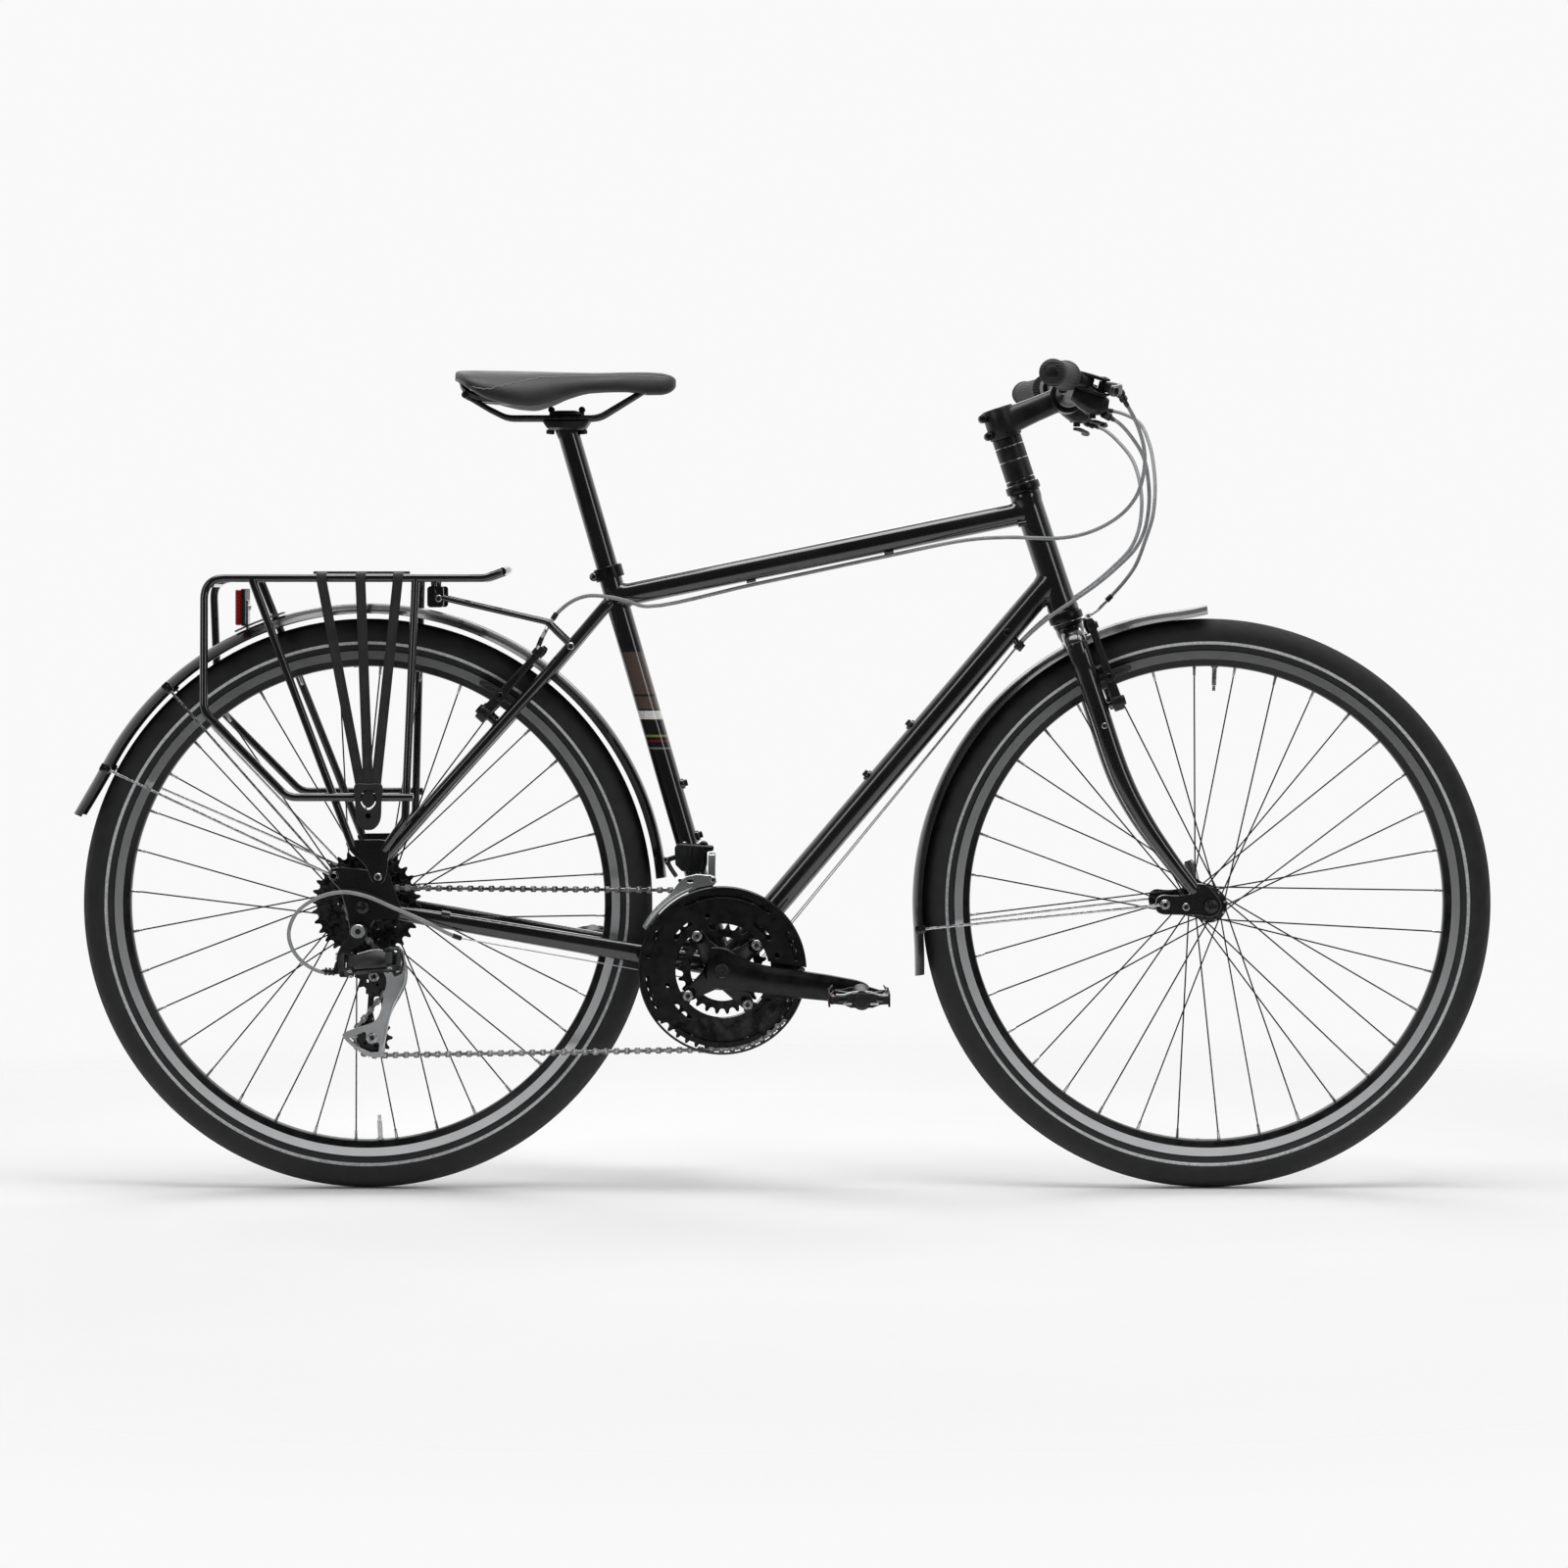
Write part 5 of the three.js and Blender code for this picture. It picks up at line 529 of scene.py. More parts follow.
saddleCover = Finish("saddle_cover", (0.06, 0.06, 0.062), 0.55)
saddleGrain = saddleCover.node("ShaderNodeTexVoronoi", {"feature": "F1"},
                               {"Vector": saddleCover.place(), "Scale": 620.0})
saddleCloud = saddleCover.noise(26.0, 4.0).rising(0.3, 0.7)
saddleCover.give("Base Color", saddleCover.mix(saddleCloud, (0.024, 0.024, 0.025), (0.04, 0.04, 0.042)))
saddleCover.give("Roughness", saddleCloud * 0.12 + 0.48)
saddleCover.bumped(saddleGrain, 0.35, 0.0004)

seamThread = Finish("pale_seam_line", (0.3, 0.3, 0.31), 0.6)
seamThread.mottled((0.24, 0.24, 0.25), (0.36, 0.36, 0.37), (0.5, 0.7), 400.0)

redLens = Finish("red_reflector_lens", (0.42, 0.008, 0.008), 0.12, CoatWeight=1.0, CoatRoughness=0.03)
# The prism cells give the lens its bump, and their dark and bright reds in the base colour are painted glints
# of the facets.
lensCellsAndGlints = (redLens.place("Y") * 1400.0).wave() * (redLens.place("Z") * 1400.0).wave()
redLens.give("Base Color", redLens.mix(lensCellsAndGlints.rising(-0.4, 0.6), (0.2, 0.003, 0.003),
                                       (0.62, 0.02, 0.015)))
redLens.bumped(lensCellsAndGlints, 0.5, 0.0008)

paleFloor = Finish("pale_floor", (0.9, 0.9, 0.9), 0.9)
paleFloor.give("Base Color", paleFloor.mix(paleFloor.noise(3.0, 3.0), (0.885, 0.885, 0.885),
                                           (0.915, 0.915, 0.915)))

# Studio: camera, a pale room, soft lamps and the floor

studio = {
    "camera": (0.5014, -5.616, 0.7446), "frameWidth": 1.9365, "shift": (0.00625, -0.1275), "sensor": 36.0,
    "background": 0.947, "roomFront": 0.05, "roomBack": 0.78, "floorRadius": 9.0, "floorFade": (1.0, 2.1),
    "lamps": [
        ("top_softbox", (0.4, -0.4, 3.4), (0.5, 0.0, 0.4), (3.4, 1.5), 82.0),
        ("left_softbox", (-2.6, -3.2, 2.5), (0.4, 0.0, 0.5), (1.2, 2.2), 20.0),
        ("right_softbox", (3.4, -3.0, 2.3), (0.6, 0.0, 0.5), (1.0, 2.2), 17.0),
        ("rear_softbox", (0.6, 3.0, 2.6), (0.5, 0.0, 0.5), (3.0, 1.2), 30.0),
    ],
}


def makeStudio(settings):
    lens = bpy.data.cameras.new("camera")
    lens.sensor_width = settings["sensor"]
    lens.lens = settings["sensor"] * -settings["camera"][1] / settings["frameWidth"]
    lens.shift_x, lens.shift_y = settings["shift"]
    lens.clip_end = 100.0
    eye = bpy.data.objects.new("camera", lens)
    eye.location = settings["camera"]
    eye.rotation_euler = (math.radians(90), 0, 0)
    scene.collection.objects.link(eye)
    scene.camera = eye
    for name, place, aim, size, watts in settings["lamps"]:
        lamp = bpy.data.lights.new(name, "AREA")
        lamp.shape, lamp.energy = "RECTANGLE", watts
        lamp.size, lamp.size_y = size
        holder = bpy.data.objects.new(name, lamp)
        holder.location = place
        holder.rotation_euler = (Vector(aim) - Vector(place)).to_track_quat("-Z", "Y").to_euler()
        scene.collection.objects.link(holder)
    world = bpy.data.worlds.new("studio_room")
    scene.world = world
    world.use_nodes = True
    room = Nodes(world.node_tree)
    way = room.node("ShaderNodeTexCoord", output="Generated")
    deep = room.node("ShaderNodeSeparateXYZ", sockets={0: way}, output="Y").rising(-0.35, 0.6)
    path = room.node("ShaderNodeLightPath", output="Is Camera Ray")
    glossy = room.node("ShaderNodeLightPath", output="Is Glossy Ray")
    mirrored = glossy + room.node("ShaderNodeLightPath", output="Is Transmission Ray")
    lit = deep * (settings["roomBack"] - settings["roomFront"]) + settings["roomFront"]
    backdrop = (path + mirrored * deep).maths("MINIMUM", path + mirrored * deep, 1.0)
    strength = lit * (1 - backdrop) + backdrop * settings["background"]
    background = world.node_tree.nodes["Background"]
    background.inputs["Color"].default_value = (1, 1, 1, 1)
    room.plug(background.inputs["Strength"], strength)
    floor = Shape()
    reach = settings["floorRadius"] / millimetre
    floor.add([vec(500 + reach * math.cos(k * math.tau / 64), reach * math.sin(k * math.tau / 64), 0)
               for k in range(64)], [tuple(range(64))])
    laid = build("floor", floor, [paleFloor])
    centre = paleFloor.node("ShaderNodeVectorMath", {"operation": "SUBTRACT"},
                            {0: paleFloor.place(), 1: (0.5, 0, 0)})
    distance = paleFloor.node("ShaderNodeVectorMath", {"operation": "LENGTH"}, {0: centre}, output="Value")
    clear = paleFloor.node("ShaderNodeBsdfTransparent")
    ends = paleFloor.tree.nodes["Material Output"]
    shaded = Wire(paleFloor, paleFloor.shader.outputs[0])
    blended = paleFloor.node("ShaderNodeMixShader", None,
                             {0: distance.rising(*settings["floorFade"]), 1: shaded, 2: clear})
    paleFloor.plug(ends.inputs["Surface"], blended)
    scene.view_settings.view_transform = "Standard"


makeStudio(studio)
print("stage: studio ready")

# Cables: grey casings that end in stops, and the bare wire between them

cables = {
    "front_brake_cable": {
        "route": [(921, 150, 966), (944, 142, 960), (963, 130, 948), (974, 110, 920), (978, 90, 888),
                  (978, 75, 858), (974, 65, 828), (964, 58, 798), (952, 54, 768), (938, 53, 748),
                  (920, 54, 728), (905, 52, 713), (894, 47, 706), (888.3, 38, 702.2), (888.3, -37, 702.2)],
        "bare": [(13, 14)], "body": "steering",
    },
    "rear_brake_cable": {
        "route": [(921, -158, 966), (934, -142, 946), (944, -122, 926), (951, -98, 902), (951, -76, 877),
                  (944, -58, 852), (929, -44, 832), (906, -34, 816), (881, -28, 806), (850, -25, 801),
                  (790, -24, 802), (740, -18, 799), (640, -6, 779), (480, -4, 745), (345, -14, 717),
                  (320, -28, 724), (296, -32, 729), (272, -27, 730), (252, -22, 723), (232, -24, 706),
                  (222, -30, 690), (216, -44, 677), (213, -42, 670), (212, 36, 670)],
        "bare": [(22, 23)], "bend": ((940, -100, 915), (850, -25, 801)),
    },
    "rear_shift_cable": {
        "route": [(905, -136, 946), (920, -116, 938), (936, -96, 922), (950, -78, 902), (957, -64, 880),
                  (960, -54, 845), (955, -48, 811), (944, -42, 788), (924, -38, 767), (897, -34, 744),
                  (867, -30, 723), (840, -26, 704), (815, -14, 682), (800, -10, 666), (462, -10, 251),
                  (448, -10, 244), (430, -12, 245), (404, -20, 258), (330, -32, 272), (118, -62, 312),
                  (104, -68, 318), (75, -76, 334), (35, -82, 352), (5, -85, 365), (-25, -86, 370),
                  (-56, -86, 362), (-80, -86, 344), (-89, -86, 320), (-83, -86, 298), (-67, -85, 281),
                  (-46, -84, 272), (-28.4, -83, 273)],
        "bare": [(13, 19)], "bend": ((955, -90, 900), (830, -22, 695)),
    },
    "front_shift_cable": {
        "route": [(905, 138, 946), (920, 122, 938), (936, 106, 922), (950, 90, 902), (957, 75, 880),
                  (960, 58, 845), (955, 48, 811), (944, 42, 788), (924, 38, 767), (897, 34, 744),
                  (867, 30, 723), (840, 26, 704), (815, 14, 682), (800, 10, 666), (462, 10, 254),
                  (440, 9, 249.9), (430.5, 7, 251), (422.5, 5, 255.7), (416, 1, 264.8), (412, -8, 280),
                  (398, -26, 389)],
        "bare": [(13, 18)], "bend": ((955, 90, 900), (830, 22, 695)),
    },
}
casing = {"radius": 2.4, "wire": 0.8, "ferrule": 3.0, "ferruleLength": 11.0, "corners": 14, "steps": 6}


# Points of a straight bare run stay straight; casings are smoothed
def cablePath(settings):
    route = [Vector(p) for p in settings["route"]]
    path, radii = [], []
    start = 0
    for low, high in settings["bare"]:
        if low > start:
            part = smooth(route[start:low + 1], casing["steps"])
            path += part
            radii += [casing["radius"]] * len(part)
        part = route[low:high + 1]
        ends = [part[0] + (part[1] - part[0]).normalized() * 0.4] + part[1:]
        if high < len(route) - 1:
            ends[-1] = part[-1] + (part[-2] - part[-1]).normalized() * 0.4
        path += ends
        radii += [casing["wire"]] * len(ends)
        start = high
    if start < len(route) - 1:
        part = smooth(route[start:], casing["steps"])
        path += part
        radii += [casing["radius"]] * len(part)
    return path, radii


def makeCable(name, settings):
    path, radii = cablePath(settings)
    shape = Shape().tube(path, radii, casing["corners"])
    for i in range(len(shape.faces)):
        ring = min(i // casing["corners"], len(radii) - 2)
        thin = min(radii[ring], radii[ring + 1]) < casing["radius"] / 2
        shape.finishes[i] = 1 if thin else 0
    ends = [0] + [i + way for i in range(len(radii) - 1) if radii[i] != radii[i + 1]
                  for way in (0, 1)] + [len(path) - 1]
    for end in ends:
        if radii[end] < casing["radius"]:
            continue
        way = 1 if end + 1 < len(radii) and radii[end + 1] == radii[end] else -1
        along = (path[end + way] - path[end]).normalized()
        length, wide = casing["ferruleLength"], casing["ferrule"]
        shape.turn([(0.9, -1.2), (wide - 0.5, -1.2), (wide, 0), (wide, length - 1), (wide - 0.4, length),
                    (casing["radius"], length)], path[end], along, 16, 2)
    piece = build(name + "_run", shape, [casingPlastic, wireSteel, blackBolt], settings.get("body"), [name],
                  "cable_casing", 50)
    places = [tuple(p * millimetre) for p in path]
    if "bend" in settings:
        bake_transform(piece)
    length = sum((b - a).length for a, b in zip(path, path[1:])) * millimetre
    print(f"stage: {name} {length:.3f} m")


for cableName, cableSettings in cables.items():
    makeCable(cableName, cableSettings)

# Wheels: tyre with cut tread and a reflective stripe, rim, laced spokes, hub

wheel = {
    "tyre": [(312.2, 11.0), (315.5, 13.6), (319.4, 16.6), (321.0, 17.7), (323.0, 18.8), (326.0, 19.7),
             (329.5, 20.0), (333.0, 19.8), (336.0, 19.1), (339.0, 17.9), (341.6, 16.4), (344.0, 14.4),
             (346.2, 12.0), (348.1, 9.4), (349.6, 6.4), (350.6, 3.2)],
    "crownRadius": 351.0, "stripe": (320.0, 323.6), "segments": 576, "tread": 16, "groove": 0.9,
    "spokes": 36, "spokeRadius": 0.95, "crosses": 3,
    "holeSink": 2.6, "flangeLean": 0.4, "flangeStagger": 1.6, "spokeReach": 291.7, "rimOffset": 2.5,
}
hubs = {
    "front": {"axle": frontAxle, "flanges": [(35, 22), (-35, 22)], "barrel": 10.5, "ends": (45, -45),
              "end": 12, "firstHole": 3, "valve": 88},
    "rear": {"axle": rearAxle, "flanges": [(34, 22), (-16.5, 24)], "barrel": 13, "ends": (60, -20.5),
             "end": 11, "firstHole": 7, "valve": -87},
}


def treadDepth(step, half, radius, settings):
    if radius < 334:
        return 0.0
    share = (step % settings["tread"]) / settings["tread"]
    lean = half * 0.045
    slanted = (share + lean) % 1.0
    cut = slanted < 0.13 or (0.5 < slanted < 0.6 and 338 < radius < 348)
    band = 9.0 < half < 10.6
    return settings["groove"] if cut and half > 3.4 or band and share < 0.8 else 0.0


def tyreShape(axle, settings):
    half = settings["tyre"]
    section = half + [(settings["crownRadius"], 0.0)] + [(radius, -y) for radius, y in reversed(half)]
    shape = Shape()
    rings = []
    for step in range(settings["segments"]):
        degrees = step * 360 / settings["segments"]
        ring = []
        for radius, y in section:
            place = step if y > 0 else step + settings["tread"] // 2
            ring.append(around(axle, radius - treadDepth(place, abs(y), radius, settings), degrees, y))
        rings.append(ring)
    count = len(section)
    low, high = settings["stripe"]
    faces, finishes = [], []
    for step in range(settings["segments"]):
        near, far = step * count, ((step + 1) % settings["segments"]) * count
        for j in range(count - 1):
            faces.append((near + j, near + j + 1, far + j + 1, far + j))
            middle = (section[j][0] + section[j + 1][0]) / 2
            finishes.append(1 if low < middle < high else 0)
        faces.append((near + count - 1, near, far, far + count - 1))
        finishes.append(0)
    shape.add([p for ring in rings for p in ring], faces)
    shape.finishes = finishes
    return shape


def rimShape(axle):
    half = [(311.9, 9.6), (312.2, 11.2), (311.6, 12.0), (311.0, 12.0), (301.2, 12.0), (300.6, 11.6),
            (299.6, 10.9), (296.0, 9.4), (293.4, 7.6), (292.2, 5.2)]
    section = half + [(292.0, 0.0)] + [(radius, -y) for radius, y in reversed(half)]
    section += [(306.0, -9.0), (303.0, -5.0), (303.0, 5.0), (306.0, 9.0)]
    shape = Shape()
    shape.turn(section, axle, segments=288, ring=True)
    for i in range(len(shape.faces)):
        j = i % len(section)
        a, b = section[j], section[(j + 1) % len(section)]
        machined = abs(a[1]) > 11.9 and abs(b[1]) > 11.9 and min(a[0], b[0]) > 301
        shape.finishes[i] = 0 if machined else 1
    return shape


def spokeEnds(hub, settings):
    count = settings["spokes"] // 2
    swing = settings["crosses"] * 720 / settings["spokes"]
    for f, (flangeY, flangeRadius) in enumerate(hub["flanges"]):
        side = 1 if flangeY > 0 else -1
        for i in range(count):
            lead = -1 if i % 2 else 1
            angle = hub["firstHole"] + (i + f / 2) * 360 / count
            rootY = flangeY + side * settings["flangeLean"] + lead * settings["flangeStagger"]
            root = around(hub["axle"], flangeRadius - settings["holeSink"], angle, rootY)
            tipY = side * settings["rimOffset"] + lead
            tip = around(hub["axle"], settings["spokeReach"], angle + lead * swing, tipY)
            yield flangeY, lead, root, tip


def makeWheel(name, hub, settings):
    axle, body = hub["axle"], name + "_wheel"
    build(name + "_tyre_tread", tyreShape(axle, settings), [tyreRubber, reflectiveStripe], body,
          [name + "_tyre"], "tyre_rubber", 30)
    build(name + "_rim_ring", rimShape(axle), [brakeTrack[name], anodised], body, [name + "_rim"],
          "silver_alloy", 25)
    fittings = Shape()
    spokes = Shape()
    for flangeY, lead, root, tip in spokeEnds(hub, settings):
        along = (tip - root).normalized()
        bend = root + along * 2.0
        hole = vec(root.x, flangeY, root.z)
        head = vec(root.x, flangeY - lead * 3.4, root.z)
        spokes.tube([head, hole, between(hole, bend, 0.6), bend + along * 1.5, tip - along * 9],
                    settings["spokeRadius"], 8, up=vec(0.3, 0.2, 1).normalized())
        fittings.turn([(0, -1.0), (1.7, -0.9), (1.9, 0), (0.9, 0.3)], head, vec(0, lead, 0), 10)
        fittings.tube([tip - along * 11, tip - along * 10, tip - along * 4, tip + along * 1.5],
                      [1.3, 1.7, 1.8, 2.2], 8)
    build(name + "_spokes", spokes, [spokeSteel], body, slot="black_steel", sharp=60)
    valveWay = (around(axle, 1, hub["valve"]) - axle).normalized()
    foot = axle + valveWay * 293
    fittings.turn([(4.6, 2), (4.6, -2.5), (3.2, -3), (3.1, -24), (2.2, -25), (2.2, -31), (0, -31.5)], foot,
                  valveWay, 20)
    for turn in (0, 180):
        weep = around(axle, 292.2, hub["valve"] + turn + 180 * (turn == 0))
        fittings.turn([(0, -1.2), (2.6, -1.0), (3.1, 0.4), (3.1, 2.0)], weep, (weep - axle).normalized(),
                      16)
    build(name + "_spoke_fittings", fittings, [boltSteel], body, slot="steel", sharp=40)
    bore = 5.2
    (left, leftRadius), (right, rightRadius) = hub["flanges"]
    barrel, ends, end = hub["barrel"], hub["ends"], hub["end"]
    profile = [(bore, ends[0]), (end - 1, ends[0]), (end, ends[0] - 1), (end, left + 3.6),
               (end + 2, left + 2.4), (leftRadius - 0.8, left + 1.6), (leftRadius, left + 0.8),
               (leftRadius, left - 0.8), (leftRadius - 0.8, left - 1.6), (barrel + 4, left - 2.6),
               (barrel + 1, left - 5), (barrel, left - 9), (barrel, 3), (barrel + 0.5, 2),
               (barrel + 0.5, -2), (barrel, -3), (barrel, right + 7), (barrel + 1, right + 4.4),
               (barrel + 4, right + 2.6), (rightRadius - 0.8, right + 1.6), (rightRadius, right + 0.8),
               (rightRadius, right - 0.8), (rightRadius - 0.8, right - 1.6), (end + 1, right - 2.4),
               (end, right - 3.4), (end, ends[1] + 1), (end - 1, ends[1]), (bore, ends[1])]
    build(name + "_hub_shell", Shape().turn(profile, axle, segments=72, ring=True), [anodised], body,
          [name + "_hub"], "black_alloy", 40)
    print(f"stage: {name} wheel ready")


for wheelName, wheelHub in hubs.items():
    makeWheel(wheelName, wheelHub, wheel)

# Chain drive: pins laid round the sprockets, then links, sprockets, rings and pulleys to suit

chain = {"pitch": 12.7, "line": -58.0, "roller": 3.88, "height": 4.3, "waist": 1.9, "inner": 1.7,
         "jog": 1.15, "plate": 0.95}
drive = [
    {"name": "ring", "centre": crankAxle, "teeth": 48, "turn": -1},
    {"name": "tension", "centre": vec(10.7, -58, 191), "teeth": 11, "turn": -1},
    {"name": "guide", "centre": vec(13, -58, 266), "teeth": 11, "turn": 1},
    {"name": "sprocket", "centre": rearAxle, "teeth": 11, "turn": -1},
]


def pitchRadius(teeth):
    return chain["pitch"] / 2 / math.sin(math.pi / teeth)


def layChain():
    runs = []
    for i, first in enumerate(drive):
        second = drive[(i + 1) % len(drive)]
        dx, dz = second["centre"].x - first["centre"].x, second["centre"].z - first["centre"].z
        r1, r2 = pitchRadius(first["teeth"]) * first["turn"], pitchRadius(second["teeth"]) * second["turn"]
        heading = math.atan2(dz, dx) - math.asin((r2 - r1) / math.hypot(dx, dz))
        touch = [Vector((w["centre"].x + r * math.sin(heading), w["centre"].z - r * math.cos(heading)))
                 for w, r in ((first, r1), (second, r2))]
        runs.append((heading, *touch))
    arcs = []
    for i, sprocket in enumerate(drive):
        arrival = runs[i - 1][0]
        swept = ((runs[i][0] - arrival) * sprocket["turn"]) % math.tau
        arcs.append((sprocket, arrival, swept / (math.tau / sprocket["teeth"])))
    arcLinks = sum(arc[2] for arc in arcs)
    straight = sum((run[2] - run[1]).length for run in runs)
    total = round((arcLinks + straight / chain["pitch"]) / 2) * 2
    straightPitch = straight / (total - arcLinks)
    pins, phases, passed = [], {}, 0.0
    for i, (sprocket, arrival, links) in enumerate(arcs):
        step = math.tau / sprocket["teeth"]
        radius = pitchRadius(sprocket["teeth"]) * sprocket["turn"]
        n = math.ceil(passed)
        while n < passed + links:
            heading = arrival + (n - passed) * step * sprocket["turn"]
            pin = Vector((sprocket["centre"].x + radius * math.sin(heading),
                          sprocket["centre"].z - radius * math.cos(heading)))
            rise, run = pin.y - sprocket["centre"].z, pin.x - sprocket["centre"].x
            phases.setdefault(sprocket["name"], math.atan2(rise, run))
            pins.append(pin)
            n += 1
        passed += links
        runLinks = (runs[i][2] - runs[i][1]).length / straightPitch
        n = math.ceil(passed)
        while n < passed + runLinks:
            if len(pins) < total:
                pins.append(runs[i][1].lerp(runs[i][2], (n - passed) / runLinks))
            n += 1
        passed += runLinks
    return pins, phases


pins, phases = layChain()


def linkOutline(pitch, settings):
    outline = []
    for k in range(28):
        turn = k * math.tau / 28
        x = math.cos(turn)
        radius = settings["height"]
        z = math.sin(turn) * radius
        if abs(x) <= 0.25:
            outline.append((x * pitch * 0.9, z * settings["waist"] / radius))
        else:
            outline.append((math.copysign(pitch / 2, x) + x * radius, z))
    return outline


def makeChain(settings):
    shape = Shape()
    plates = {}
    for i, pin in enumerate(pins):
        following = pins[(i + 1) % len(pins)]
        pitch = (following - pin).length
        lift = settings["inner"] + (i % 2) * settings["jog"]
        key = (i % 2, round(pitch, 1))
        if key not in plates:
            plates[key] = Shape()
            for side in sides:
                low = side * lift if side > 0 else side * lift - settings["plate"]
                plates[key].slab(linkOutline(pitch, settings), low, low + settings["plate"], edge=0.18)
        middle = (pin + following) / 2
        turn = math.atan2(following.y - pin.y, following.x - pin.x)
        place = Matrix.Translation(vec(middle.x, settings["line"], middle.y)) @ Matrix.Rotation(-turn, 4, "Y")
        shape.take(plates[key], place)
        shape.turn([(0, -4.1), (1.6, -4.1), (1.8, -3.9), (1.8, -1.7), (settings["roller"], -1.6),
                    (settings["roller"], 1.6), (1.8, 1.7), (1.8, 3.9), (1.6, 4.1), (0, 4.1)],
                   vec(pin.x, settings["line"], pin.y), segments=14, finish=1)
    build("chain_links", shape, [chainSteel, boltSteel], "frame", ["chain"], "steel", 35)


def toothed(teeth, centre, phase, rise=3.0, steps=12, squared=0.62):
    pitch, step = pitchRadius(teeth), math.tau / teeth
    seat = chain["roller"] + 0.12
    half = pitch * step / 2
    outline = []
    for i in range(teeth):
        for k in range(steps):
            share = k / steps
            nearest = min(share, 1 - share) * step * pitch
            if nearest < seat * 0.97:
                radius = pitch - math.sqrt(seat * seat - nearest * nearest)
            else:
                radius = pitch + rise * min((nearest - seat * 0.97) / (half - seat * 0.97),
                                            squared) / squared
            angle = phase + (i + share) * step
            outline.append((centre.x + radius * math.cos(angle), centre.z + radius * math.sin(angle)))
    return outline


makeChain(chain)

cassette = {"teeth": [11, 13, 15, 18, 21, 24, 28, 32], "spacing": 4.8, "thickness": 1.8, "core": 16.0,
            "inner": -21.0, "outer": -62.0}


def makeCassette(settings):
    shape = Shape()
    for i, teeth in enumerate(settings["teeth"]):
        y = chain["line"] + i * settings["spacing"]
        radius = pitchRadius(teeth)
        holes = [circle(0, 351, settings["core"] - 0.5, 40)]
        if teeth > 17:
            count = 6 if teeth < 24 else 10
            middle = (radius - 5 + settings["core"] + 3) / 2
            size = (radius - 6 - settings["core"] - 3) * 0.32
            holes += [circle(middle * math.cos(k * math.tau / count),
                             351 + middle * math.sin(k * math.tau / count), size, 16) for k in range(count)]
        shape.slab(toothed(teeth, rearAxle, phases["sprocket"], squared=0.7), y - settings["thickness"] / 2,
                   y + settings["thickness"] / 2, holes, 0.35)
        if i:
            shape.turn([(14, y - 3.4), (19, y - 3.4), (19, y - 1.4), (14, y - 1.4)], rearAxle, segments=40,
                       ring=True)
    build("cassette_sprockets", shape, [darkSteel], "sprockets", ["cassette"], "steel", 32)
    core = Shape()
    outer, inner = settings["outer"], settings["inner"]
    core.turn([(5.6, inner), (15.6, inner), (15.6, outer + 3.5), (13.6, outer + 2.6), (13.6, outer + 0.4),
               (13, outer), (10.4, outer), (10, outer + 1.6), (7.4, outer + 2), (7.2, outer + 0.6),
               (5.6, outer + 0.6)], rearAxle, segments=64, ring=True)
    for k in range(12):
        tab = around(rearAxle, 12.2, k * 30, outer + 0.8)
        core.turn([(0, -0.9), (1.1, -0.9), (1.1, 0.9), (0, 0.9)], tab, segments=8)
    build("cassette_core", core, [anodised], "sprockets", slot="black_alloy", sharp=35)


makeCassette(cassette)
print("stage: chain and cassette ready")

# Frame: mitred tubes with a soft weld where they meet

tubes = {"corners": 48, "weld": [(7.0, 0.0), (4.2, 0.25), (2.2, 0.9), (0.8, 1.9), (-0.8, 2.5)]}


# Where a line along the tube comes within a radius of another tube's axis
def reachAxis(point, along, axisPoint, axisWay, radius):
    flatWay = along - axisWay * along.dot(axisWay)
    flatGap = (point - axisPoint) - axisWay * (point - axisPoint).dot(axisWay)
    a, b, c = flatWay.dot(flatWay), 2 * flatWay.dot(flatGap), flatGap.dot(flatGap) - radius * radius
    root = math.sqrt(max(b * b - 4 * a * c, 0.0))
    return point + along * ((-b - root) / (2 * a))


def mitredTube(shape, start, end, radius, ends):
    middle = (start + end) / 2
    along = (end - start).normalized()
    across = along.cross(vec(0, 1, 0)).normalized()
    other = along.cross(across)
    rings = []
    for way, joint in zip((-1, 1), ends):
        part = []
        if joint is None:
            part.append([(start if way < 0 else end) + across * math.cos(t) * radius
                         + other * math.sin(t) * radius
                         for t in (k * math.tau / tubes["corners"] for k in range(tubes["corners"]))])
        else:
            axisPoint, axisWay, axisRadius = joint
            for out, swell in tubes["weld"]:
                ring = []
                for k in range(tubes["corners"]):
                    turn = k * math.tau / tubes["corners"]
                    wide = radius + swell
                    away = across * math.cos(turn) * wide + other * math.sin(turn) * wide
                    limit = axisRadius + out
                    ring.append(reachAxis(middle + away, along * way, axisPoint, axisWay, limit))
                part.append(ring)
        rings = part[::-1] if way < 0 else rings + part
    return shape.skin(rings)


def boltHead(shape, point, way, radius, height, finish=1, socket=2):
    shape.turn([(0, height * 0.35), (radius * 0.5, height * 0.35), (radius * 0.55, height),
                (radius * 0.85, height), (radius, height * 0.8), (radius, 0), (radius * 0.6, -0.6)], point,
               way, 20, finish)
    # The dark hexagon on the recess floor, in the finish numbered socket, is painted shade for the depth of a
    # hex socket.
    shape.turn([(0, height * 0.36), (radius * 0.5, height * 0.36)], point, way, 6, socket)


headJoint = (crown, steeringUp, 17.2)
seatJoint = (crankAxle, seatUp, 13.6)
shellJoint = (crankAxle, vec(0, 1, 0), 19.6)
headBottom = onSteering(0, 0, 40)

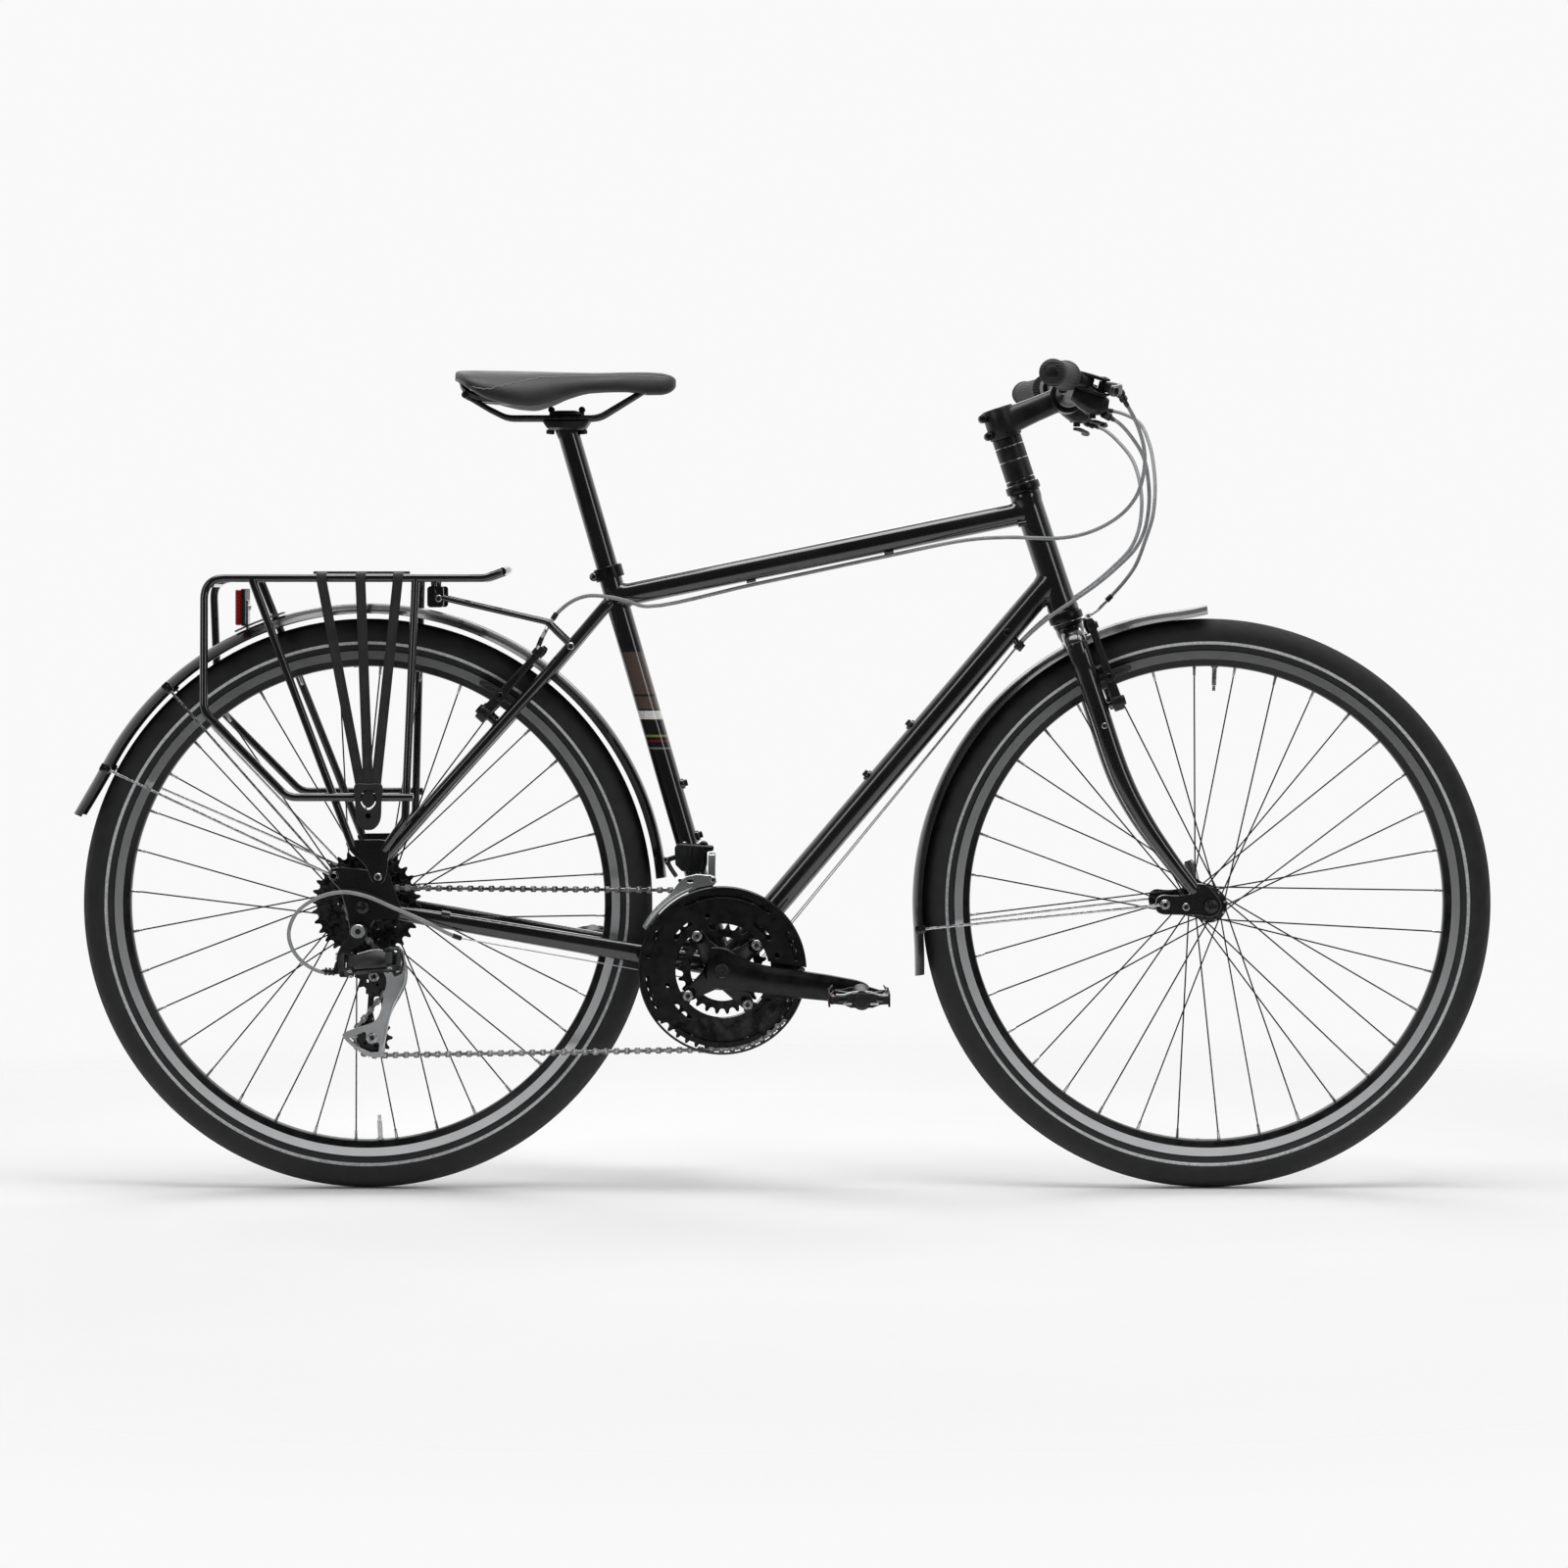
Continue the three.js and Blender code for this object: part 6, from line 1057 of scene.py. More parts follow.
headProfile = [
    (15.4, -19, 1), (17.5, -19, 1), (18.2, -18, 1), (18.6, -14.5, 1), (17.9, -14, 2), (17.9, -13.4, 1),
    (20.6, -12.6, 1), (21.3, -11.4, 1),
    (21.3, -4.5, 1), (20.8, -3.4, 1), (19.0, -2.6, 1), (18.9, -0.4, 0), (19.4, 0.4, 0), (19.4, 6, 0),
    (18.1, 13, 0), (18.0, 20, 0),
    (18.0, 133, 0), (18.1, 139.7, 0), (19.4, 146.7, 0), (19.4, 152.3, 0), (18.9, 153.1, 1),
    (19.0, 155.3, 1), (20.8, 156.1, 1),
    (21.3, 157.2, 1), (21.3, 164.1, 1), (20.6, 165.3, 1), (17.9, 166.1, 2), (17.9, 166.8, 1),
    (18.6, 167.3, 1), (18.2, 170.7, 1),
    (17.5, 171.7, 1), (15.4, 171.7, 1),
]


# A turned shape whose profile places also carry the finish of the band that follows them
def turnBands(shape, profile, centre, axis, segments, ring=True):
    start = len(shape.faces)
    shape.turn([(radius, along) for radius, along, _ in profile], centre, axis, segments, ring=ring)
    bands = len(profile) if ring else len(profile) - 1
    for i in range(start, len(shape.faces)):
        shape.finishes[i] = profile[(i - start) % bands][2]
    return shape


def makeMainTubes():
    head = turnBands(Shape(), headProfile, headBottom, steeringUp, 96)
    build("head_tube_and_cups", head, [glossPaint, anodised, silver], "frame", ["head_tube"],
          "gloss_black_paint", 40)
    top = mitredTube(Shape(), vec(306, 0, 729), vec(815, 0, 834), 14.3, (seatJoint, headJoint))
    topWay = (vec(815, 0, 834) - vec(306, 0, 729)).normalized()
    under = vec(topWay.z, 0, -topWay.x)
    for x, y in ((805, -16), (640, -8), (470, -6)):
        foot = vec(306, 0, 729) + topWay * ((x - 306) / topWay.x)
        seat = foot + under * 13.4 + vec(0, y * 0.75, 0)
        top.tube([seat - topWay * 6, seat + topWay * 6], 3.4, 16, eased=0.8)
    build("top_tube_and_guides", top, [glossPaint], "frame", ["top_tube"], "gloss_black_paint")
    downEnd = vec(845, 0, 752)
    down = mitredTube(Shape(), crankAxle, downEnd, 15.9, (shellJoint, headJoint))
    downWay = (downEnd - crankAxle).normalized()
    out = vec(-downWay.z, 0, downWay.x)
    for share in (0.47, 0.6):
        foot = crankAxle.lerp(downEnd, share)
        down.turn([(0, 18.5), (6.6, 18.5), (7.2, 17.8), (7.6, 15), (8, 13)], foot, out, 28)
        boltHead(down, foot + out * 18.4, out, 4.2, 4.0, 1, 2)
    for side in sides:
        stop = vec(800, side * 9, 667) - out * 3
        down.tube([stop - downWay * 2, stop + downWay * 9], 4.6, 16, eased=0.8)
        down.tube([stop + downWay * 3 + out * 2, vec(797, side * 4, 680)], 3.5, 12)
    shifterFoot = crankAxle.lerp(downEnd, 0.86)
    boltHead(down, shifterFoot - vec(0, 15.4, 0), vec(0, -1, 0), 4.6, 3.4, 1, 2)
    build("down_tube_and_bosses", down, [glossPaint, blackBolt, blackBolt], "frame", ["down_tube"],
          "gloss_black_paint")
    seat = mitredTube(Shape(), crankAxle, seatTop, 14.3, (shellJoint, None))
    forward = vec(seatUp.z, 0, -seatUp.x)
    for z in (430, 494):
        foot = onSeatTube(z)
        seat.turn([(0, 17.5), (6.0, 17.5), (6.6, 16.8), (7.0, 14), (7.2, 12)], foot, forward, 28)
        boltHead(seat, foot + forward * 17.3, forward, 4.2, 4.0, 1, 2)
    collarFoot = seatTop - seatUp * 15.6
    turnBands(seat, [(14.4, 0, 1), (17.2, 0, 1), (18.0, 0.8, 1), (18.0, 14.6, 1), (17.2, 15.6, 1),
                     (14.4, 15.8, 1)], collarFoot, seatUp, 64)
    ear = collarFoot + seatUp * 8 - forward * 19
    seat.tube([ear + vec(0, -9, 0), ear + vec(0, 9, 0)], 5.4, 24, finish=1, eased=1.0)
    boltHead(seat, ear + vec(0, -9, 0), vec(0, -1, 0), 4.2, 3.2, 3, 2)
    boltHead(seat, ear + vec(0, 9, 0), vec(0, 1, 0), 4.2, 3.2, 3, 2)
    build("seat_tube_and_collar", seat, [bandedPaint, anodised, blackBolt, boltSteel], "frame",
          slot="gloss_black_paint")


makeMainTubes()

stays = {
    "chain": [(0.975, 23), (0.78, 31), (0.62, 38), (0.42, 48), (0.23, 57.5), (0.08, 68)],
    "chainSize": [(11.9, 7.7), (11.9, 7.5), (11.5, 7.5), (10.8, 7.2), (9.8, 6.7), (8.1, 4.6)],
    "seat": [(299, 723.8, 18.9), (226, 638, 34), (164, 569, 42), (60, 452, 60), (19, 402, 67.8)],
    "seatRadius": [7.6, 7.6, 7.6, 7.2, 5.0],
}
dropoutRight = [(-43, 388), (-39, 398), (-26, 400), (6, 396), (18, 400), (32, 392), (46, 352), (44, 336),
                (14, 334), (7, 322), (3, 314), (-8, 311), (-15, 317), (-17, 328), (-20, 346), (-28, 372)]
dropoutLeft = [(-43, 388), (-39, 398), (-26, 400), (6, 396), (18, 400), (32, 392), (46, 352), (44, 336),
               (14, 334), (5.6, 332), (5.4, 350), (3, 355), (0, 356.4), (-3, 355), (-5.4, 350), (-5.6, 333),
               (-20, 346), (-28, 372)]


def spread(values, count):
    filled = []
    for i in range(count):
        at = i * (len(values) - 1) / (count - 1)
        k = min(int(at), len(values) - 2)
        filled.append(between(values[k], values[k + 1], at - k))
    return filled


def seatStayAt(x):
    for (x1, z1, y1), (x2, z2, y2) in zip(stays["seat"], stays["seat"][1:]):
        if x2 <= x <= x1:
            share = (x - x1) / (x2 - x1)
            return vec(x, between(y1, y2, share), between(z1, z2, share))


rearBrakeFoot = seatStayAt(164.6)
rearBrakeUp = vec(62, 0, 69).normalized()
rearBrakeOut = vec(-rearBrakeUp.z, 0, rearBrakeUp.x)
frontBrakeFoot = onSteering(0, 0, -85)


def makeStays(settings):
    low = Shape()
    shellHalf = 34.0
    low.turn([(17.6, -shellHalf), (20.2, -shellHalf), (20.8, -shellHalf + 0.7), (20.8, shellHalf - 0.7),
              (20.2, shellHalf), (17.6, shellHalf)], crankAxle, segments=72, ring=True)
    for side in sides:
        path = smooth([rearAxle.lerp(crankAxle, share) + vec(0, side * y, 0)
                       for share, y in settings["chain"]], 8)
        tall = spread([size[0] for size in settings["chainSize"]], len(path))
        flat = spread([size[1] / size[0] for size in settings["chainSize"]], len(path))
        low.tube(path, tall, 28, flat=flat, up=vec(0, 1, 0), eased=1.5)
        near, far = side * 67.5, side * 73.5
        outline = dropoutRight if side < 0 else dropoutLeft
        holes = [circle(0, 351, 5.3, 24),
                 circle(-35, 389, 2.6, 16)] if side < 0 else [circle(-35, 389, 2.6, 16)]
        low.slab(outline, min(near, far), max(near, far), holes, 0.9)
    wishbone = rearAxle.lerp(crankAxle, 0.8)
    low.tube([wishbone + vec(0, -26, 2), wishbone + vec(0, 26, 2)], 6.0, 20)
    stop = rearAxle.lerp(crankAxle, 0.235) + vec(0, -64, 8)
    way = (rearAxle - crankAxle).normalized()
    low.tube([stop - way * 3, stop + way * 8], 4.2, 16, eased=0.8)
    build("chain_stays_and_dropouts", low, [glossPaint], "frame", ["chain_stays"], "gloss_black_paint", 34)
    high = Shape()
    for side in sides:
        path = smooth([vec(x, side * y, z) for x, z, y in settings["seat"]], 8)
        high.tube(path, spread(settings["seatRadius"], len(path)), 28, eased=2.4)
        foot = vec(rearBrakeFoot.x, side * 40, rearBrakeFoot.z)
        high.tube([foot - rearBrakeOut * 2, foot + rearBrakeOut * 8, foot + rearBrakeOut * 9,
                   foot + rearBrakeOut * 32.6], [6.2, 5.8, 4.0, 4.0], 24, eased=0.6)
    bridge = seatStayAt(238)
    high.tube([vec(bridge.x, -bridge.y, bridge.z), vec(bridge.x, bridge.y, bridge.z)], 6.0, 24)
    eye = seatStayAt(252)
    for side in sides:
        high.tube([vec(eye.x, side * (eye.y + 4), eye.z), vec(eye.x, side * (eye.y + 9), eye.z)], 4.6, 20,
                  eased=0.5)
    build("seat_stays_and_bridge", high, [glossPaint], "frame", ["seat_stays"], "gloss_black_paint", 34)


makeStays(stays)


def makeFork():
    shape = Shape()
    shares = [(0, 0, 0), (0.12, 0, 0.12), (0.25, 0, 0.25), (0.5, 0.02, 0.6), (0.66, 0.2, 0.8),
              (0.82, 0.52, 0.95), (0.94, 0.8, 1)]
    radii = [12.6, 12.6, 12.5, 12.3, 10.8, 8.6, 7.2]
    down = (frontAxle - crown).dot(steeringUp)
    for side in sides:
        path = smooth([onSteering(rake * 54, side * between(39, 52.5, out), along * down)
                       for along, rake, out in shares], 8)
        shape.tube(path, spread(radii, len(path)), 32, flat=0.8, up=vec(0, 1, 0), eased=2.0)
        outline = smoothOutline([(-66, -6), (-60, -10), (-40, -11), (-14, -12), (0, -14), (9, -10),
                                 (13.5, 0), (10, 9), (-6, 26), (-22, 26), (-24, 16), (-42, 12.5), (-60, 13),
                                 (-66, 8)], 4)
        near, far = side * 50, side * 55
        shape.slab([(1035 + x, 351 + z) for x, z in outline], min(near, far), max(near, far),
                   [circle(1035, 351, 5.3, 24)], 0.9)
        for x, z in ((-55, 1.5), (-30, -1)):
            boltHead(shape, vec(1035 + x, side * 55.2, 351 + z), vec(0, side, 0), 4.6, 2.6, 1, 2)
        foot = vec(frontBrakeFoot.x, side * 40, frontBrakeFoot.z)
        shape.tube([foot, foot + steeringForward * 12, foot + steeringForward * 13,
                    foot + steeringForward * 32.6], [6.2, 5.8, 4.0, 4.0], 24, eased=0.6)
        for along in (0.3, 0.44):
            eyelet = onSteering(0, side * 53.4, along * down)
            boltHead(shape, eyelet, vec(0, side, 0), 3.6, 1.8, 1, 2)
    crownLine = ((-39, -50), (-39, -18), (-34, -1), (-19, 8), (0, 10), (19, 8), (34, -1), (39, -18),
                 (39, -50))
    crownPath = smooth([onSteering(0, y, up) for y, up in crownLine], 8)
    shape.tube(crownPath, 13.6, 32, flat=0.78, up=vec(0, 1, 0), square=0.5)
    shape.turn([(0, 4), (15, 4), (17.2, 12), (17.4, 20.4), (16.6, 20.9), (14.2, 20.9), (14.2, 290),
                (12, 291), (0, 291)], crown, steeringUp, 56)
    bolt = onSteering(15.5, 0, 3)
    boltHead(shape, bolt, steeringForward, 5.2, 3.4, 1, 2)
    build("fork_blades_and_crown", shape, [glossPaint, boltSteel, blackBolt], "steering", ["fork"],
          "gloss_black_paint", 34)


makeFork()


# Axles: locknuts inside the dropouts, a serrated clamping nut outside the drive side
def makeAxle(name, centre, hubEnds, inner, thickness, body):
    shape = Shape()
    outer = inner + thickness + 0.6
    shape.turn([(0, -outer - 5), (4.7, -outer - 5), (4.7, outer + 3), (0, outer + 3)], centre, segments=32)
    for side, end in ((1, hubEnds[0]), (-1, hubEnds[1])):
        low, high = sorted((side * (inner - 0.3), end + side * 0.3))
        shape.turn([(4.8, low), (7.4, low), (8, low + 0.6), (8, high - 0.6), (7.4, high), (4.8, high)],
                   centre, segments=36, ring=True)
    nut = -outer
    shape.turn([(4.8, nut), (8.4, nut), (8.5, nut - 1), (8.5, nut - 4.5), (7.6, nut - 6.6),
                (5.4, nut - 7.8), (3.6, nut - 8.3), (3.2, nut - 7.4), (0, nut - 7.2)], centre, segments=48,
               finish=1)
    for k in range(16):
        ridge = around(centre, 8.3, k * 22.5)
        shape.tube([vec(ridge.x, nut - 0.4, ridge.z), vec(ridge.x, nut - 4.6, ridge.z)], 0.7, 6, finish=1)
    shape.turn([(4.8, outer), (8.2, outer), (8.4, outer + 0.6), (8.4, outer + 2.4), (7, outer + 4),
                (0, outer + 4)], centre, segments=40, finish=1)
    build(name + "_and_nuts", shape, [boltSteel, blackBolt], body, [name], "steel", 35)


makeAxle("rear_axle", rearAxle, (60, -62), 67.5, 6, "frame")
makeAxle("front_axle", frontAxle, (45, -45), 50, 5, "steering")
print("stage: frame and fork ready")

# Mudguards: a rolled channel whose ends flare, wire stays and their clips

mudguards = {
    "rear": {"axle": rearAxle, "outer": 370, "half": 26, "depth": 12, "from": 5, "to": 163,
             "flare": [(163, 12, 9.5)], "body": "frame",
             "stays": [(132.5, vec(-35, 77.8, 389)), (152.5, vec(-35, 77.8, 389))]},
    "front": {"axle": frontAxle, "outer": 363, "half": 25, "depth": 11, "from": 90, "to": 194,
              "flare": [(194, 10, 8.0), (90, 7, 5.0)], "body": "steering",
              "stays": [(185, vec(979, 59.3, 353))]},
}


def makeMudguard(name, settings):
    shape = Shape()
    half, depth, wall, axle = settings["half"], settings["depth"], 1.4, settings["axle"]
    across = [i / 12 for i in range(-12, 13)]
    outer = [(share * half, -depth * abs(share) ** 2.6) for share in across]
    inner = [(share * (half - wall), -wall - (depth - wall - 0.6) * abs(share) ** 2.6)
             for share in reversed(across)]
    lip = [(half - 0.2, -depth - 0.5), (half - 1.6, -depth - 0.2)]
    section = outer + lip + inner[1:-1] + [(-y, out) for y, out in reversed(lip)]
    steps = int(abs(settings["to"] - settings["from"]))
    rings = []
    for i in range(steps + 1):
        angle = between(settings["from"], settings["to"], i / steps)
        rise, tuck = 0.0, 1.0
        for end, length, height in settings["flare"]:
            near = max(0.0, 1 - abs(angle - end) / length)
            rise += height * near * near
            tuck -= 0.5 * max(0.0, near - 0.55) ** 1.5
        rings.append([around(axle, settings["outer"] + out * (1 if out > -wall else 1) + rise, angle,
                             y * tuck) for y, out in section])
    shape.skin(rings)
    for angle, foot in settings["stays"]:
        for side in sides:
            root = around(axle, settings["outer"] - depth * 0.7, angle, side * (half + 1.6))
            end = vec(foot.x, side * foot.y, foot.z)
            way = (end - root).normalized()
            bentIn = root + way * 14
            shape.tube([root, bentIn, end - way * 9, end - way * 6], 1.6, 10, finish=1)
            shape.turn([(2.7, -1.6), (5.6, -1.6), (6.0, -1.2), (6.0, 1.2), (5.6, 1.6), (2.7, 1.6)], end,
                       vec(0, 1, 0), 24, 1, ring=True)
            boltHead(shape, end + vec(0, side * 1.4, 0), vec(0, side, 0), 4.4, 2.6, 2, 3)
            radial = (root - axle).normalized()
            radial = vec(radial.x, 0, radial.z).normalized()
            tangent = vec(-radial.z, 0, radial.x)
            clip = [root + radial * a + tangent * b for a, b in ((-6.5, 0), (6.5, 0))]
            shape.tube([clip[0], clip[1]], [4.8, 5.2], 16, finish=0, eased=1.4, flat=0.62, up=vec(0, 1, 0),
                       square=1.5)
            boltHead(shape, root + vec(0, side * 2.6, 0), vec(0, side, 0), 2.6, 1.6, 3, 3)
    build(name + "_mudguard_and_stays", shape, [sheenPlastic, boltSteel, boltSteel, blackBolt],
          settings["body"], [name + "_mudguard"], "black_plastic", 34)


for guardName, guardSettings in mudguards.items():
    makeMudguard(guardName, guardSettings)

# Rear carrier: bent and welded tube, its feet, and the rubber straps over the deck

carrier = {"radius": 5.0, "thin": 3.5, "deck": 752, "half": 45, "lower": 80, "foot": 78.5, "bend": 26}


def makeCarrier(settings):
    shape = Shape()
    z, radius = settings["deck"], settings["radius"]
    stay = seatStayAt(252)
    clampHalf = stay.y + 7.6 + 2.5
    for side in sides:
        def at(x, y, height):
            return vec(x, side * y, height)
        hoop = [at(168, 40, 760), at(146, settings["half"], z), at(-197, settings["half"], z),
                at(-194, 74, 590), at(-91, settings["lower"], 485), at(62, settings["lower"], 485)]
        shape.tube(roundCorners(hoop, settings["bend"], 10), radius, 20, up=vec(0, 1, 0), eased=1.2)
        shape.tube([at(-139, settings["half"], z), at(-12, settings["foot"], 424)], radius, 20)
        shape.tube(roundCorners([at(62, settings["half"], z), at(52, settings["lower"], 458),
                                 at(25, settings["foot"], 420)], 18, 8), radius, 20, eased=1)
        low, high = sorted((side * 73.8, side * 77.8))
        plate = smoothOutline([(-20, 430), (6, 433), (32, 430), (31, 408), (27, 384), (20, 379), (12, 382),
                               (3, 402), (-14, 418)], 4)
        shape.slab(plate, low, high, [circle(19, 388, 2.8, 16)], 0.6)
        boltHead(shape, at(19, 78, 388), vec(0, side, 0), 4.6, 3.0, 1, 2)
        front = roundCorners([at(84, 40, z), at(84, 40, 730), at(222, clampHalf, 698),
                              at(stay.x, clampHalf, stay.z)], 12, 6)
        shape.tube(front, settings["thin"], 14, eased=0.8)
        boltHead(shape, at(stay.x, clampHalf + 2.6, stay.z), vec(0, side, 0), 4.4, 2.6, 1, 2)
        bracket = roundedBox((76, 716), (96, 742), 4)
        low, high = sorted((side * 37.5, side * 42.5))
        shape.slab(bracket, low, high, (), 0.7)
        boltHead(shape, at(90, 43, 727), vec(0, side, 0), 4.4, 2.8, 1, 2)
    for x in (130, 0, -130):
        shape.tube([vec(x, -settings["half"], z), vec(x, settings["half"], z)], settings["thin"], 14)
    shape.tube([vec(-188, -settings["half"], z - 8), vec(-188, settings["half"], z - 8)], settings["thin"],
               14)
    shape.tube(smooth([vec(168, -40, 760), vec(172, -20, 761.4), vec(173, 0, 761.8), vec(172, 20, 761.4),
                       vec(168, 40, 760)], 5), radius, 16)
    build("rear_carrier_tubes", shape, [glossPaint, boltSteel, blackBolt], "frame", ["rear_carrier"],
          "black_steel", 34)


makeCarrier(carrier)

straps = {"width": 11.6, "thickness": 2.0, "tops": [-53, -5, 41], "spread": 9, "foot": 8, "footZ": 497}


def makeStraps(settings):
    shape = Shape()
    lift = 5 + 0.3 + settings["thickness"] / 2
    out = 85.3
    for i, x in enumerate(settings["tops"]):
        foot = settings["foot"] + (i - 1) * settings["spread"]
        route = [vec(x, -22, 752 + lift), vec(x, -40, 752 + lift), vec(x, -45.8, 752 + lift - 0.4),
                 vec(x, -49.6, 752 + 4.6), vec(x, -51.6, 752 + 1),
                 vec(between(x, foot, 0.1), between(-51.6, -out - 3, 0.1),
                     between(752, settings["footZ"], 0.1)),
                 vec(between(x, foot, 0.5), between(-51.6, -out - 3, 0.5) - 1,
                     between(752, settings["footZ"], 0.5)), vec(foot, -out - 3, settings["footZ"])]
        path = [route[0]] + smooth(route[1:], 5)
        shape.tube(path, settings["width"] / 2 * 1.06, 16, flat=settings["thickness"] / settings["width"],
                   up=vec(0, 0, 1), square=5.0, eased=0.0)
        for offset in (-settings["width"] / 2 + 1.2, settings["width"] / 2 - 1.2):
            rib = [p + vec(offset, -0.9 if k > 3 else 0, 0.9 if k <= 3 else 0) for k, p in enumerate(path)]
            shape.tube(rib, 0.7, 6)
    shape.tube([vec(-65, -21, 752 + lift), vec(53, -21, 752 + lift)], 6.2, 16, flat=0.34, up=vec(0, 0, 1),
               square=4.0, eased=1.0)
    body = smoothOutline([(-8, 501), (8, 502), (24, 501), (24, 480), (22, 456), (15, 447), (8, 445.5),
                          (1, 447), (-6, 456), (-8, 480)], 6)
    shape.slab(body, -out - 6, -out,
               [smoothOutline([(1, 492), (8, 495), (15, 492), (17, 478), (8, 470), (-1, 478)], 4)], 1.2)
    shape.slab(smoothOutline([(2, 490), (8, 493), (14, 490), (15.6, 479), (8, 472.5), (0.4, 479)], 4),
               -out - 4.4, -out - 1, (), 0.8)
    shape.tube([vec(8, -out - 6, 463), vec(8, -out - 2, 463)], 4.2, 20, eased=1.0, finish=1)
    build("luggage_strap_set", shape, [strapRubber, blackBolt], "frame", ["luggage_straps"], "grip_rubber",
          40)


makeStraps(straps)

reflector = {"x": (-161, -149), "z": (694, 738), "half": 27}


def makeReflector(settings):
    (x1, x2), (z1, z2), half = settings["x"], settings["z"], settings["half"]
    lens = Shape().slab(roundedBox((x1, z1), (x2 - 4.5, z2), 2.2), -half, half, (), 1.2)
    build("rear_reflector_lens", lens, [redLens], "frame", ["rear_reflector"], "red_lens", 40)
    back = Shape()
    back.slab(roundedBox((x2 - 5, z1 - 1), (x2, z2 + 1), 1.6), -half - 1, half + 1, (), 1.0)
    seat = 371.9
    rings = [[around(rearAxle, seat + out, angle, y) for y, out in ((-11, 0), (11, 0), (11, 2), (-11, 2))]
             for angle in range(106, 117, 2)]
    back.skin(rings, 1)
    back.slab(roundedBox((x2 - 0.6, z1 - 6), (x2 + 2, z1 + 31), 0.6), -11, 11, (), 0.4, 1)
    boltHead(back, vec(x2 + 2, 0, z1 + 22), vec(1, 0, 0), 3.6, 2.4, 1, 2)
    top = around(rearAxle, seat + 2, 109, 0)
    boltHead(back, top, (top - rearAxle).normalized(), 3.6, 2.4, 1, 2)
    build("rear_reflector_bracket", back, [satinPlastic, silver, blackBolt], "frame", slot="silver_alloy",
          sharp=40)


makeReflector(reflector)
print("stage: mudguards and carrier ready")

# Crankset: guard, three rings, spider and two arms

crankset = {
    "bolts": (36.5, 126.5, 216.5, 306.5), "circle": 52.0, "tilt": -8.6, "length": 170.0,
    "guard": {"outer": 103.0, "inner": 57.0, "gap": 19.3, "low": -66.0, "high": -63.5, "slotRadius": 91.5,
              "slotWidth": 4.4},
    "guardSlots": ((97, 119), (52, 94), (9, 30), (144, 169), (185, 209), (233, 267), (269, 299),
                   (322, 337)),
    "rings": ((48, -58.0, 1.0, darkSteel), (36, -50.5, 0.9, darkSteel), (26, -43.0, 0.9, darkSteel)),
}
# Places along the arm: reach, half width above and below the line, outer face, thickness
armStations = [
    (-17, 27, 21, -79.4, 11), (-5, 28, 22, -80.2, 12.5), (8, 25, 22, -80.6, 13.5),
    (18.5, 20.5, 21.5, -80.9, 14), (38, 15.6, 20, -81.4, 14),
    (66, 14.4, 19.3, -83.2, 14), (95, 15.2, 18.4, -86.2, 13.6), (125, 15.6, 16.6, -89.0, 13),
    (150, 15, 15, -90.6, 12.4),
    (166, 14.2, 14.2, -91.0, 12), (176, 11.6, 11.6, -91.0, 11.4), (182, 6.5, 6.5, -90.6, 10.4),
]


def onCrank(reach, side, y):
    angle = math.radians(crankset["tilt"])
    along = vec(math.cos(angle), 0, math.sin(angle))
    upward = vec(-math.sin(angle), 0, math.cos(angle))
    return crankAxle + along * reach + upward * side + vec(0, y, 0)


def flat(places):
    return [(p.x, p.z) for p in places]


def arcSlot(centre, radius, low, high, width, steps=8):
    half = width / 2
    places = [around(centre, radius + half, low + (high - low) * s / steps) for s in range(steps + 1)]
    places += [around(around(centre, radius, high), half, high + 30 * k) for k in range(1, 6)]
    places += [around(centre, radius - half, high + (low - high) * s / steps) for s in range(steps + 1)]
    places += [around(around(centre, radius, low), half, low + 180 + 30 * k) for k in range(1, 6)]
    return flat(places)


# The web of a ring: wide between the bolts, with tabs that reach in to them
def webRadius(angle, wide, deep, half=9.0, ease=4.0):
    nearest = min(abs((angle - bolt + 180) % 360 - 180) for bolt in crankset["bolts"])
    share = min(max((half - nearest) / ease, 0.0), 1.0)
    return wide - deep * share * share * (3 - 2 * share)


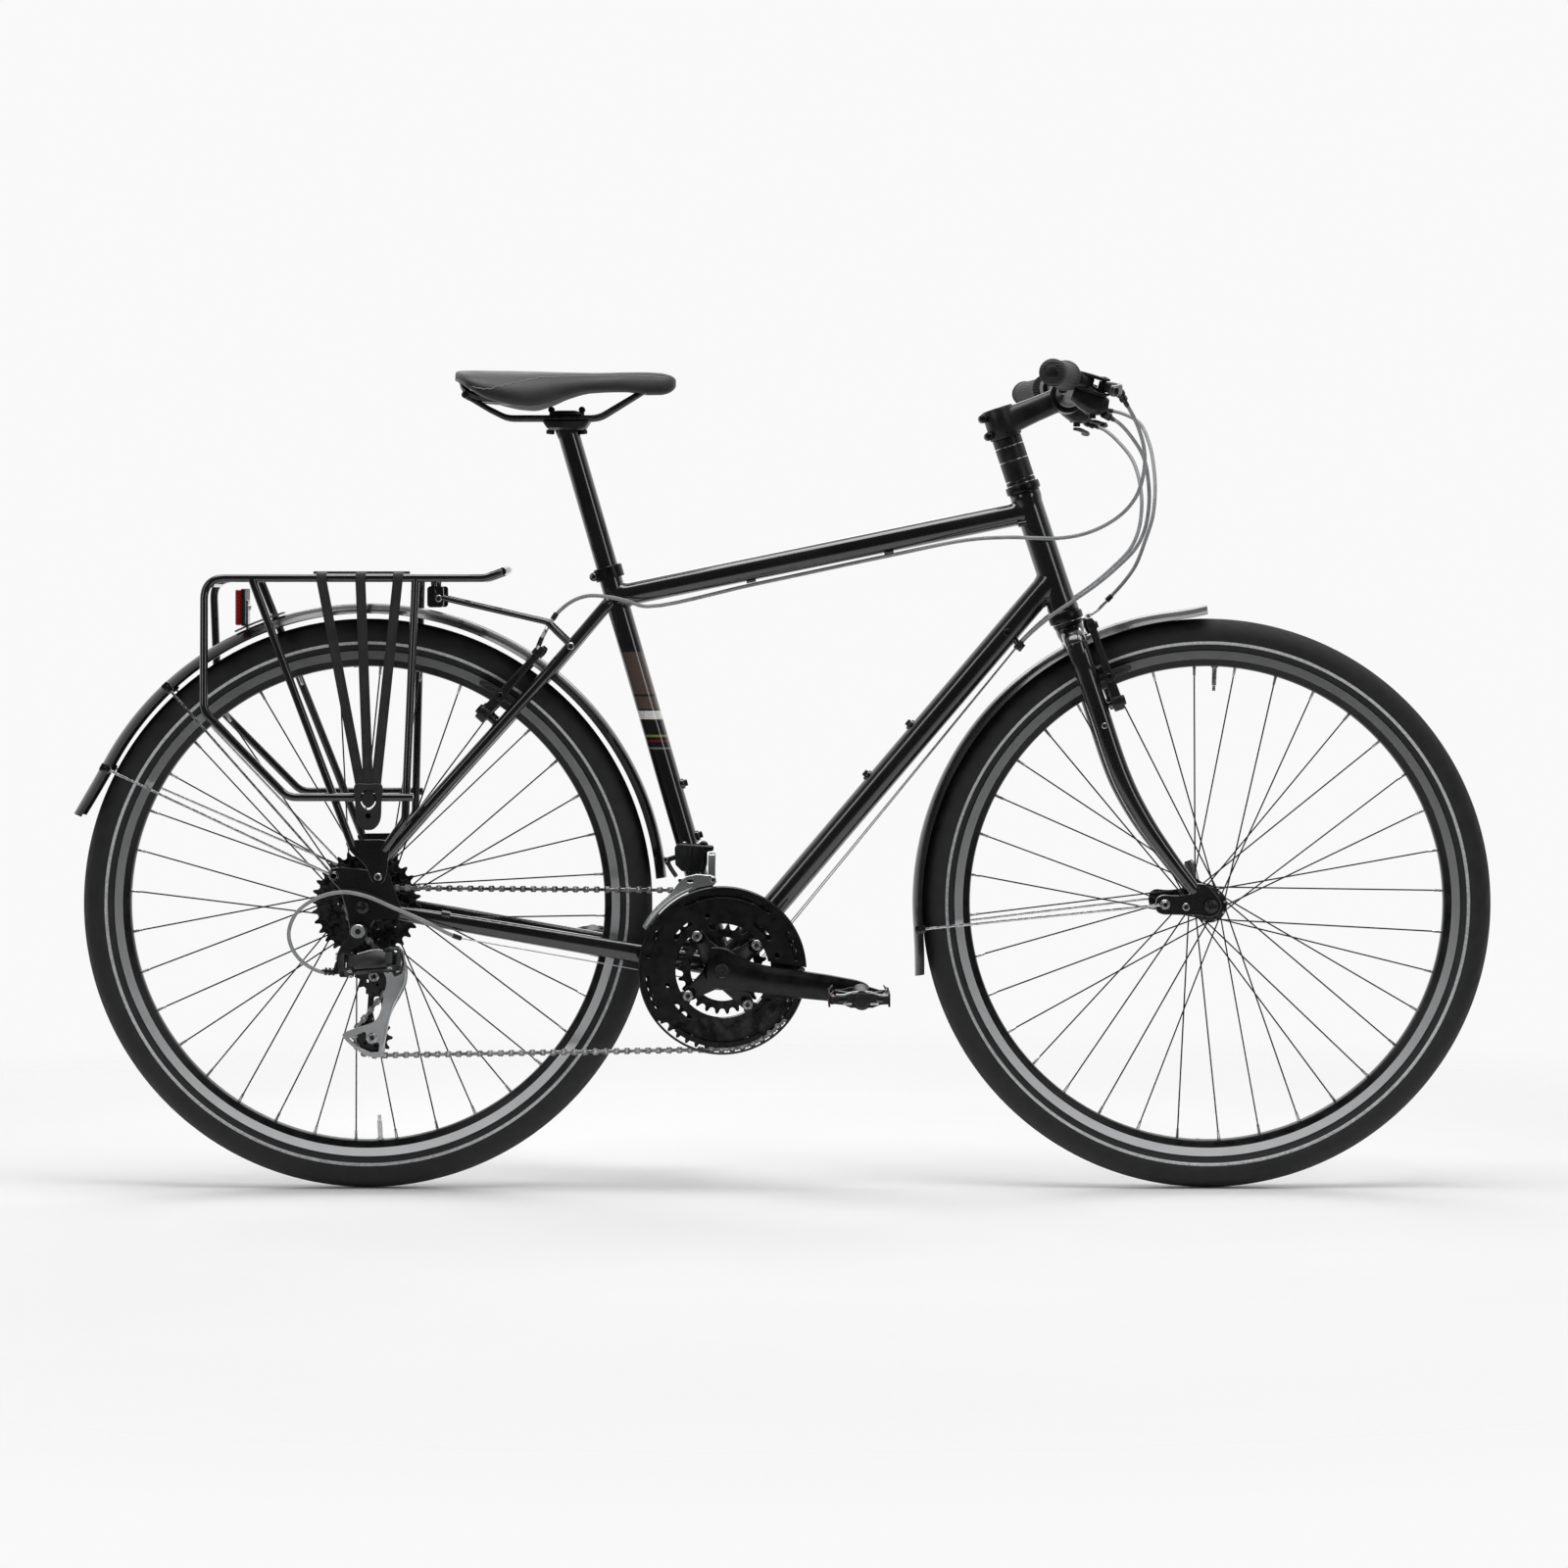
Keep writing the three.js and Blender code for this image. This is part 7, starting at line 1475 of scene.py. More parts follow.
def makeRings(settings):
    guard = settings["guard"]
    tilt = settings["tilt"]
    openOut = math.degrees(math.asin(guard["gap"] / guard["outer"]))
    openIn = math.degrees(math.asin(guard["gap"] / guard["inner"]))
    outline = [around(crankAxle, guard["outer"], tilt + openOut + (360 - 2 * openOut) * s / 140)
               for s in range(141)]
    for s in range(221):
        angle = tilt + 360 - openIn + (2 * openIn - 360) * s / 220
        outline.append(around(crankAxle, webRadius(angle, guard["inner"], 9.6), angle))
    slots = [arcSlot(crankAxle, guard["slotRadius"], low, high, guard["slotWidth"])
             for low, high in settings["guardSlots"]]
    webSlots = [arcSlot(crankAxle, 69.2, bolt - 1.5, bolt + 18, 5.6) for bolt in settings["bolts"]]
    webSlots += [arcSlot(crankAxle, 69.2, bolt - 22, bolt - 20.5, 5.0, 1) for bolt in settings["bolts"]]
    shield = Shape().slab(flat(outline), guard["low"], guard["high"], slots + webSlots, 0.7)
    lip = [around(crankAxle, 101.2, tilt + openOut + (360 - 2 * openOut) * s / 140, guard["low"] - 0.2)
           for s in range(141)]
    shield.tube(lip, 1.3, 8, finish=1)
    for bolt in settings["bolts"]:
        place = around(crankAxle, settings["circle"], bolt)
        shield.turn([(4.4, -57.2), (4.4, -66), (6.4, -66.1), (6.4, -67.2), (5.6, -68.1), (3.2, -68.1),
                     (3.0, -66.4), (0, -66.4)], place, segments=24, finish=2)
        # A dark hexagon on each bolt's recess floor is painted shade for its hex socket.
        shield.turn([(0, -66.5), (2.9, -66.5)], place, segments=6, finish=3)
    build("ring_guard", shield, [anodised, sheenPlastic, boltSteel, blackBolt], "crankset",
          ["large_chainring"], "black_alloy", 34)
    inner = [around(crankAxle, webRadius(k * 2, 59.5, 12.8), k * 2) for k in range(180)]
    for i, (teeth, line, half, finish) in enumerate(settings["rings"]):
        shape = Shape()
        hole = flat(inner) if i < 2 else circle(crankAxle.x, crankAxle.z, 39.2, 72)
        holes = [hole] + (webSlots if i == 0 else [])
        shape.slab(toothed(teeth, crankAxle, phases["ring"], 2.8, 12), line - half, line + half, holes, 0.3)
        if i == 0:
            for k in range(8):
                pin = around(crankAxle, 88.5, 20 + k * 45, line)
                shape.turn([(0, 1.6), (1.6, 1.6), (2.0, 1.1), (2.0, -1.1), (1.6, -1.6), (0, -1.6)], pin,
                           segments=12, finish=1)
        if i == 2:
            for bolt in settings["bolts"]:
                shape.turn([(0, -50), (3, -50), (3, -41.6), (2.4, -41), (0, -41)],
                           around(crankAxle, 46.5, bolt), segments=16, finish=1)
        name = ("outer_ring", "middle_ring", "inner_ring")[i]
        build(name, shape, [finish, boltSteel], "crankset", ["inner_chainrings"] if i else (),
              "black_alloy" if i == 0 else "steel", 32)


def armShape(pale):
    shape = Shape()
    widths = smooth([vec(*station[:3]) for station in armStations], 4)
    levels = smooth([vec(station[0], station[3], station[4]) for station in armStations], 4)
    rings = []
    for (reach, upper, lower), (_, face, depth) in zip(widths, levels):
        back = face + depth
        profile = [(upper * 0.86, back), (upper, back - 2), (upper, face + depth * 0.45),
                   (upper * 0.95, face + depth * 0.3), (upper * 0.52, face + 0.7), (upper * 0.42, face),
                   (-lower * 0.46, face), (-lower * 0.56, face + 0.7), (-lower * 0.95, face + depth * 0.3),
                   (-lower, face + depth * 0.45), (-lower, back - 2), (-lower * 0.86, back)]
        rings.append([onCrank(reach, side, y) for side, y in profile])
    shape.skin(rings)
    shape.turn([(0, -80.9), (7.2, -80.9), (8.0, -81.5), (9.0, -81.5), (9.6, -80.2)], crankAxle, segments=36,
               finish=1)
    shape.turn([(9, -47), (18.6, -47), (20, -48.2), (20, -66), (22, -70), (22, -75)], crankAxle,
               segments=56)
    eye = onCrank(crankset["length"], 0, 0)
    shape.turn([(0, -92.0), (4.5, -92.0), (5.4, -91.4), (8.4, -91.4), (8.6, -92.6), (8.2, -96), (7, -96.2),
                (6.6, -110)], eye, segments=24, finish=pale)
    shape.turn([(6.6, -110), (5.6, -150), (4.5, -190)], eye, segments=20, finish=pale)
    shape.turn([(0, -78.2), (6.4, -78.2), (7.2, -78.9), (10.5, -79.0)], eye, segments=28, finish=pale)
    return shape


def makeCranks():
    right = armShape(2)
    for bolt in crankset["bolts"]:
        out = around(crankAxle, 1, bolt) - crankAxle
        path = smooth([crankAxle + out * reach + vec(0, y, 0)
                       for reach, y in ((6, -69), (22, -67), (40, -60.5), (50, -55.6), (58.5, -54.4))], 4)
        widths = spread([17, 13.5, 9.6, 8.4, 6.2], len(path))
        right.tube(path, widths, 16, flat=spread([0.34, 0.32, 0.34, 0.3, 0.36], len(path)), up=vec(0, 1, 0),
                   square=2.0)
    right.turn([(0, -46), (8.5, -46), (8.5, 60), (7.4, 66), (0, 66)], crankAxle, segments=36, finish=2)
    build("right_crank_and_spider", right, [anodised, blackBolt, silver], "crankset", ["right_crank"],
          "black_alloy", 30)
    turned = Matrix.Translation(crankAxle) @ Matrix.Rotation(math.pi, 4, "Y") @ Matrix.Translation(-crankAxle)
    left = Shape().take(armShape(2).mirrored(), turned)
    build("left_crank_arm", left, [anodised, blackBolt, silver], "crankset", ["left_crank"], "black_alloy",
          30)


def makeCartridge():
    shape = Shape()
    for side in sides:
        shape.turn([(8.9, side * 30), (8.9, side * 36.6), (9.6, side * 37.3), (14.5, side * 37.3),
                    (14.8, side * 36.2), (17.4, side * 36.2), (17.6, side * 37.3), (19.4, side * 37.3),
                    (20, side * 36.7), (20, side * 34.3), (17.2, side * 34.1), (17.2, side * 20)],
                   crankAxle, segments=56)
        for k in range(16):
            shape.turn([(0, side * 37.4), (1.2, side * 37.4), (1.2, side * 36)],
                       around(crankAxle, 16, k * 22.5), segments=8, finish=1)
    shape.turn([(17.2, -21), (17.2, 21)], crankAxle, segments=56)
    shape.turn([(8.9, 31), (8.9, -31)], crankAxle, segments=56)
    build("cartridge_and_cups", shape, [darkSteel, blackBolt], "frame", ["bottom_bracket_cartridge"],
          "steel", 34)


# A plate that stands across the bicycle, from (sideways, up) places
def crossSlab(shape, outline, low, high, holes=(), edge=0.4, finish=0):
    plain = Shape().slab(outline, low, high, holes, edge, finish)
    plain.points = [vec(p.y, p.x, p.z) for p in plain.points]
    return shape.take(plain)


pedals = {"inner": 96.0, "width": 92.0, "rear": 40.0, "front": 34.0, "half": 8.0}


def makePedal(name, centre, side, settings):
    shape = Shape()
    near, far = settings["inner"], settings["inner"] + settings["width"]
    half, rear, front = settings["half"], settings["rear"], settings["front"]
    edge = []
    for k in range(int(settings["width"] / 4)):
        y = near + 2 + k * 4
        edge += [(y, half - 2.6), (y + 1.2, half), (y + 2.6, half)]
    toothedEdge = [(near, half - 2.6)] + edge + [(far, half - 2.6)]
    outline = [(y, -z) for y, z in toothedEdge] + toothedEdge[::-1]
    window = [roundedBox((near + 12 + k * 26, -2.8), (near + 30 + k * 26, 2.8), 2.4) for k in range(3)]
    for way, reach in ((-1, rear), (1, front)):
        low, high = sorted((centre.x + way * reach, centre.x + way * (reach - 2.4)))
        turnedSides = [(side * y, centre.z + z) for y, z in outline]
        holes = [[(side * y, centre.z + z) for y, z in hole] for hole in window]
        crossSlab(shape, turnedSides, low, high, holes, 0.5)
        lens = [(side * y, centre.z + z) for y, z in roundedBox((near + 24, -3.6), (near + 68, 3.6), 1.6)]
        backed = sorted((centre.x + way * (reach - 2.6), centre.x + way * (reach - 7.5)))
        crossSlab(shape, lens, backed[0], backed[1], (), 0.6, 2 if way < 0 else 0)
        for y in (near + 3, far - 4):
            tip = vec(centre.x + way * (reach - 3), side * y, centre.z + half - 2)
            shape.tube([tip, tip + vec(-way * 3.2, 0, 4.6)], [1.7, 0.7], 8, finish=3)
    for low, high in ((near, near + 3), (far - 3, far)):
        arch = [(-rear + 7, -4.5), (-22, -5.4), (-13, -9), (13, -9), (22, -5.4), (front - 1, -4.5),
                (front - 1, 4.4), (22, 4.8), (12, 8), (-12, 8), (-22, 5.2), (-rear + 7, 5.4)]
        places = [(centre.x + x, centre.z + z) for x, z in roundOutline(arch, 3.0)]
        holes = [[(centre.x + way * x, centre.z + z) for x, z in roundedBox((17, -2.2), (29, 2.2), 1.8)]
                 for way in (-1, 1)]
        faces = sorted((side * low, side * high))
        shape.slab(places, faces[0], faces[1], holes, 0.5)
    # A silver line along the top of the outer end plate, and two short silver bars under it, are painted
    # highlights on the plate's edges.
    strip = [vec(centre.x + x, side * (far - 1.4), centre.z + z)
             for x, z in ((-rear + 9, 6.6), (-22, 6.4), (-12, 9.2), (0, 9.6), (12, 9.2), (22, 6.2),
                          (front - 3, 5.6))]
    shape.tube(smooth(strip, 4), 1.3, 10, finish=1)
    for x in (-17, 15):
        shape.tube([vec(centre.x + x - 5, side * (far + 0.2), centre.z - 4.6),
                    vec(centre.x + x + 5, side * (far + 0.2), centre.z - 4.4)], 1.2, 10, finish=1)
    for way, reach in ((-1, rear), (1, front)):
        bar = [vec(centre.x + way * (reach - 4), side * near, centre.z),
               vec(centre.x + way * 20, side * (near + 24), centre.z),
               vec(centre.x + way * 11, side * (near + 44), centre.z)]
        shape.tube(smooth(bar, 5), 3.4, 10, flat=1.5, up=vec(0, 0, 1))
        bar = [vec(p.x, side * (near + far) - p.y, p.z) for p in bar]
        shape.tube(smooth(bar, 5), 3.4, 10, flat=1.5, up=vec(0, 0, 1))
    barrel = [(8, near + 0.2), (11.2, near + 0.6), (12, near + 2), (12, near + 8), (10, near + 14),
              (9.2, near + 40), (9.2, near + 60), (10, far - 14), (12, far - 8), (12, far - 2),
              (11.2, far - 0.4), (9.6, far), (9.2, far + 1.6), (8, far + 2.4), (0, far + 2.6)]
    shape.turn([(radius, side * y) for radius, y in barrel], vec(centre.x, 0, centre.z), segments=36)
    build(name, shape, [satinPlastic, silver, redLens, boltSteel], name, [name], "black_plastic", 32)


def roundOutline(places, radius, steps=3):
    corners = [vec(x, z, 0) for x, z in places]
    looped = roundCorners([corners[-1]] + corners + [corners[0]], radius, steps)
    return [(p.x, p.y) for p in looped[1:-1]]


makeRings(crankset)
makeCranks()
makeCartridge()
makePedal("right_pedal", onCrank(crankset["length"], 0, 0), -1, pedals)
makePedal("left_pedal", onCrank(-crankset["length"], 0, 0), 1, pedals)
print("stage: crankset and pedals ready")

# Front derailleur: clamp and body on the seat tube, cage over the rings

shifter = {"clampLow": 400, "bar": (420.5, 402, 429.5, 414)}


def makeFrontDerailleur(settings):
    body = Shape()
    low = onSeatTube(settings["clampLow"])
    turnBands(body, [(14.4, 0, 0), (17.4, 0, 0), (18, 0.6, 0), (18, 15.4, 0), (17.4, 16, 0), (14.4, 16, 0)],
              low, seatUp, 56)
    block = [(380, 400), (388, 392), (416, 390.5), (419, 400), (419, 416), (427, 417), (427, 423),
             (384, 426), (379, 421)]
    body.slab(roundOutline(block, 2.6), -34, -14, (), 1.6, 1)
    rib = [(389, 396), (396, 394), (403, 424), (398, 425)]
    body.slab(roundOutline(rib, 2.0), -36, -33, (), 1.2, 1)
    rib = [(405, 395), (412, 394), (418, 415), (412, 424)]
    body.slab(roundOutline(rib, 2.0), -35.4, -33, (), 1.2, 1)
    forward = vec(seatUp.z, 0, -seatUp.x)
    pinch = onSeatTube(417) + forward * 19
    body.tube([pinch + vec(0, -20, 0), pinch + vec(0, -6, 0)], 6.0, 20, eased=1.2, finish=2)
    boltHead(body, pinch + vec(0, -20, 0), vec(0, -1, 0), 5.4, 4.4, 2, 2)
    for x, z in ((391, 425.4), (407, 424.4)):
        boltHead(body, vec(x, -26, z), vec(0.1, 0, 1), 2.6, 2.4, 3, 2)
    link = smooth([vec(369, -24, 405), vec(374, -28, 396), vec(381, -33, 386)], 5)
    body.tube(link, [3.4] * 3 + [2.8] * (len(link) - 3), 12, finish=2)
    boltHead(body, vec(368, -26, 406), vec(0, -1, 0), 3.6, 3.4, 3, 2)
    body.tube([vec(369, -22, 405), vec(384, -22, 410)], 3.2, 12, finish=2)
    build("front_derailleur_body", body, [blackBolt, forged, blackBolt, boltSteel], "frame", ["seat_tube"],
          "gloss_black_paint", 34)
    cage = Shape()

    def arc(radius, first, last, steps):
        return flat(around(crankAxle, radius, first + (last - first) * s / steps) for s in range(steps + 1))

    outer = arc(104.8, 152, 95.5, 30) + [(431, 381), (430, 386), (424, 389), (407, 390.5), (395, 388),
                                         (386, 381)] + arc(111.5, 127, 151, 14)
    cage.slab(outer, -66.1, -64.7, [[(399 + 4.6 * math.cos(a), 382.6 + 2.6 * math.sin(a))
                                     for a in (k * math.tau / 20 for k in range(20))]], 0.5)
    inner = arc(92.5, 149, 99.5, 26) + [(429, 381), (428, 386.6), (420, 387), (393, 387),
                                        (386, 381)] + arc(111.5, 127, 147, 12)
    cage.slab(inner, -52.6, -51.4, [arcSlot(crankAxle, 102, 112, 138, 3.4)], 0.4)
    # A dark sheet that closes the outer plate's hole from behind is painted shade inside the hole.
    holeShade = [(398.8 + 4.9 * math.cos(a), 382.6 + 2.9 * math.sin(a))
              for a in (k * math.tau / 20 for k in range(20))]
    cage.slab(holeShade, -64.8, -64.2, (), 0.2, 1)
    cage.slab(roundOutline([(395, 384), (429.5, 384), (429.5, 387.2), (395, 387.2)], 1.2), -65.2, -51.8, (),
              0.4)
    x0, z0, x1, z1 = settings["bar"]
    cage.slab(roundOutline([(x0, 384), (x1, 384), (x1, z1), (x0, z1)], 2.0), -56.2, -51.4, (), 0.8)
    cage.slab(roundOutline([(x0 + 0.2, z0 + 0.2), (x1 - 0.2, z0 + 0.2), (x1 - 0.2, z1 - 0.2),
                            (x0 + 0.2, z1 - 0.2)], 2.0), -56, -12, (), 0.6, 1)
    ridge = [around(crankAxle, 108.4, 150 - 40 * s / 16, -66.2) for s in range(17)]
    cage.tube(ridge, [0.6] + [1.4] * 15 + [0.6], 8, flat=0.5, up=vec(0, 1, 0))
    boltHead(cage, vec(427, -65.6, 384), vec(0, -1, 0), 3.6, 2.4, 2, 1)
    boltHead(cage, vec(386.5, -54.6, 382), vec(0, -1, 0), 2.8, 1.8, 2, 1)
    build("front_derailleur_cage_plates", cage, [silver, blackBolt, boltSteel], "front_derailleur",
          ["front_derailleur_cage"], "steel", 32)


makeFrontDerailleur(shifter)

# Rear derailleur: mount, two links, knuckle and cage

slant, restTilt = math.radians(32), math.radians(10)
inward = vec(0, math.cos(slant), -math.sin(slant))
linkAxis = vec(0, math.sin(slant), math.cos(slant))
linkWay = vec(math.cos(restTilt), 0, 0) - inward * math.sin(restTilt)
derailleur = {
    "pivot": vec(-14, -82, 281), "length": 50.0, "spread": 7.0, "hanger": vec(-5, 0, 322),
    "cagePivot": vec(34, 0, 284),
    "outer": [(24, 292), (38, 296), (49, 290), (54, 275), (52.5, 256), (46, 242), (36, 224), (28, 199),
              (24.4, 170), (20, 167), (8, 168), (-10, 177.5), (-25.6, 193.6), (-22.6, 197.6), (1, 206),
              (14, 211.6), (20, 221), (25.4, 245), (28, 262), (22, 276)],
    "inner": [(2, 288), (14, 292), (24, 284), (26, 262), (29, 214), (25, 172), (8, 166), (-6, 178),
              (-8, 196), (3, 214), (6, 262)],
    "guide": vec(13, 0, 266), "tension": vec(10.7, 0, 191),
}
linkEnd = derailleur["pivot"] + linkWay * derailleur["length"]


def pinPlace(end, way):
    return end + inward * (way * derailleur["spread"])


def skewed(shape, outline, low, high, centre, edge=0.6, finish=0):
    plain = Shape().slab(outline, low, high, (), edge, finish)
    plain.points = [centre + vec(p.x, 0, 0) + inward * p.z + linkAxis * p.y for p in plain.points]
    return shape.take(plain)


def derailleurEars(shape, end, reach):
    way = 1 if reach > 0 else -1
    near, far = sorted((-way * 4.0, reach))
    for face in (-1, 1):
        faces = sorted((face * 8.8, face * 11.6))
        skewed(shape, roundOutline([(near, -10.5), (far, -11), (far, 11), (near, 10.5)], 3.6), faces[0],
               faces[1], end, 0.7)
        for pin in (-1, 1):
            head = pinPlace(end, pin) + linkAxis * (face * 11.4)
            boltHead(shape, head, linkAxis * face, 2.9, 1.4, 2, 3)
    for pin in (-1, 1):
        shape.tube([pinPlace(end, pin) - linkAxis * 10, pinPlace(end, pin) + linkAxis * 10], 1.9, 14,
                   finish=2)
    back = sorted((way * 6.4, reach))
    skewed(shape, roundOutline([(back[0], -11), (back[1], -11), (back[1], 11), (back[0], 11)], 2.4), -11.6,
           11.6, end, 1.0)


def makeMount(settings):
    shape = Shape()
    hanger, pivot = settings["hanger"], settings["pivot"]
    arm = [(-15, 317), (-10, 327), (-2, 331), (5, 327), (6, 319), (1, 305), (-12, 298), (-19, 292),
           (-21, 284), (-32, 280), (-30, 296), (-24, 308)]
    shape.slab(roundOutline(arm, 3.2), -85.8, -75.2, (), 1.6)
    shape.turn([(9.5, -73.8), (10.6, -75), (10.6, -84), (9.8, -85.6), (8.4, -86)], hanger, segments=40)
    shape.turn([(8.6, -84), (8.6, -86.6), (7.8, -87.4), (4.2, -87.4), (4.0, -86), (0, -86)], hanger,
               segments=36, finish=1)
    # A dark hexagon on the hanger bolt's recess floor is painted shade for its hex socket.
    shape.turn([(0, -86.1), (3.8, -86.1)], hanger, segments=6, finish=3)
    derailleurEars(shape, pivot, -14)
    stop = [vec(-27, -83, 284), vec(-29, -83, 276), vec(-27.5, -83, 271)]
    shape.tube(smooth(stop, 4), 5.6, 18, eased=1.2)
    for k in range(3):
        shape.turn([(2.6, 0), (4.7, 0.3), (4.7, 3.0), (2.6, 3.3)],
                   vec(-33 - k * 4.6, -83.2, 272.8 + k * 0.2), vec(-1, 0, 0.04), 16, 3, True)
    shape.tube([vec(-26, -83, 272.6), vec(-49, -83.6, 273.4)], 2.7, 12, finish=3)
    for z in (289, 294):
        boltHead(shape, vec(-30, -80, z), vec(-1, 0, 0.1), 2.2, 2.4, 1, 3)
    build("derailleur_mount_and_arm", shape, [forged, silver, boltSteel, blackBolt], "frame",
          ["rear_derailleur_mount"], "black_plastic", 36)


def makeLink(name, node, way, body, finish, edgeHighlight):
    shape = Shape()
    start, end = pinPlace(derailleur["pivot"], way), pinPlace(linkEnd, way)
    across = linkAxis.cross(linkWay).normalized()
    outline = []
    for centre, first in ((start, 90), (end, -90)):
        outline += [(centre, math.radians(first + 18 * k)) for k in range(11)]
    rings = []
    for level, radius in ((-8.4, 3.6), (-7.6, 4.4), (7.6, 4.4), (8.4, 3.6)):
        rings.append([centre + linkWay * (radius * math.cos(a)) + across * (radius * math.sin(a))
                      + linkAxis * level for centre, a in outline])
    shape.skin(rings)
    if way < 0:
        cover = smooth([vec(*p) for p in ((4, 0.2, 7.4), (13, 1.2, 9.6), (26, 2.4, 11.8), (38, 2.2, 11.6),
                                          (45, 0.6, 8.4))], 4)
        rings = []
        for p in cover:
            base = start + linkWay * p.x
            section = [(2.6, -p.z), (4.6 + p.y * 0.4, -p.z + 1.6), (4.8 + p.y, -p.z * 0.4),
                       (4.8 + p.y, p.z * 0.3), (4.2 + p.y * 0.5, p.z - 1.2), (2.6, p.z)]
            rings.append([base - across * out + linkAxis * level for out, level in section])
        shape.skin(rings, 0)
        # A silver line along the cover's upper edge is a painted highlight.
        edge = [start + linkWay * p.x - across * (3.6 + p.y * 0.5) + linkAxis * (p.z - 0.6)
                for p in cover[3:-2]]
        shape.tube(edge, [0.4] + [1.1] * (len(edge) - 2) + [0.4], 10, finish=1)
    build(name, shape, [finish, edgeHighlight, blackBolt], body, [node],
          "silver_alloy" if way < 0 else "black_plastic", 34)


def makeKnuckle(settings):
    shape = Shape()
    pivot = settings["cagePivot"]
    shape.turn([(0, -67.2), (13, -67.2), (14, -68.2), (14, -72.4), (12.8, -73.6), (9, -74), (8.4, -75),
                (0, -75)], pivot, segments=48)
    shell = [(24, 300), (34, 304), (44, 303), (50, 296), (52, 284), (49, 271), (40, 267), (36, 274),
             (40, 286), (36, 295), (27, 296)]
    shape.slab(roundOutline(shell, 2.6), -92.6, -67.6, (), 2.0)
    shape.slab(roundOutline([(38, 300), (46, 299), (49.6, 286), (47, 274), (41.5, 272), (44, 286)], 2.0),
               -94.4, -92, (), 1.2, 1)
    derailleurEars(shape, linkEnd, 13)
    boltHead(shape, pivot + vec(0, -74.6, 0), vec(0, -1, 0), 5.4, 1.4, 3, 3)
    build("derailleur_knuckle", shape, [forged, silver, boltSteel, blackBolt], "knuckle",
          ["rear_derailleur_knuckle"], "black_plastic", 36)


def makeCage(settings):
    shape = Shape()
    windows = [roundOutline([(-17.6, 190.4), (2, 198.6), (3.6, 195), (3, 189), (6, 184.6), (11, 183.2),
                             (16, 185.4), (19.6, 184), (18.6, 174), (8, 173.4), (-6, 180)], 1.4)]
    shape.slab(smoothOutline(settings["outer"], 4), -66.9, -65.3, windows, 0.5)
    ear = roundOutline([(1, 282), (6, 288), (24, 292), (31, 284), (28, 262), (6, 261)], 3.0)
    shape.slab(ear, -66.7, -65.4, (), 0.4, 3)
    edge = [vec(x, -67.0, z) for x, z in ((45, 290), (50.6, 274), (49, 258), (34, 226), (23.4, 176))]
    shape.tube(smooth(edge, 6), [0.6] + [1.8] * 23 + [0.6], 8, flat=0.4, up=vec(0, 1, 0))
    inner = roundOutline(settings["inner"], 4.0)
    holes = [roundOutline([(10, 210), (22, 210), (20, 240), (12, 240)], 3.0)]
    shape.slab(inner, -53.7, -52.1, holes, 0.5, 1)
    for centre in (settings["guide"], settings["tension"]):
        shape.turn([(2.4, -53), (2.4, -66.6), (6.2, -66.8), (6.2, -67.6), (5.4, -68.4), (3.4, -68.4),
                    (3.2, -67), (0, -67)], centre, segments=24, finish=2)
        # A dark hexagon on each pulley bolt's recess floor is painted shade for its hex socket.
        shape.turn([(0, -67.1), (3.1, -67.1)], centre, segments=6, finish=3)
        shape.turn([(0, -51.4), (4, -51.4), (4.6, -52), (4.6, -53)], centre, segments=20, finish=2)
    shape.turn([(0, -71), (4, -71), (4, -65)], settings["cagePivot"], segments=24, finish=2)
    shape.tube([vec(28.5, -60, 207), vec(28.5, -53, 207)], 1.6, 10, finish=2)
    build("derailleur_cage_plates", shape, [silver, darkSteel, boltSteel, blackBolt], "derailleur_cage",
          ["rear_derailleur_cage"], "silver_alloy", 34)


def makePulley(name, centre, phase):
    shape = Shape()
    place = vec(centre.x, chain["line"], centre.z)
    holes = [circle(centre.x, centre.z, 6.4, 28)]
    holes += [circle(centre.x + 11.2 * math.cos(k * math.tau / 5),
                     centre.z + 11.2 * math.sin(k * math.tau / 5), 2.1, 14) for k in range(5)]
    shape.slab(toothed(11, centre, phase, 2.3, 14, 0.85), place.y - 1.1, place.y + 1.1, holes, 0.35)
    for side in sides:
        shape.turn([(2.7, side * 1.6), (6.4, side * 1.6), (7.2, side * 0.9), (7.2, side * 0.4)], place,
                   segments=28, finish=1)
    shape.turn([(2.7, -1.6), (2.7, 1.6)], place, segments=28, finish=1)
    build(name + "_teeth", shape, [satinPlastic, chainSteel], name, [name], "black_plastic", 32)


makeMount(derailleur)
makeLink("derailleur_outer_plate", "rear_derailleur_outer_link", -1, "outer_link", satinPlastic, silver)
makeLink("derailleur_inner_plate", "rear_derailleur_inner_link", 1, "inner_link", satinPlastic, forged)
makeKnuckle(derailleur)
makeCage(derailleur)
makePulley("guide_pulley", derailleur["guide"], phases["guide"])
makePulley("tension_pulley", derailleur["tension"], phases["tension"])
print("stage: derailleurs ready")

# Cockpit: stem, bar, grips, perches with pods, and the levers

barMiddle = vec(863, 0, 977)
barHalf = [(0, 0, 0), (30, 0, 0), (50, 0, 1), (110, -3, 14), (170, -12, 17), (305, -37, 15)]
bar = {"radius": 11.1, "middle": 15.9, "ends": 305.0, "grip": 128.0}
leverAxis = vec(12, 0, 42).normalized()


def barAt(y):
    side = 1 if y > 0 else -1
    for a, b in zip(barHalf, barHalf[1:]):
        if abs(y) <= b[0]:
            low, high = (barMiddle + vec(back, side * at, rise) for at, back, rise in (a, b))
            return between(low, high, (abs(y) - a[0]) / (b[0] - a[0])), (high - low).normalized()


def besideBar(point, side, steps):
    return [point + vec(forward, side * out, up) for forward, out, up in steps]


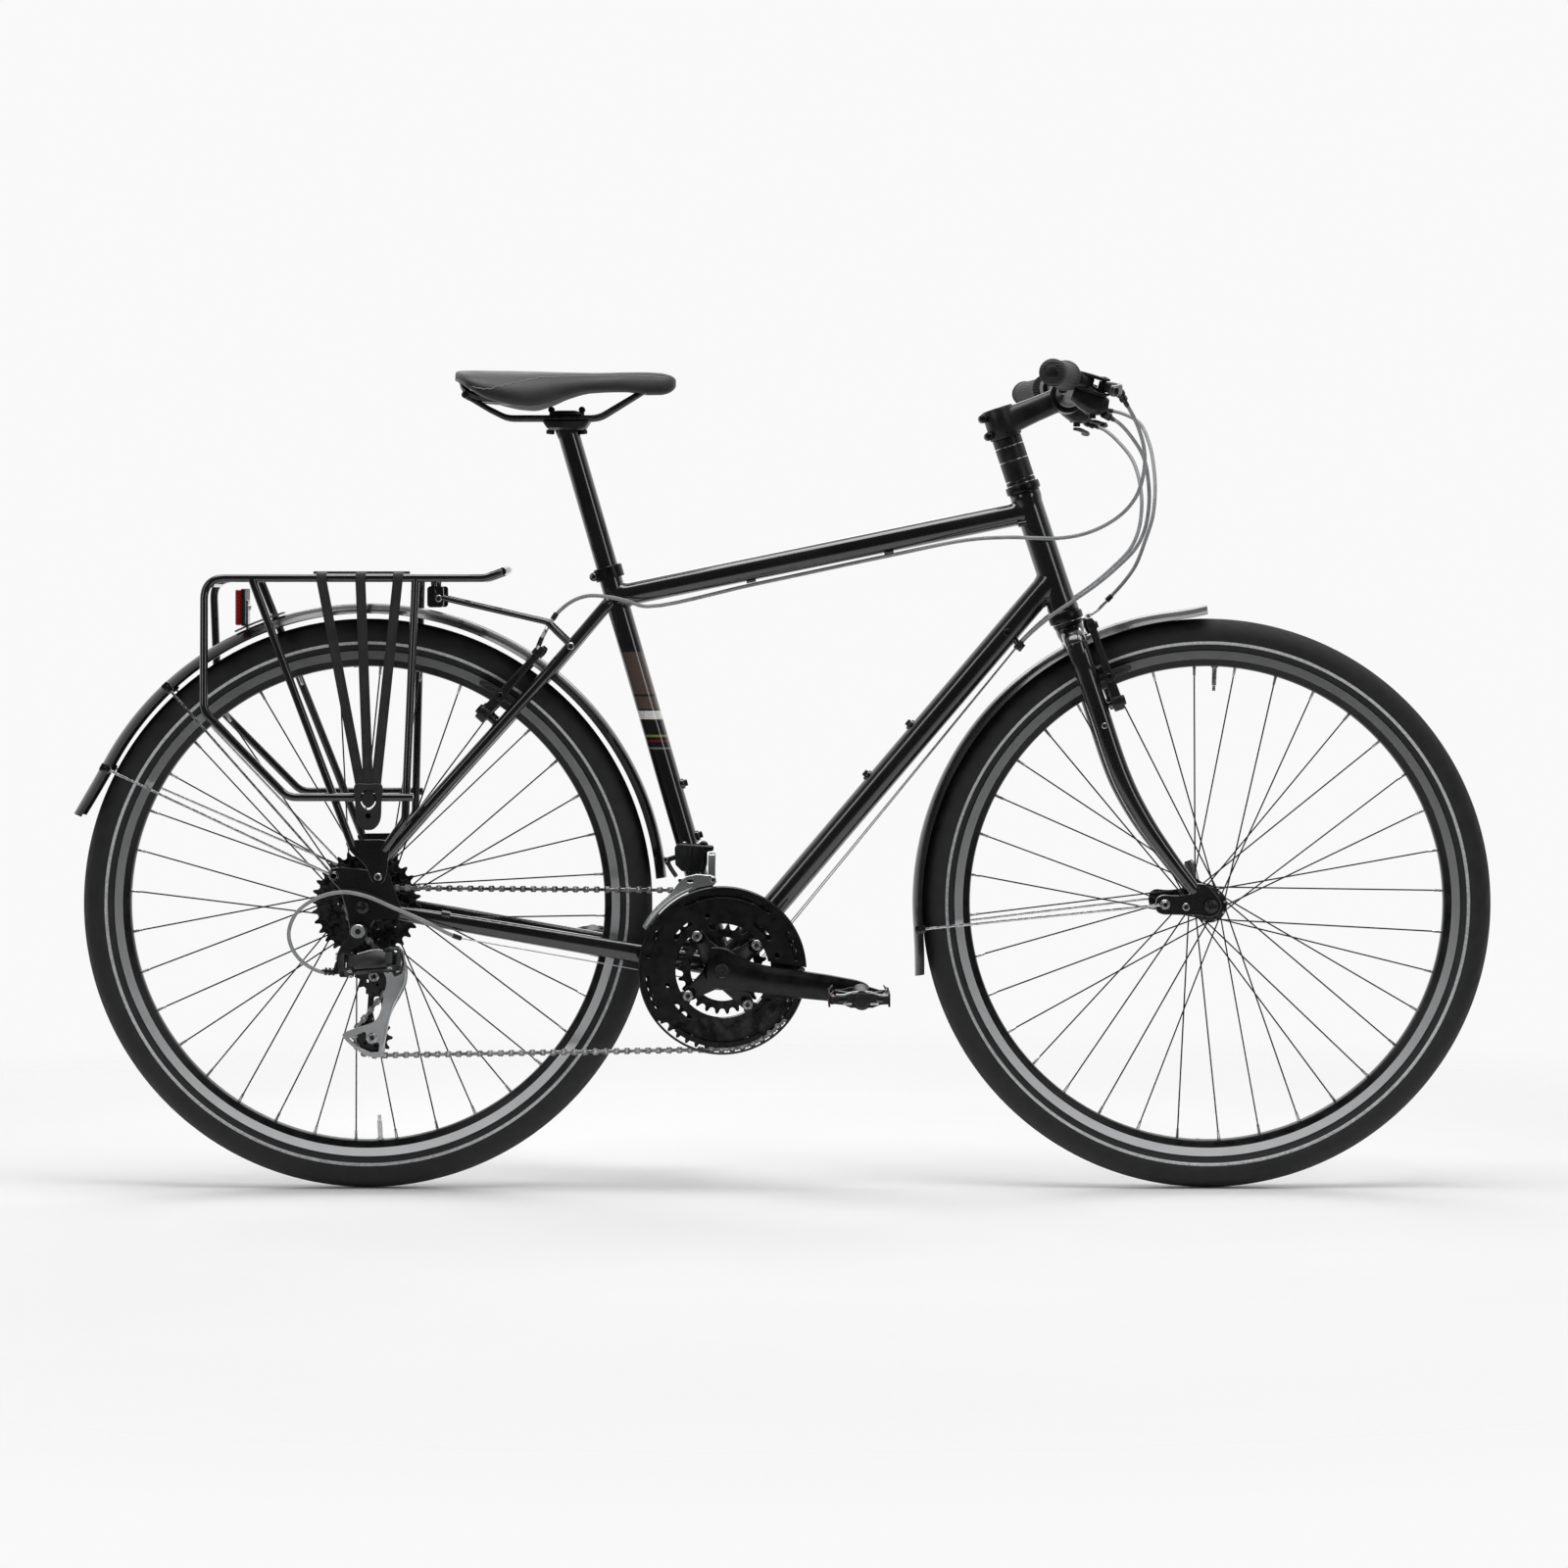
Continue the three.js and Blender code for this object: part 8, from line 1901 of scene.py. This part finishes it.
def makeStem():
    shape = Shape()
    turnBands(shape, [
        (14.6, 212.4, 0), (17.6, 212.4, 0), (18.2, 213, 0), (18.2, 235.6, 0), (17.6, 236.3, 2),
        (17.6, 237.1, 0), (18.2, 237.8, 0), (18.2, 253.6, 0),
        (17.6, 254.3, 2), (17.6, 255.1, 0), (18.2, 255.8, 0), (18.2, 264.4, 0), (17.7, 265, 0),
        (17.7, 265.6, 0), (19.4, 266.2, 0), (20, 267.4, 0),
        (20, 302, 0), (18.8, 303.8, 0), (14.6, 304, 0),
    ], crown, steeringUp, 56)
    shape.turn([(0, 304.6), (12, 304.4), (17.4, 303.4), (17.4, 300)], crown, steeringUp, 40, 1)
    root, end = onSteering(0, 0, 284), barMiddle
    arm = [between(root, end, s) for s in (0, 0.25, 0.5, 0.75, 1)]
    shape.tube(smooth(arm, 3), spread([17.6, 16.4, 15.2, 14.8, 15.6], 13), 32,
               flat=spread([1, 0.96, 0.94, 0.98, 1.05], 13), square=0.8)
    clamp = [(16.1, -22.6), (21, -23), (22, -22), (22, 22), (21, 23), (16.1, 22.6)]
    shape.turn(clamp, barMiddle, segments=56, ring=True)
    face = vec(0.86, 0, 0.5)
    up = vec(-0.5, 0, 0.86)
    for height in (-14, 14):
        for side in sides:
            seat = barMiddle + face * 18.6 + up * height + vec(0, side * 15, 0)
            shape.tube([seat - face * 12, seat + face * 1.4], 5.2, 18, eased=0.8)
            boltHead(shape, seat + face * 1.2, face, 3.7, 2.6, 1, 1)
    for height in (274, 297):
        seat = onSteering(-20.5, 0, height)
        shape.tube([seat + vec(0, -15, 0), seat + vec(0, 15, 0)], 5.4, 20, eased=1.4)
        boltHead(shape, seat + vec(0, -15, 0), vec(0, -1, 0), 3.8, 2.4, 1, 1)
    build("stem_and_spacers", shape, [satinPlastic, blackBolt, boltSteel], "steering", ["stem"],
          "black_alloy", 36)


def makeBar(settings):
    shape = Shape()
    route = [barMiddle + vec(back, -y, rise) for y, back, rise in reversed(barHalf[1:])]
    route += [barMiddle + vec(back, y, rise) for y, back, rise in barHalf]
    path = smooth(route, 10)
    swell = [min(max((50 - abs(p.y)) / 16, 0), 1) for p in path]
    radii = [settings["radius"] + (settings["middle"] - settings["radius"]) * s * s * (3 - 2 * s)
             for s in swell]
    shape.tube(path, radii, 32)
    build("handlebar_tube", shape, [satinPlastic], "steering", ["handlebar"], "black_alloy", 40)


def makeGrip(name, side, settings):
    shape = Shape()
    end, along = barAt(side * settings["ends"])
    end = end + along * 0.4
    places = [(3, 10.4), (2.6, 12.4), (1.4, 14.4), (0, 15.4), (-4, 15.8), (-20, 15.4), (-52, 15.2),
              (-90, 15.5), (-112, 16.2), (-120, 17.4), (-123.6, 18.8), (-127, 19), (-128, 18.2),
              (-128, 11.4)]
    shape.tube([end + along * reach for reach, _ in places], [radius for _, radius in places], 40,
               flat=0.97, up=vec(0, 0, 1))
    start = len(shape.faces)
    for reach in (-8, -118):
        middle = end + along * reach
        shape.turn([(15.2, -1.6), (16.3, -1.2), (16.3, 1.2), (15.2, 1.6)], middle, along, 40)
    shape.finishes[start:] = [0] * (len(shape.faces) - start)
    shape.turn([(0, 4), (6.4, 4), (7.4, 3.4), (8.2, 2.8)], end, along, 28, finish=1)
    shape.turn([(8.6, 2.6), (9.4, 3.2), (10.2, 2.6)], end, along, 28, finish=2)
    build(name, shape, [gripRubber, satinPlastic, blackBolt], "steering", [name[:name.index("grip") + 4]],
          "grip_rubber", 40)


def makeControl(name, side):
    shape = Shape()
    point, along = barAt(side * 148)
    pivot = barAt(side * 152)[0] + vec(42, 0, -12)
    shape.turn([(11.5, -10.4), (14.2, -11), (15, -10), (15, 10), (14.2, 11), (11.5, 10.4)], point, along,
               48, ring=True)
    pinch = point + vec(-6, 0, -15)
    shape.tube([pinch + along * -7, pinch + along * 7], 5.0, 18, eased=1.2)
    boltHead(shape, pinch + along * -7, along * -1, 3.2, 2.2, 1, 1)
    root = point + vec(12, 0, -2)
    for level in (-1, 1):
        plate = [root + vec(0, 0, level * 8.6), between(root, pivot, 0.55) + vec(0, 0, level * 9.6),
                 pivot + vec(2, 0, level * 9.4), pivot + vec(9, 0, level * 8.4)]
        shape.tube(smooth(plate, 5), spread([10, 9.6, 9, 6], 16), 24, flat=0.26, up=vec(0, 0, 1),
                   square=1.4)
    shape.tube(smooth([point + vec(9, side * 2, -1), point + vec(19, side * 1, -4),
                       point + vec(27, -side * 3, -7)], 5),
               [11, 11, 10.8, 10.6, 10.4, 10.2, 9.8, 9.4, 9, 8.6, 8], 24, flat=0.96, up=vec(0, 0, 1),
               square=1.6)
    shape.tube([pivot + leverAxis * -11.4, pivot + leverAxis * 11.4], 3.2, 18, eased=0.6, finish=1)
    boltHead(shape, pivot + leverAxis * 11.2, leverAxis, 4.2, 2.0, 2, 1)
    pod = besideBar(point, side, [(8, -8, -15), (20, -8, -21), (32, -8, -29), (42, -8, -32.6),
                                  (49, -8, -34)])
    shape.tube(smooth(pod, 4), spread([13, 16.2, 16.6, 15, 11], 17), 32,
               flat=spread([0.95, 1, 1, 0.86, 0.72], 17), up=vec(0, 0, 1), square=1.6)
    lid = besideBar(point, side, [(18, -25.6, -20), (32, -25.8, -28), (44, -25.0, -32)])
    shape.tube(smooth(lid, 5), spread([5, 9.6, 5.6], 11), 24, flat=0.16, up=vec(0, 1, 0), finish=3)
    foot = point + vec(30, -side * 8, -52)
    shape.tube([foot + vec(0, 0, 14), foot + vec(0, 0, 2.9)], 4.5, 20, eased=0.5, finish=1)
    shape.tube([foot + vec(-3, 0, 20), foot + vec(0, 0, 10)], [12, 8], 24)
    window = point + vec(27, -side * 8, -6.6)
    shape.tube([window + vec(-6, 0, 1.6), window + vec(9, 0, -4.4)], 6.4, 20, flat=0.3, up=vec(0, 0, 1),
               square=1.5, eased=1.0, finish=4)
    for start in (cables[{-1: "rear_brake_cable", 1: "front_brake_cable"}[side]]["route"][:2],
                  cables[{-1: "rear_shift_cable", 1: "front_shift_cable"}[side]]["route"][:2]):
        near, far = vec(*start[0]), vec(*start[1])
        way = (far - near).normalized()
        places = [-14, -13, -7, -6.6, -3.4, -3, 0.4, 0.8]
        shape.tube([near + way * p for p in places], [4.6, 5.2, 5.2, 4.2, 4.2, 5.0, 5.0, 3.4], 20, finish=1)
        for k in range(8):
            turn = k * math.tau / 8
            cross = way.cross(vec(0, 0, 1)).normalized()
            lift = cross.cross(way)
            rib = (cross * math.cos(turn) + lift * math.sin(turn)) * 5.0
            shape.tube([near + way * -12.4 + rib, near + way * -7.6 + rib], 0.8, 6, finish=1)
    build(name, shape, [satinPlastic, blackBolt, boltSteel, forged, sheenPlastic], "steering", [name],
          "black_plastic", 36)


def makeLevers(word, side):
    pivot = barAt(side * 152)[0] + vec(42, 0, -12)
    out = barAt(side * 188)[1]
    places = besideBar(pivot, side, [(3.2, 4, 0), (10, 14, -1.4), (18, 26, -4)])
    places += [pivot + vec(20, 0, -6) + out * 52, pivot + vec(20, 0, -6) + out * 70,
               pivot + vec(25, 0, -7) + out * 100, pivot + vec(30, 0, -8) + out * 122,
               pivot + vec(31, 0, -8) + out * 128]
    path = smooth(places, 5)
    count = len(path)
    blade = Shape().tube(path, spread([4.0, 4.4, 4.2, 3.6, 3.3, 3.2, 3.4, 2.6], count), 28,
                         flat=spread([1.5, 1.6, 1.7, 1.9, 2.0, 2.0, 1.9, 1.5], count), up=vec(0, 0, 1),
                         square=1.2)
    along = (path[count // 2 + 2] - path[count // 2]).normalized()
    front = along.cross(vec(0, 0, 1)).normalized()
    front = front if front.x > 0 else -front
    for level in (-4.4, 4.4):
        blade.tube([p + front * 2.9 + vec(0, 0, level) for p in path[8:-4]], 0.7, 8, finish=1)
    blade.tube([pivot - leverAxis * 6.6, pivot + leverAxis * 6.6], 5.4, 24, eased=0.6)
    build(word + "_lever_blade", blade, [satinPlastic, forged], word + "_brake_lever",
          [word + "_brake_lever"], "black_alloy", 40)
    root = barAt(side * 148)[0] + vec(30, -side * 8, -52)
    paddle = smooth(besideBar(root, side, [(-2, -3, 0), (4, 3, -1), (12, 12, -4), (12.5, 18, -5.4),
                                           (10, 24.5, -6)]), 5)
    thumb = Shape().tube(paddle, spread([4.0, 4.8, 4.6, 5.4, 3.4], len(paddle)), 24,
                         flat=spread([0.5, 0.52, 0.5, 0.62, 0.5], len(paddle)), up=vec(0, 0, 1))
    for k in range(4):
        ridge = between(paddle[-6], paddle[-2], k / 3) + vec(1.2, 0, 2.6)
        thumb.tube([ridge + vec(-2.6, -side * 1.4, 0), ridge + vec(2.6, side * 1.4, 0)], 0.6, 6)
    build(word + "_thumb_lever", thumb, [satinPlastic], word + "_shift_lever", [word + "_shift_lever"],
          "black_plastic", 40)


makeStem()
makeBar(bar)
for word, side in (("left", 1), ("right", -1)):
    makeGrip(word + "_grip_sleeve", side, bar)
    makeControl(word + "_control", side)
    makeLevers(word, side)
print("stage: cockpit ready")

# Rim brakes: arms on studs, with curved pads

brakes = {"pivot": 40.0, "middle": 25, "pad": 31.0, "track": 306.25, "padHalf": 30, "padInner": 14,
          "padSteps": 16}


def makeBrakeArm(name, foot, out, up, centre, side, settings):
    shape = Shape()
    pivot = vec(foot.x, side * settings["pivot"], foot.z)

    def at(y, rise, outward):
        return pivot + vec(0, side * y, 0) + up * rise + out * outward

    # Rise, middle and half width across the bicycle, and the two faces fore and aft
    rows = [(-3, 1, 6.0, 21, 29), (4, 1, 7.4, 19, 31), (16, 1, 7.0, 19, 31), (30, 1.4, 6.2, 19.6, 30.4),
            (46, 0.4, 5.4, 20, 30), (66, -1.6, 4.6, 20.4, 29.6), (88, -3.6, 4.0, 20.6, 29.4),
            (102, -4.8, 4.2, 20, 30), (107.5, -5, 2.6, 22, 28)]
    middle = smooth([vec(rise, y, half) for rise, y, half, _, _ in rows], 4)
    faces = smooth([vec(rise, near, far) for rise, _, _, near, far in rows], 4)
    rings = []
    for m, f in zip(middle, faces):
        y, half, near, far = m.y, m.z, f.y, f.z
        profile = [(-half, near + 1.6), (-half + 1.4, near), (half - 1.4, near), (half, near + 1.6),
                   (half, far - 1.6), (half - 1.4, far), (-half + 1.4, far), (-half, far - 1.6)]
        rings.append([at(y + across, m.x, depth) for across, depth in profile])
    shape.skin(rings)
    boss = [(4.4, 18.6), (10.2, 18.8), (11, 19.8), (11, 30.2), (10, 31.4), (6.4, 31.6)]
    shape.turn(boss, pivot, out, 40)
    boltHead(shape, pivot + out * 31.2, out, 6.2, 4.0, 1, 2)
    spring = smooth([at(9, -2, 20.4), at(11, 14, 19.4), at(10.6, 36, 20), at(8.6, 52, 22)], 5)
    shape.tube(spring, 0.9, 8, finish=1)
    edge = [at(m.y - m.z + 0.5, m.x, f.z - 1.0) for m, f in zip(middle[6:-4], faces[6:-4])]
    for lift in (0.0, 0.228):
        shape.tube([p + out * lift for p in edge], 0.5, 6, finish=1)
    seat = at(0, settings["pad"], settings["middle"])
    angle = math.degrees(math.atan2(seat.z - centre.z, seat.x - centre.x))
    swing = math.degrees(settings["padHalf"] / settings["track"])
    inner, steps = settings["padInner"], settings["padSteps"]
    profile = [(inner, -4.6), (17.4, -4.8), (20.4, -3.6), (22.6, -1.6), (22.6, 1.6), (20.4, 3.6),
               (17.4, 4.8), (inner, 4.6)]
    pads = []
    for k in range(steps + 1):
        turn = angle - swing * 1.04 + 2.08 * swing * k / steps
        ease = 1 - max(abs(k - steps // 2) - 6, 0) * 0.24
        depth = 0.4 + 0.6 * ease
        pads.append([around(centre, settings["track"] + rise * ease, turn,
                            side * (inner + (y - inner) * depth)) for y, rise in profile])
    shape.skin(pads, 3)
    shoe = around(centre, settings["track"], angle)
    for near, far, radius, finish in ((20, 48.6, 3.2, 1), (23.4, 26.6, 6.4, 1), (27.0, 30.2, 7.4, 0),
                                      (48, 49.2, 7.8, 0), (49.2, 50.8, 7.0, 1)):
        shape.tube([vec(shoe.x, side * near, shoe.z), vec(shoe.x, side * far, shoe.z)], radius, 24,
                   eased=0.5, finish=finish)
    boltHead(shape, vec(shoe.x, side * 50.6, shoe.z), vec(0, side, 0), 4.6, 3.4, 1, 2)
    top = at(-4.8, 98, settings["middle"])
    boltHead(shape, at(-4.8, 98, 29.6), out, 4.4, 3.0, 1, 2)
    shape.tube([top + vec(0, side * -3, 0), top + vec(0, side * 5, 0)], 5.4, 20, eased=1.0)
    build(name + "_shape", shape, [satinPlastic, blackBolt, forged, gripRubber], name, [name],
          "black_alloy", 36)


for word, side in (("left", 1), ("right", -1)):
    makeBrakeArm("front_brake_arm_" + word, frontBrakeFoot, steeringForward, steeringUp, frontAxle, side,
                 brakes)
    makeBrakeArm("rear_brake_arm_" + word, rearBrakeFoot, rearBrakeOut, rearBrakeUp, rearAxle, side, brakes)


# The curved silver noodles through which the brake cables reach the arms
def makeNoodle(name, cable, first, last, body):
    places = [vec(*p) for p in cables[cable]["route"][first:last]]
    shape = Shape().tube(roundCorners(places, 14, 10), 2.7, 18, finish=0)
    end = places[-1]
    shape.tube([end, end + (end - places[-2]).normalized() * 5], [3.4, 2.4], 16, finish=0)
    start, way = places[0], (places[1] - places[0]).normalized()
    shape.tube([start - way * 3, start + way * 6], 3.4, 18, eased=0.5, finish=1)
    build(name, shape, [silver, blackBolt], body, slot="silver_alloy", sharp=40)


makeNoodle("front_brake_noodle", "front_brake_cable", 10, 14, "steering")
makeNoodle("rear_brake_noodle", "rear_brake_cable", 19, 23, "frame")
print("stage: brakes ready")

# Seat post, rails and the padded saddle

saddle = {"tail": 110.0, "length": 270.0, "width": 168.0, "top": 1007.0, "crown": 24.0}
saddleRows = [
    (0, 0.44, 0.96, 12, 0.4), (0.012, 0.58, 1.0, 14.5, 0.6), (0.04, 0.77, 1.01, 19, 1.4),
    (0.08, 0.9, 1.01, 26, 2), (0.14, 0.98, 1.0, 35, 2.6), (0.2, 1, 0.99, 40, 3),
    (0.27, 1, 0.98, 44, 3.6), (0.34, 0.93, 0.97, 45.5, 4), (0.42, 0.8, 0.95, 40, 4.4),
    (0.5, 0.62, 0.93, 31, 4), (0.6, 0.45, 0.92, 24, 3), (0.7, 0.36, 0.93, 23, 2),
    (0.78, 0.33, 0.95, 23.6, 1.4), (0.86, 0.31, 0.95, 27, 0.8), (0.93, 0.28, 0.91, 26, 0.4),
    (0.965, 0.24, 0.83, 22, 0.2), (0.988, 0.17, 0.72, 15.5, 0), (1, 0.07, 0.58, 8, 0),
]
saddleAcross = [(0, 0, 1), (0.16, 0, 0.8), (0.36, -0.005, 0), (0.58, -0.07, 0), (0.76, -0.2, 0),
                (0.9, -0.37, 0), (0.985, -0.6, 0), (1, -0.78, 0), (0.97, -0.94, 0), (0.9, -1, 0),
                (0.8, -0.98, 0), (0.5, -0.8, 0), (0.2, -0.72, 0), (0, -0.7, 0)]


def makeSaddle(settings):
    shape = Shape()
    wide = smooth([vec(share, width, 0) for share, width, _, _, _ in saddleRows], 4)
    high = smooth([vec(share, top, 0) for share, _, top, _, _ in saddleRows], 4)
    deep = smooth([vec(share, skirt, dip) for share, _, _, skirt, dip in saddleRows], 4)
    section = smooth([vec(*p) for p in saddleAcross], 3)
    rings = []
    for w, h, d in zip(wide, high, deep):
        half = w.y * settings["width"] / 2
        top = settings["top"] - settings["crown"] * (1 - h.y)
        points = [vec(settings["tail"] + w.x * settings["length"], p.x * half, top + p.y * d.y - p.z * d.z)
                  for p in section]
        points += [vec(p.x, -p.y, p.z) for p in points[-2:0:-1]]
        rings.append(points)
    shape.skin(rings)
    cushion = build("saddle_cushion", shape, [saddleCover], "seat", ["saddle"], "saddle_cover", 60)
    under = Shape()
    rows = smooth([vec(*p) for p in ((113, 994, 22), (119, 980, 40), (132, 971, 44), (150, 967.5, 44),
                                     (172, 966.5, 42), (200, 969, 36), (240, 980, 25), (300, 987, 15),
                                     (335, 984, 13), (350, 984.5, 12), (366, 990, 7))], 3)
    shell = [[vec(p.x, y, z) for y, z in ((-p.z, p.y + 6), (-p.z * 0.9, p.y + 1), (-p.z * 0.6, p.y),
                                          (p.z * 0.6, p.y), (p.z * 0.9, p.y + 1), (p.z, p.y + 6),
                                          (p.z * 0.5, p.y + 10), (-p.z * 0.5, p.y + 10))] for p in rows]
    under.skin([[vec(q.x, q.y, min(q.z, 997)) for q in ring] for ring in shell])
    build("saddle_base", under, [satinPlastic], "seat", slot="black_plastic", sharp=40)
    seams = Shape()
    for side in (1, -1):
        for low, high, start in ((12, len(rings) - 7, 0.62), (2, 11, 0.7)):
            line = []
            for k, ring in enumerate(rings[low:high]):
                share = k / (high - low - 1)
                drop = start - 0.2 * min(share * 3, 1) + 0.05 * share
                index = min(int(len(section) * (0.56 - 0.26 * min(share * 2.6, 1) * (start < 0.65))),
                            len(section) - 1)
                point = ring[index] if side > 0 else ring[-index]
                line.append(point + vec(0, side * 0.15, 0) - vec(0, 0, drop * 0.1))
            seams.tube(line, [0.1] + [0.55] * (len(line) - 2) + [0.1], 6)
    build("saddle_seams", seams, [seamThread], "seat", slot="saddle_cover")


def makeSeatPost():
    shape = Shape()
    low = onSeatTube(646)
    head = onSeatTube(934)
    shape.tube([low, head], 13.6, 40)
    neck = smooth([head - seatUp * 6, head + seatUp * 4, vec(head.x, 0, 943), vec(head.x - 1, 0, 946)], 4)
    shape.tube(neck, spread([13.7, 14.6, 17, 18], len(neck)), 36, up=vec(0, 1, 0), finish=1)
    x = head.x

    def block(rows, finish):
        rings = []
        for z, rear, fore, half in rows:
            rings.append([vec(px, py, z) for px, py in roundedBox((x + rear, -half), (x + fore, half), 5)])
        shape.skin(rings, finish)

    block([(934.6, -22, 20, 20), (937, -25, 23, 26), (943, -29, 27, 27), (945, -30, 28, 27),
           (945.2, -29, 27, 26)], 1)
    block([(945, -18, 16, 15), (953.4, -18, 16, 15)], 1)
    block([(952.9, -19, 17, 26), (953.6, -20, 18, 27), (956.6, -17, 15, 26.4), (958, -13, 11, 25)], 1)
    for along, way in ((-21, -1), (19, 1)):
        shape.tube([vec(x + along, 0, 931), vec(x + along * 0.92, 0, 962)], 2.9, 16, eased=0.6, finish=2)
        boltHead(shape, vec(x + along, 0, 934.6), vec(0.1 * way, 0, -1), 5.2, 5.0, 2, 3)
        shape.tube([vec(x + along * 0.94, -8, 959.6), vec(x + along * 0.94, 8, 959.6)], 4.0, 20, eased=0.6,
                   finish=2)
    build("seat_post_and_clamp", shape, [glossPaint, satinPlastic, blackBolt, boltSteel], "seat",
          ["seat_post"], "gloss_black_paint", 36)
    rails = Shape()
    for side in sides:
        rail = ((122, 36, 976.8), (150, 28, 960), (172, 22, 949), (285, 22, 949), (340, 9, 982.4))
        places = [vec(px, side * py, pz) for px, py, pz in rail]
        rails.tube(roundCorners(places, 34, 8), 3.5, 20, finish=0)
    for px, py, pz in (rail[0], rail[-1]):
        rails.tube([vec(px, -py - 5, pz), vec(px, py + 5, pz)], 4.2, 16, eased=1.0, finish=1)
    build("saddle_rail_pair", rails, [blackBolt, satinPlastic], "seat", ["saddle_rails"], "black_steel", 40)


makeSaddle(saddle)
makeSeatPost()


# Release levers: a cam head at the axle's end and a curved handle
def makeRelease(name, centre, y, way, body):
    shape = Shape()
    across = vec(0, 1, 0).cross(way).normalized()
    head = centre + vec(0, y, 0)
    shape.tube([head - across * 6, head + across * 6], 6.8, 32, eased=0.8)
    handle = [centre + way * reach + vec(0, y + lift, 0)
              for reach, lift in ((0, 0), (12, 1), (24, 3.6), (36, 5.4), (46, 5), (51, 4))]
    path = smooth(handle, 4)
    shape.tube(path, spread([6.4, 5.6, 5.8, 7.0, 7.0, 4.6], len(path)), 24,
               flat=spread([0.7, 0.5, 0.42, 0.36, 0.36, 0.3], len(path)), up=vec(0, 1, 0))
    boltHead(shape, head + across * 5.8, across, 3.4, 1.6, 1, 1)
    build(name, shape, [silver, blackBolt], body, [body.replace("release", "release_lever")],
          "silver_alloy", 40)


makeRelease("front_release_handle", frontAxle, 67.15, steeringUp, "front_release")
makeRelease("rear_release_handle", rearAxle, 85.65, vec(-0.8, 0, -0.6), "rear_release")
print("stage: saddle and levers ready")

print("stage: scene ready")
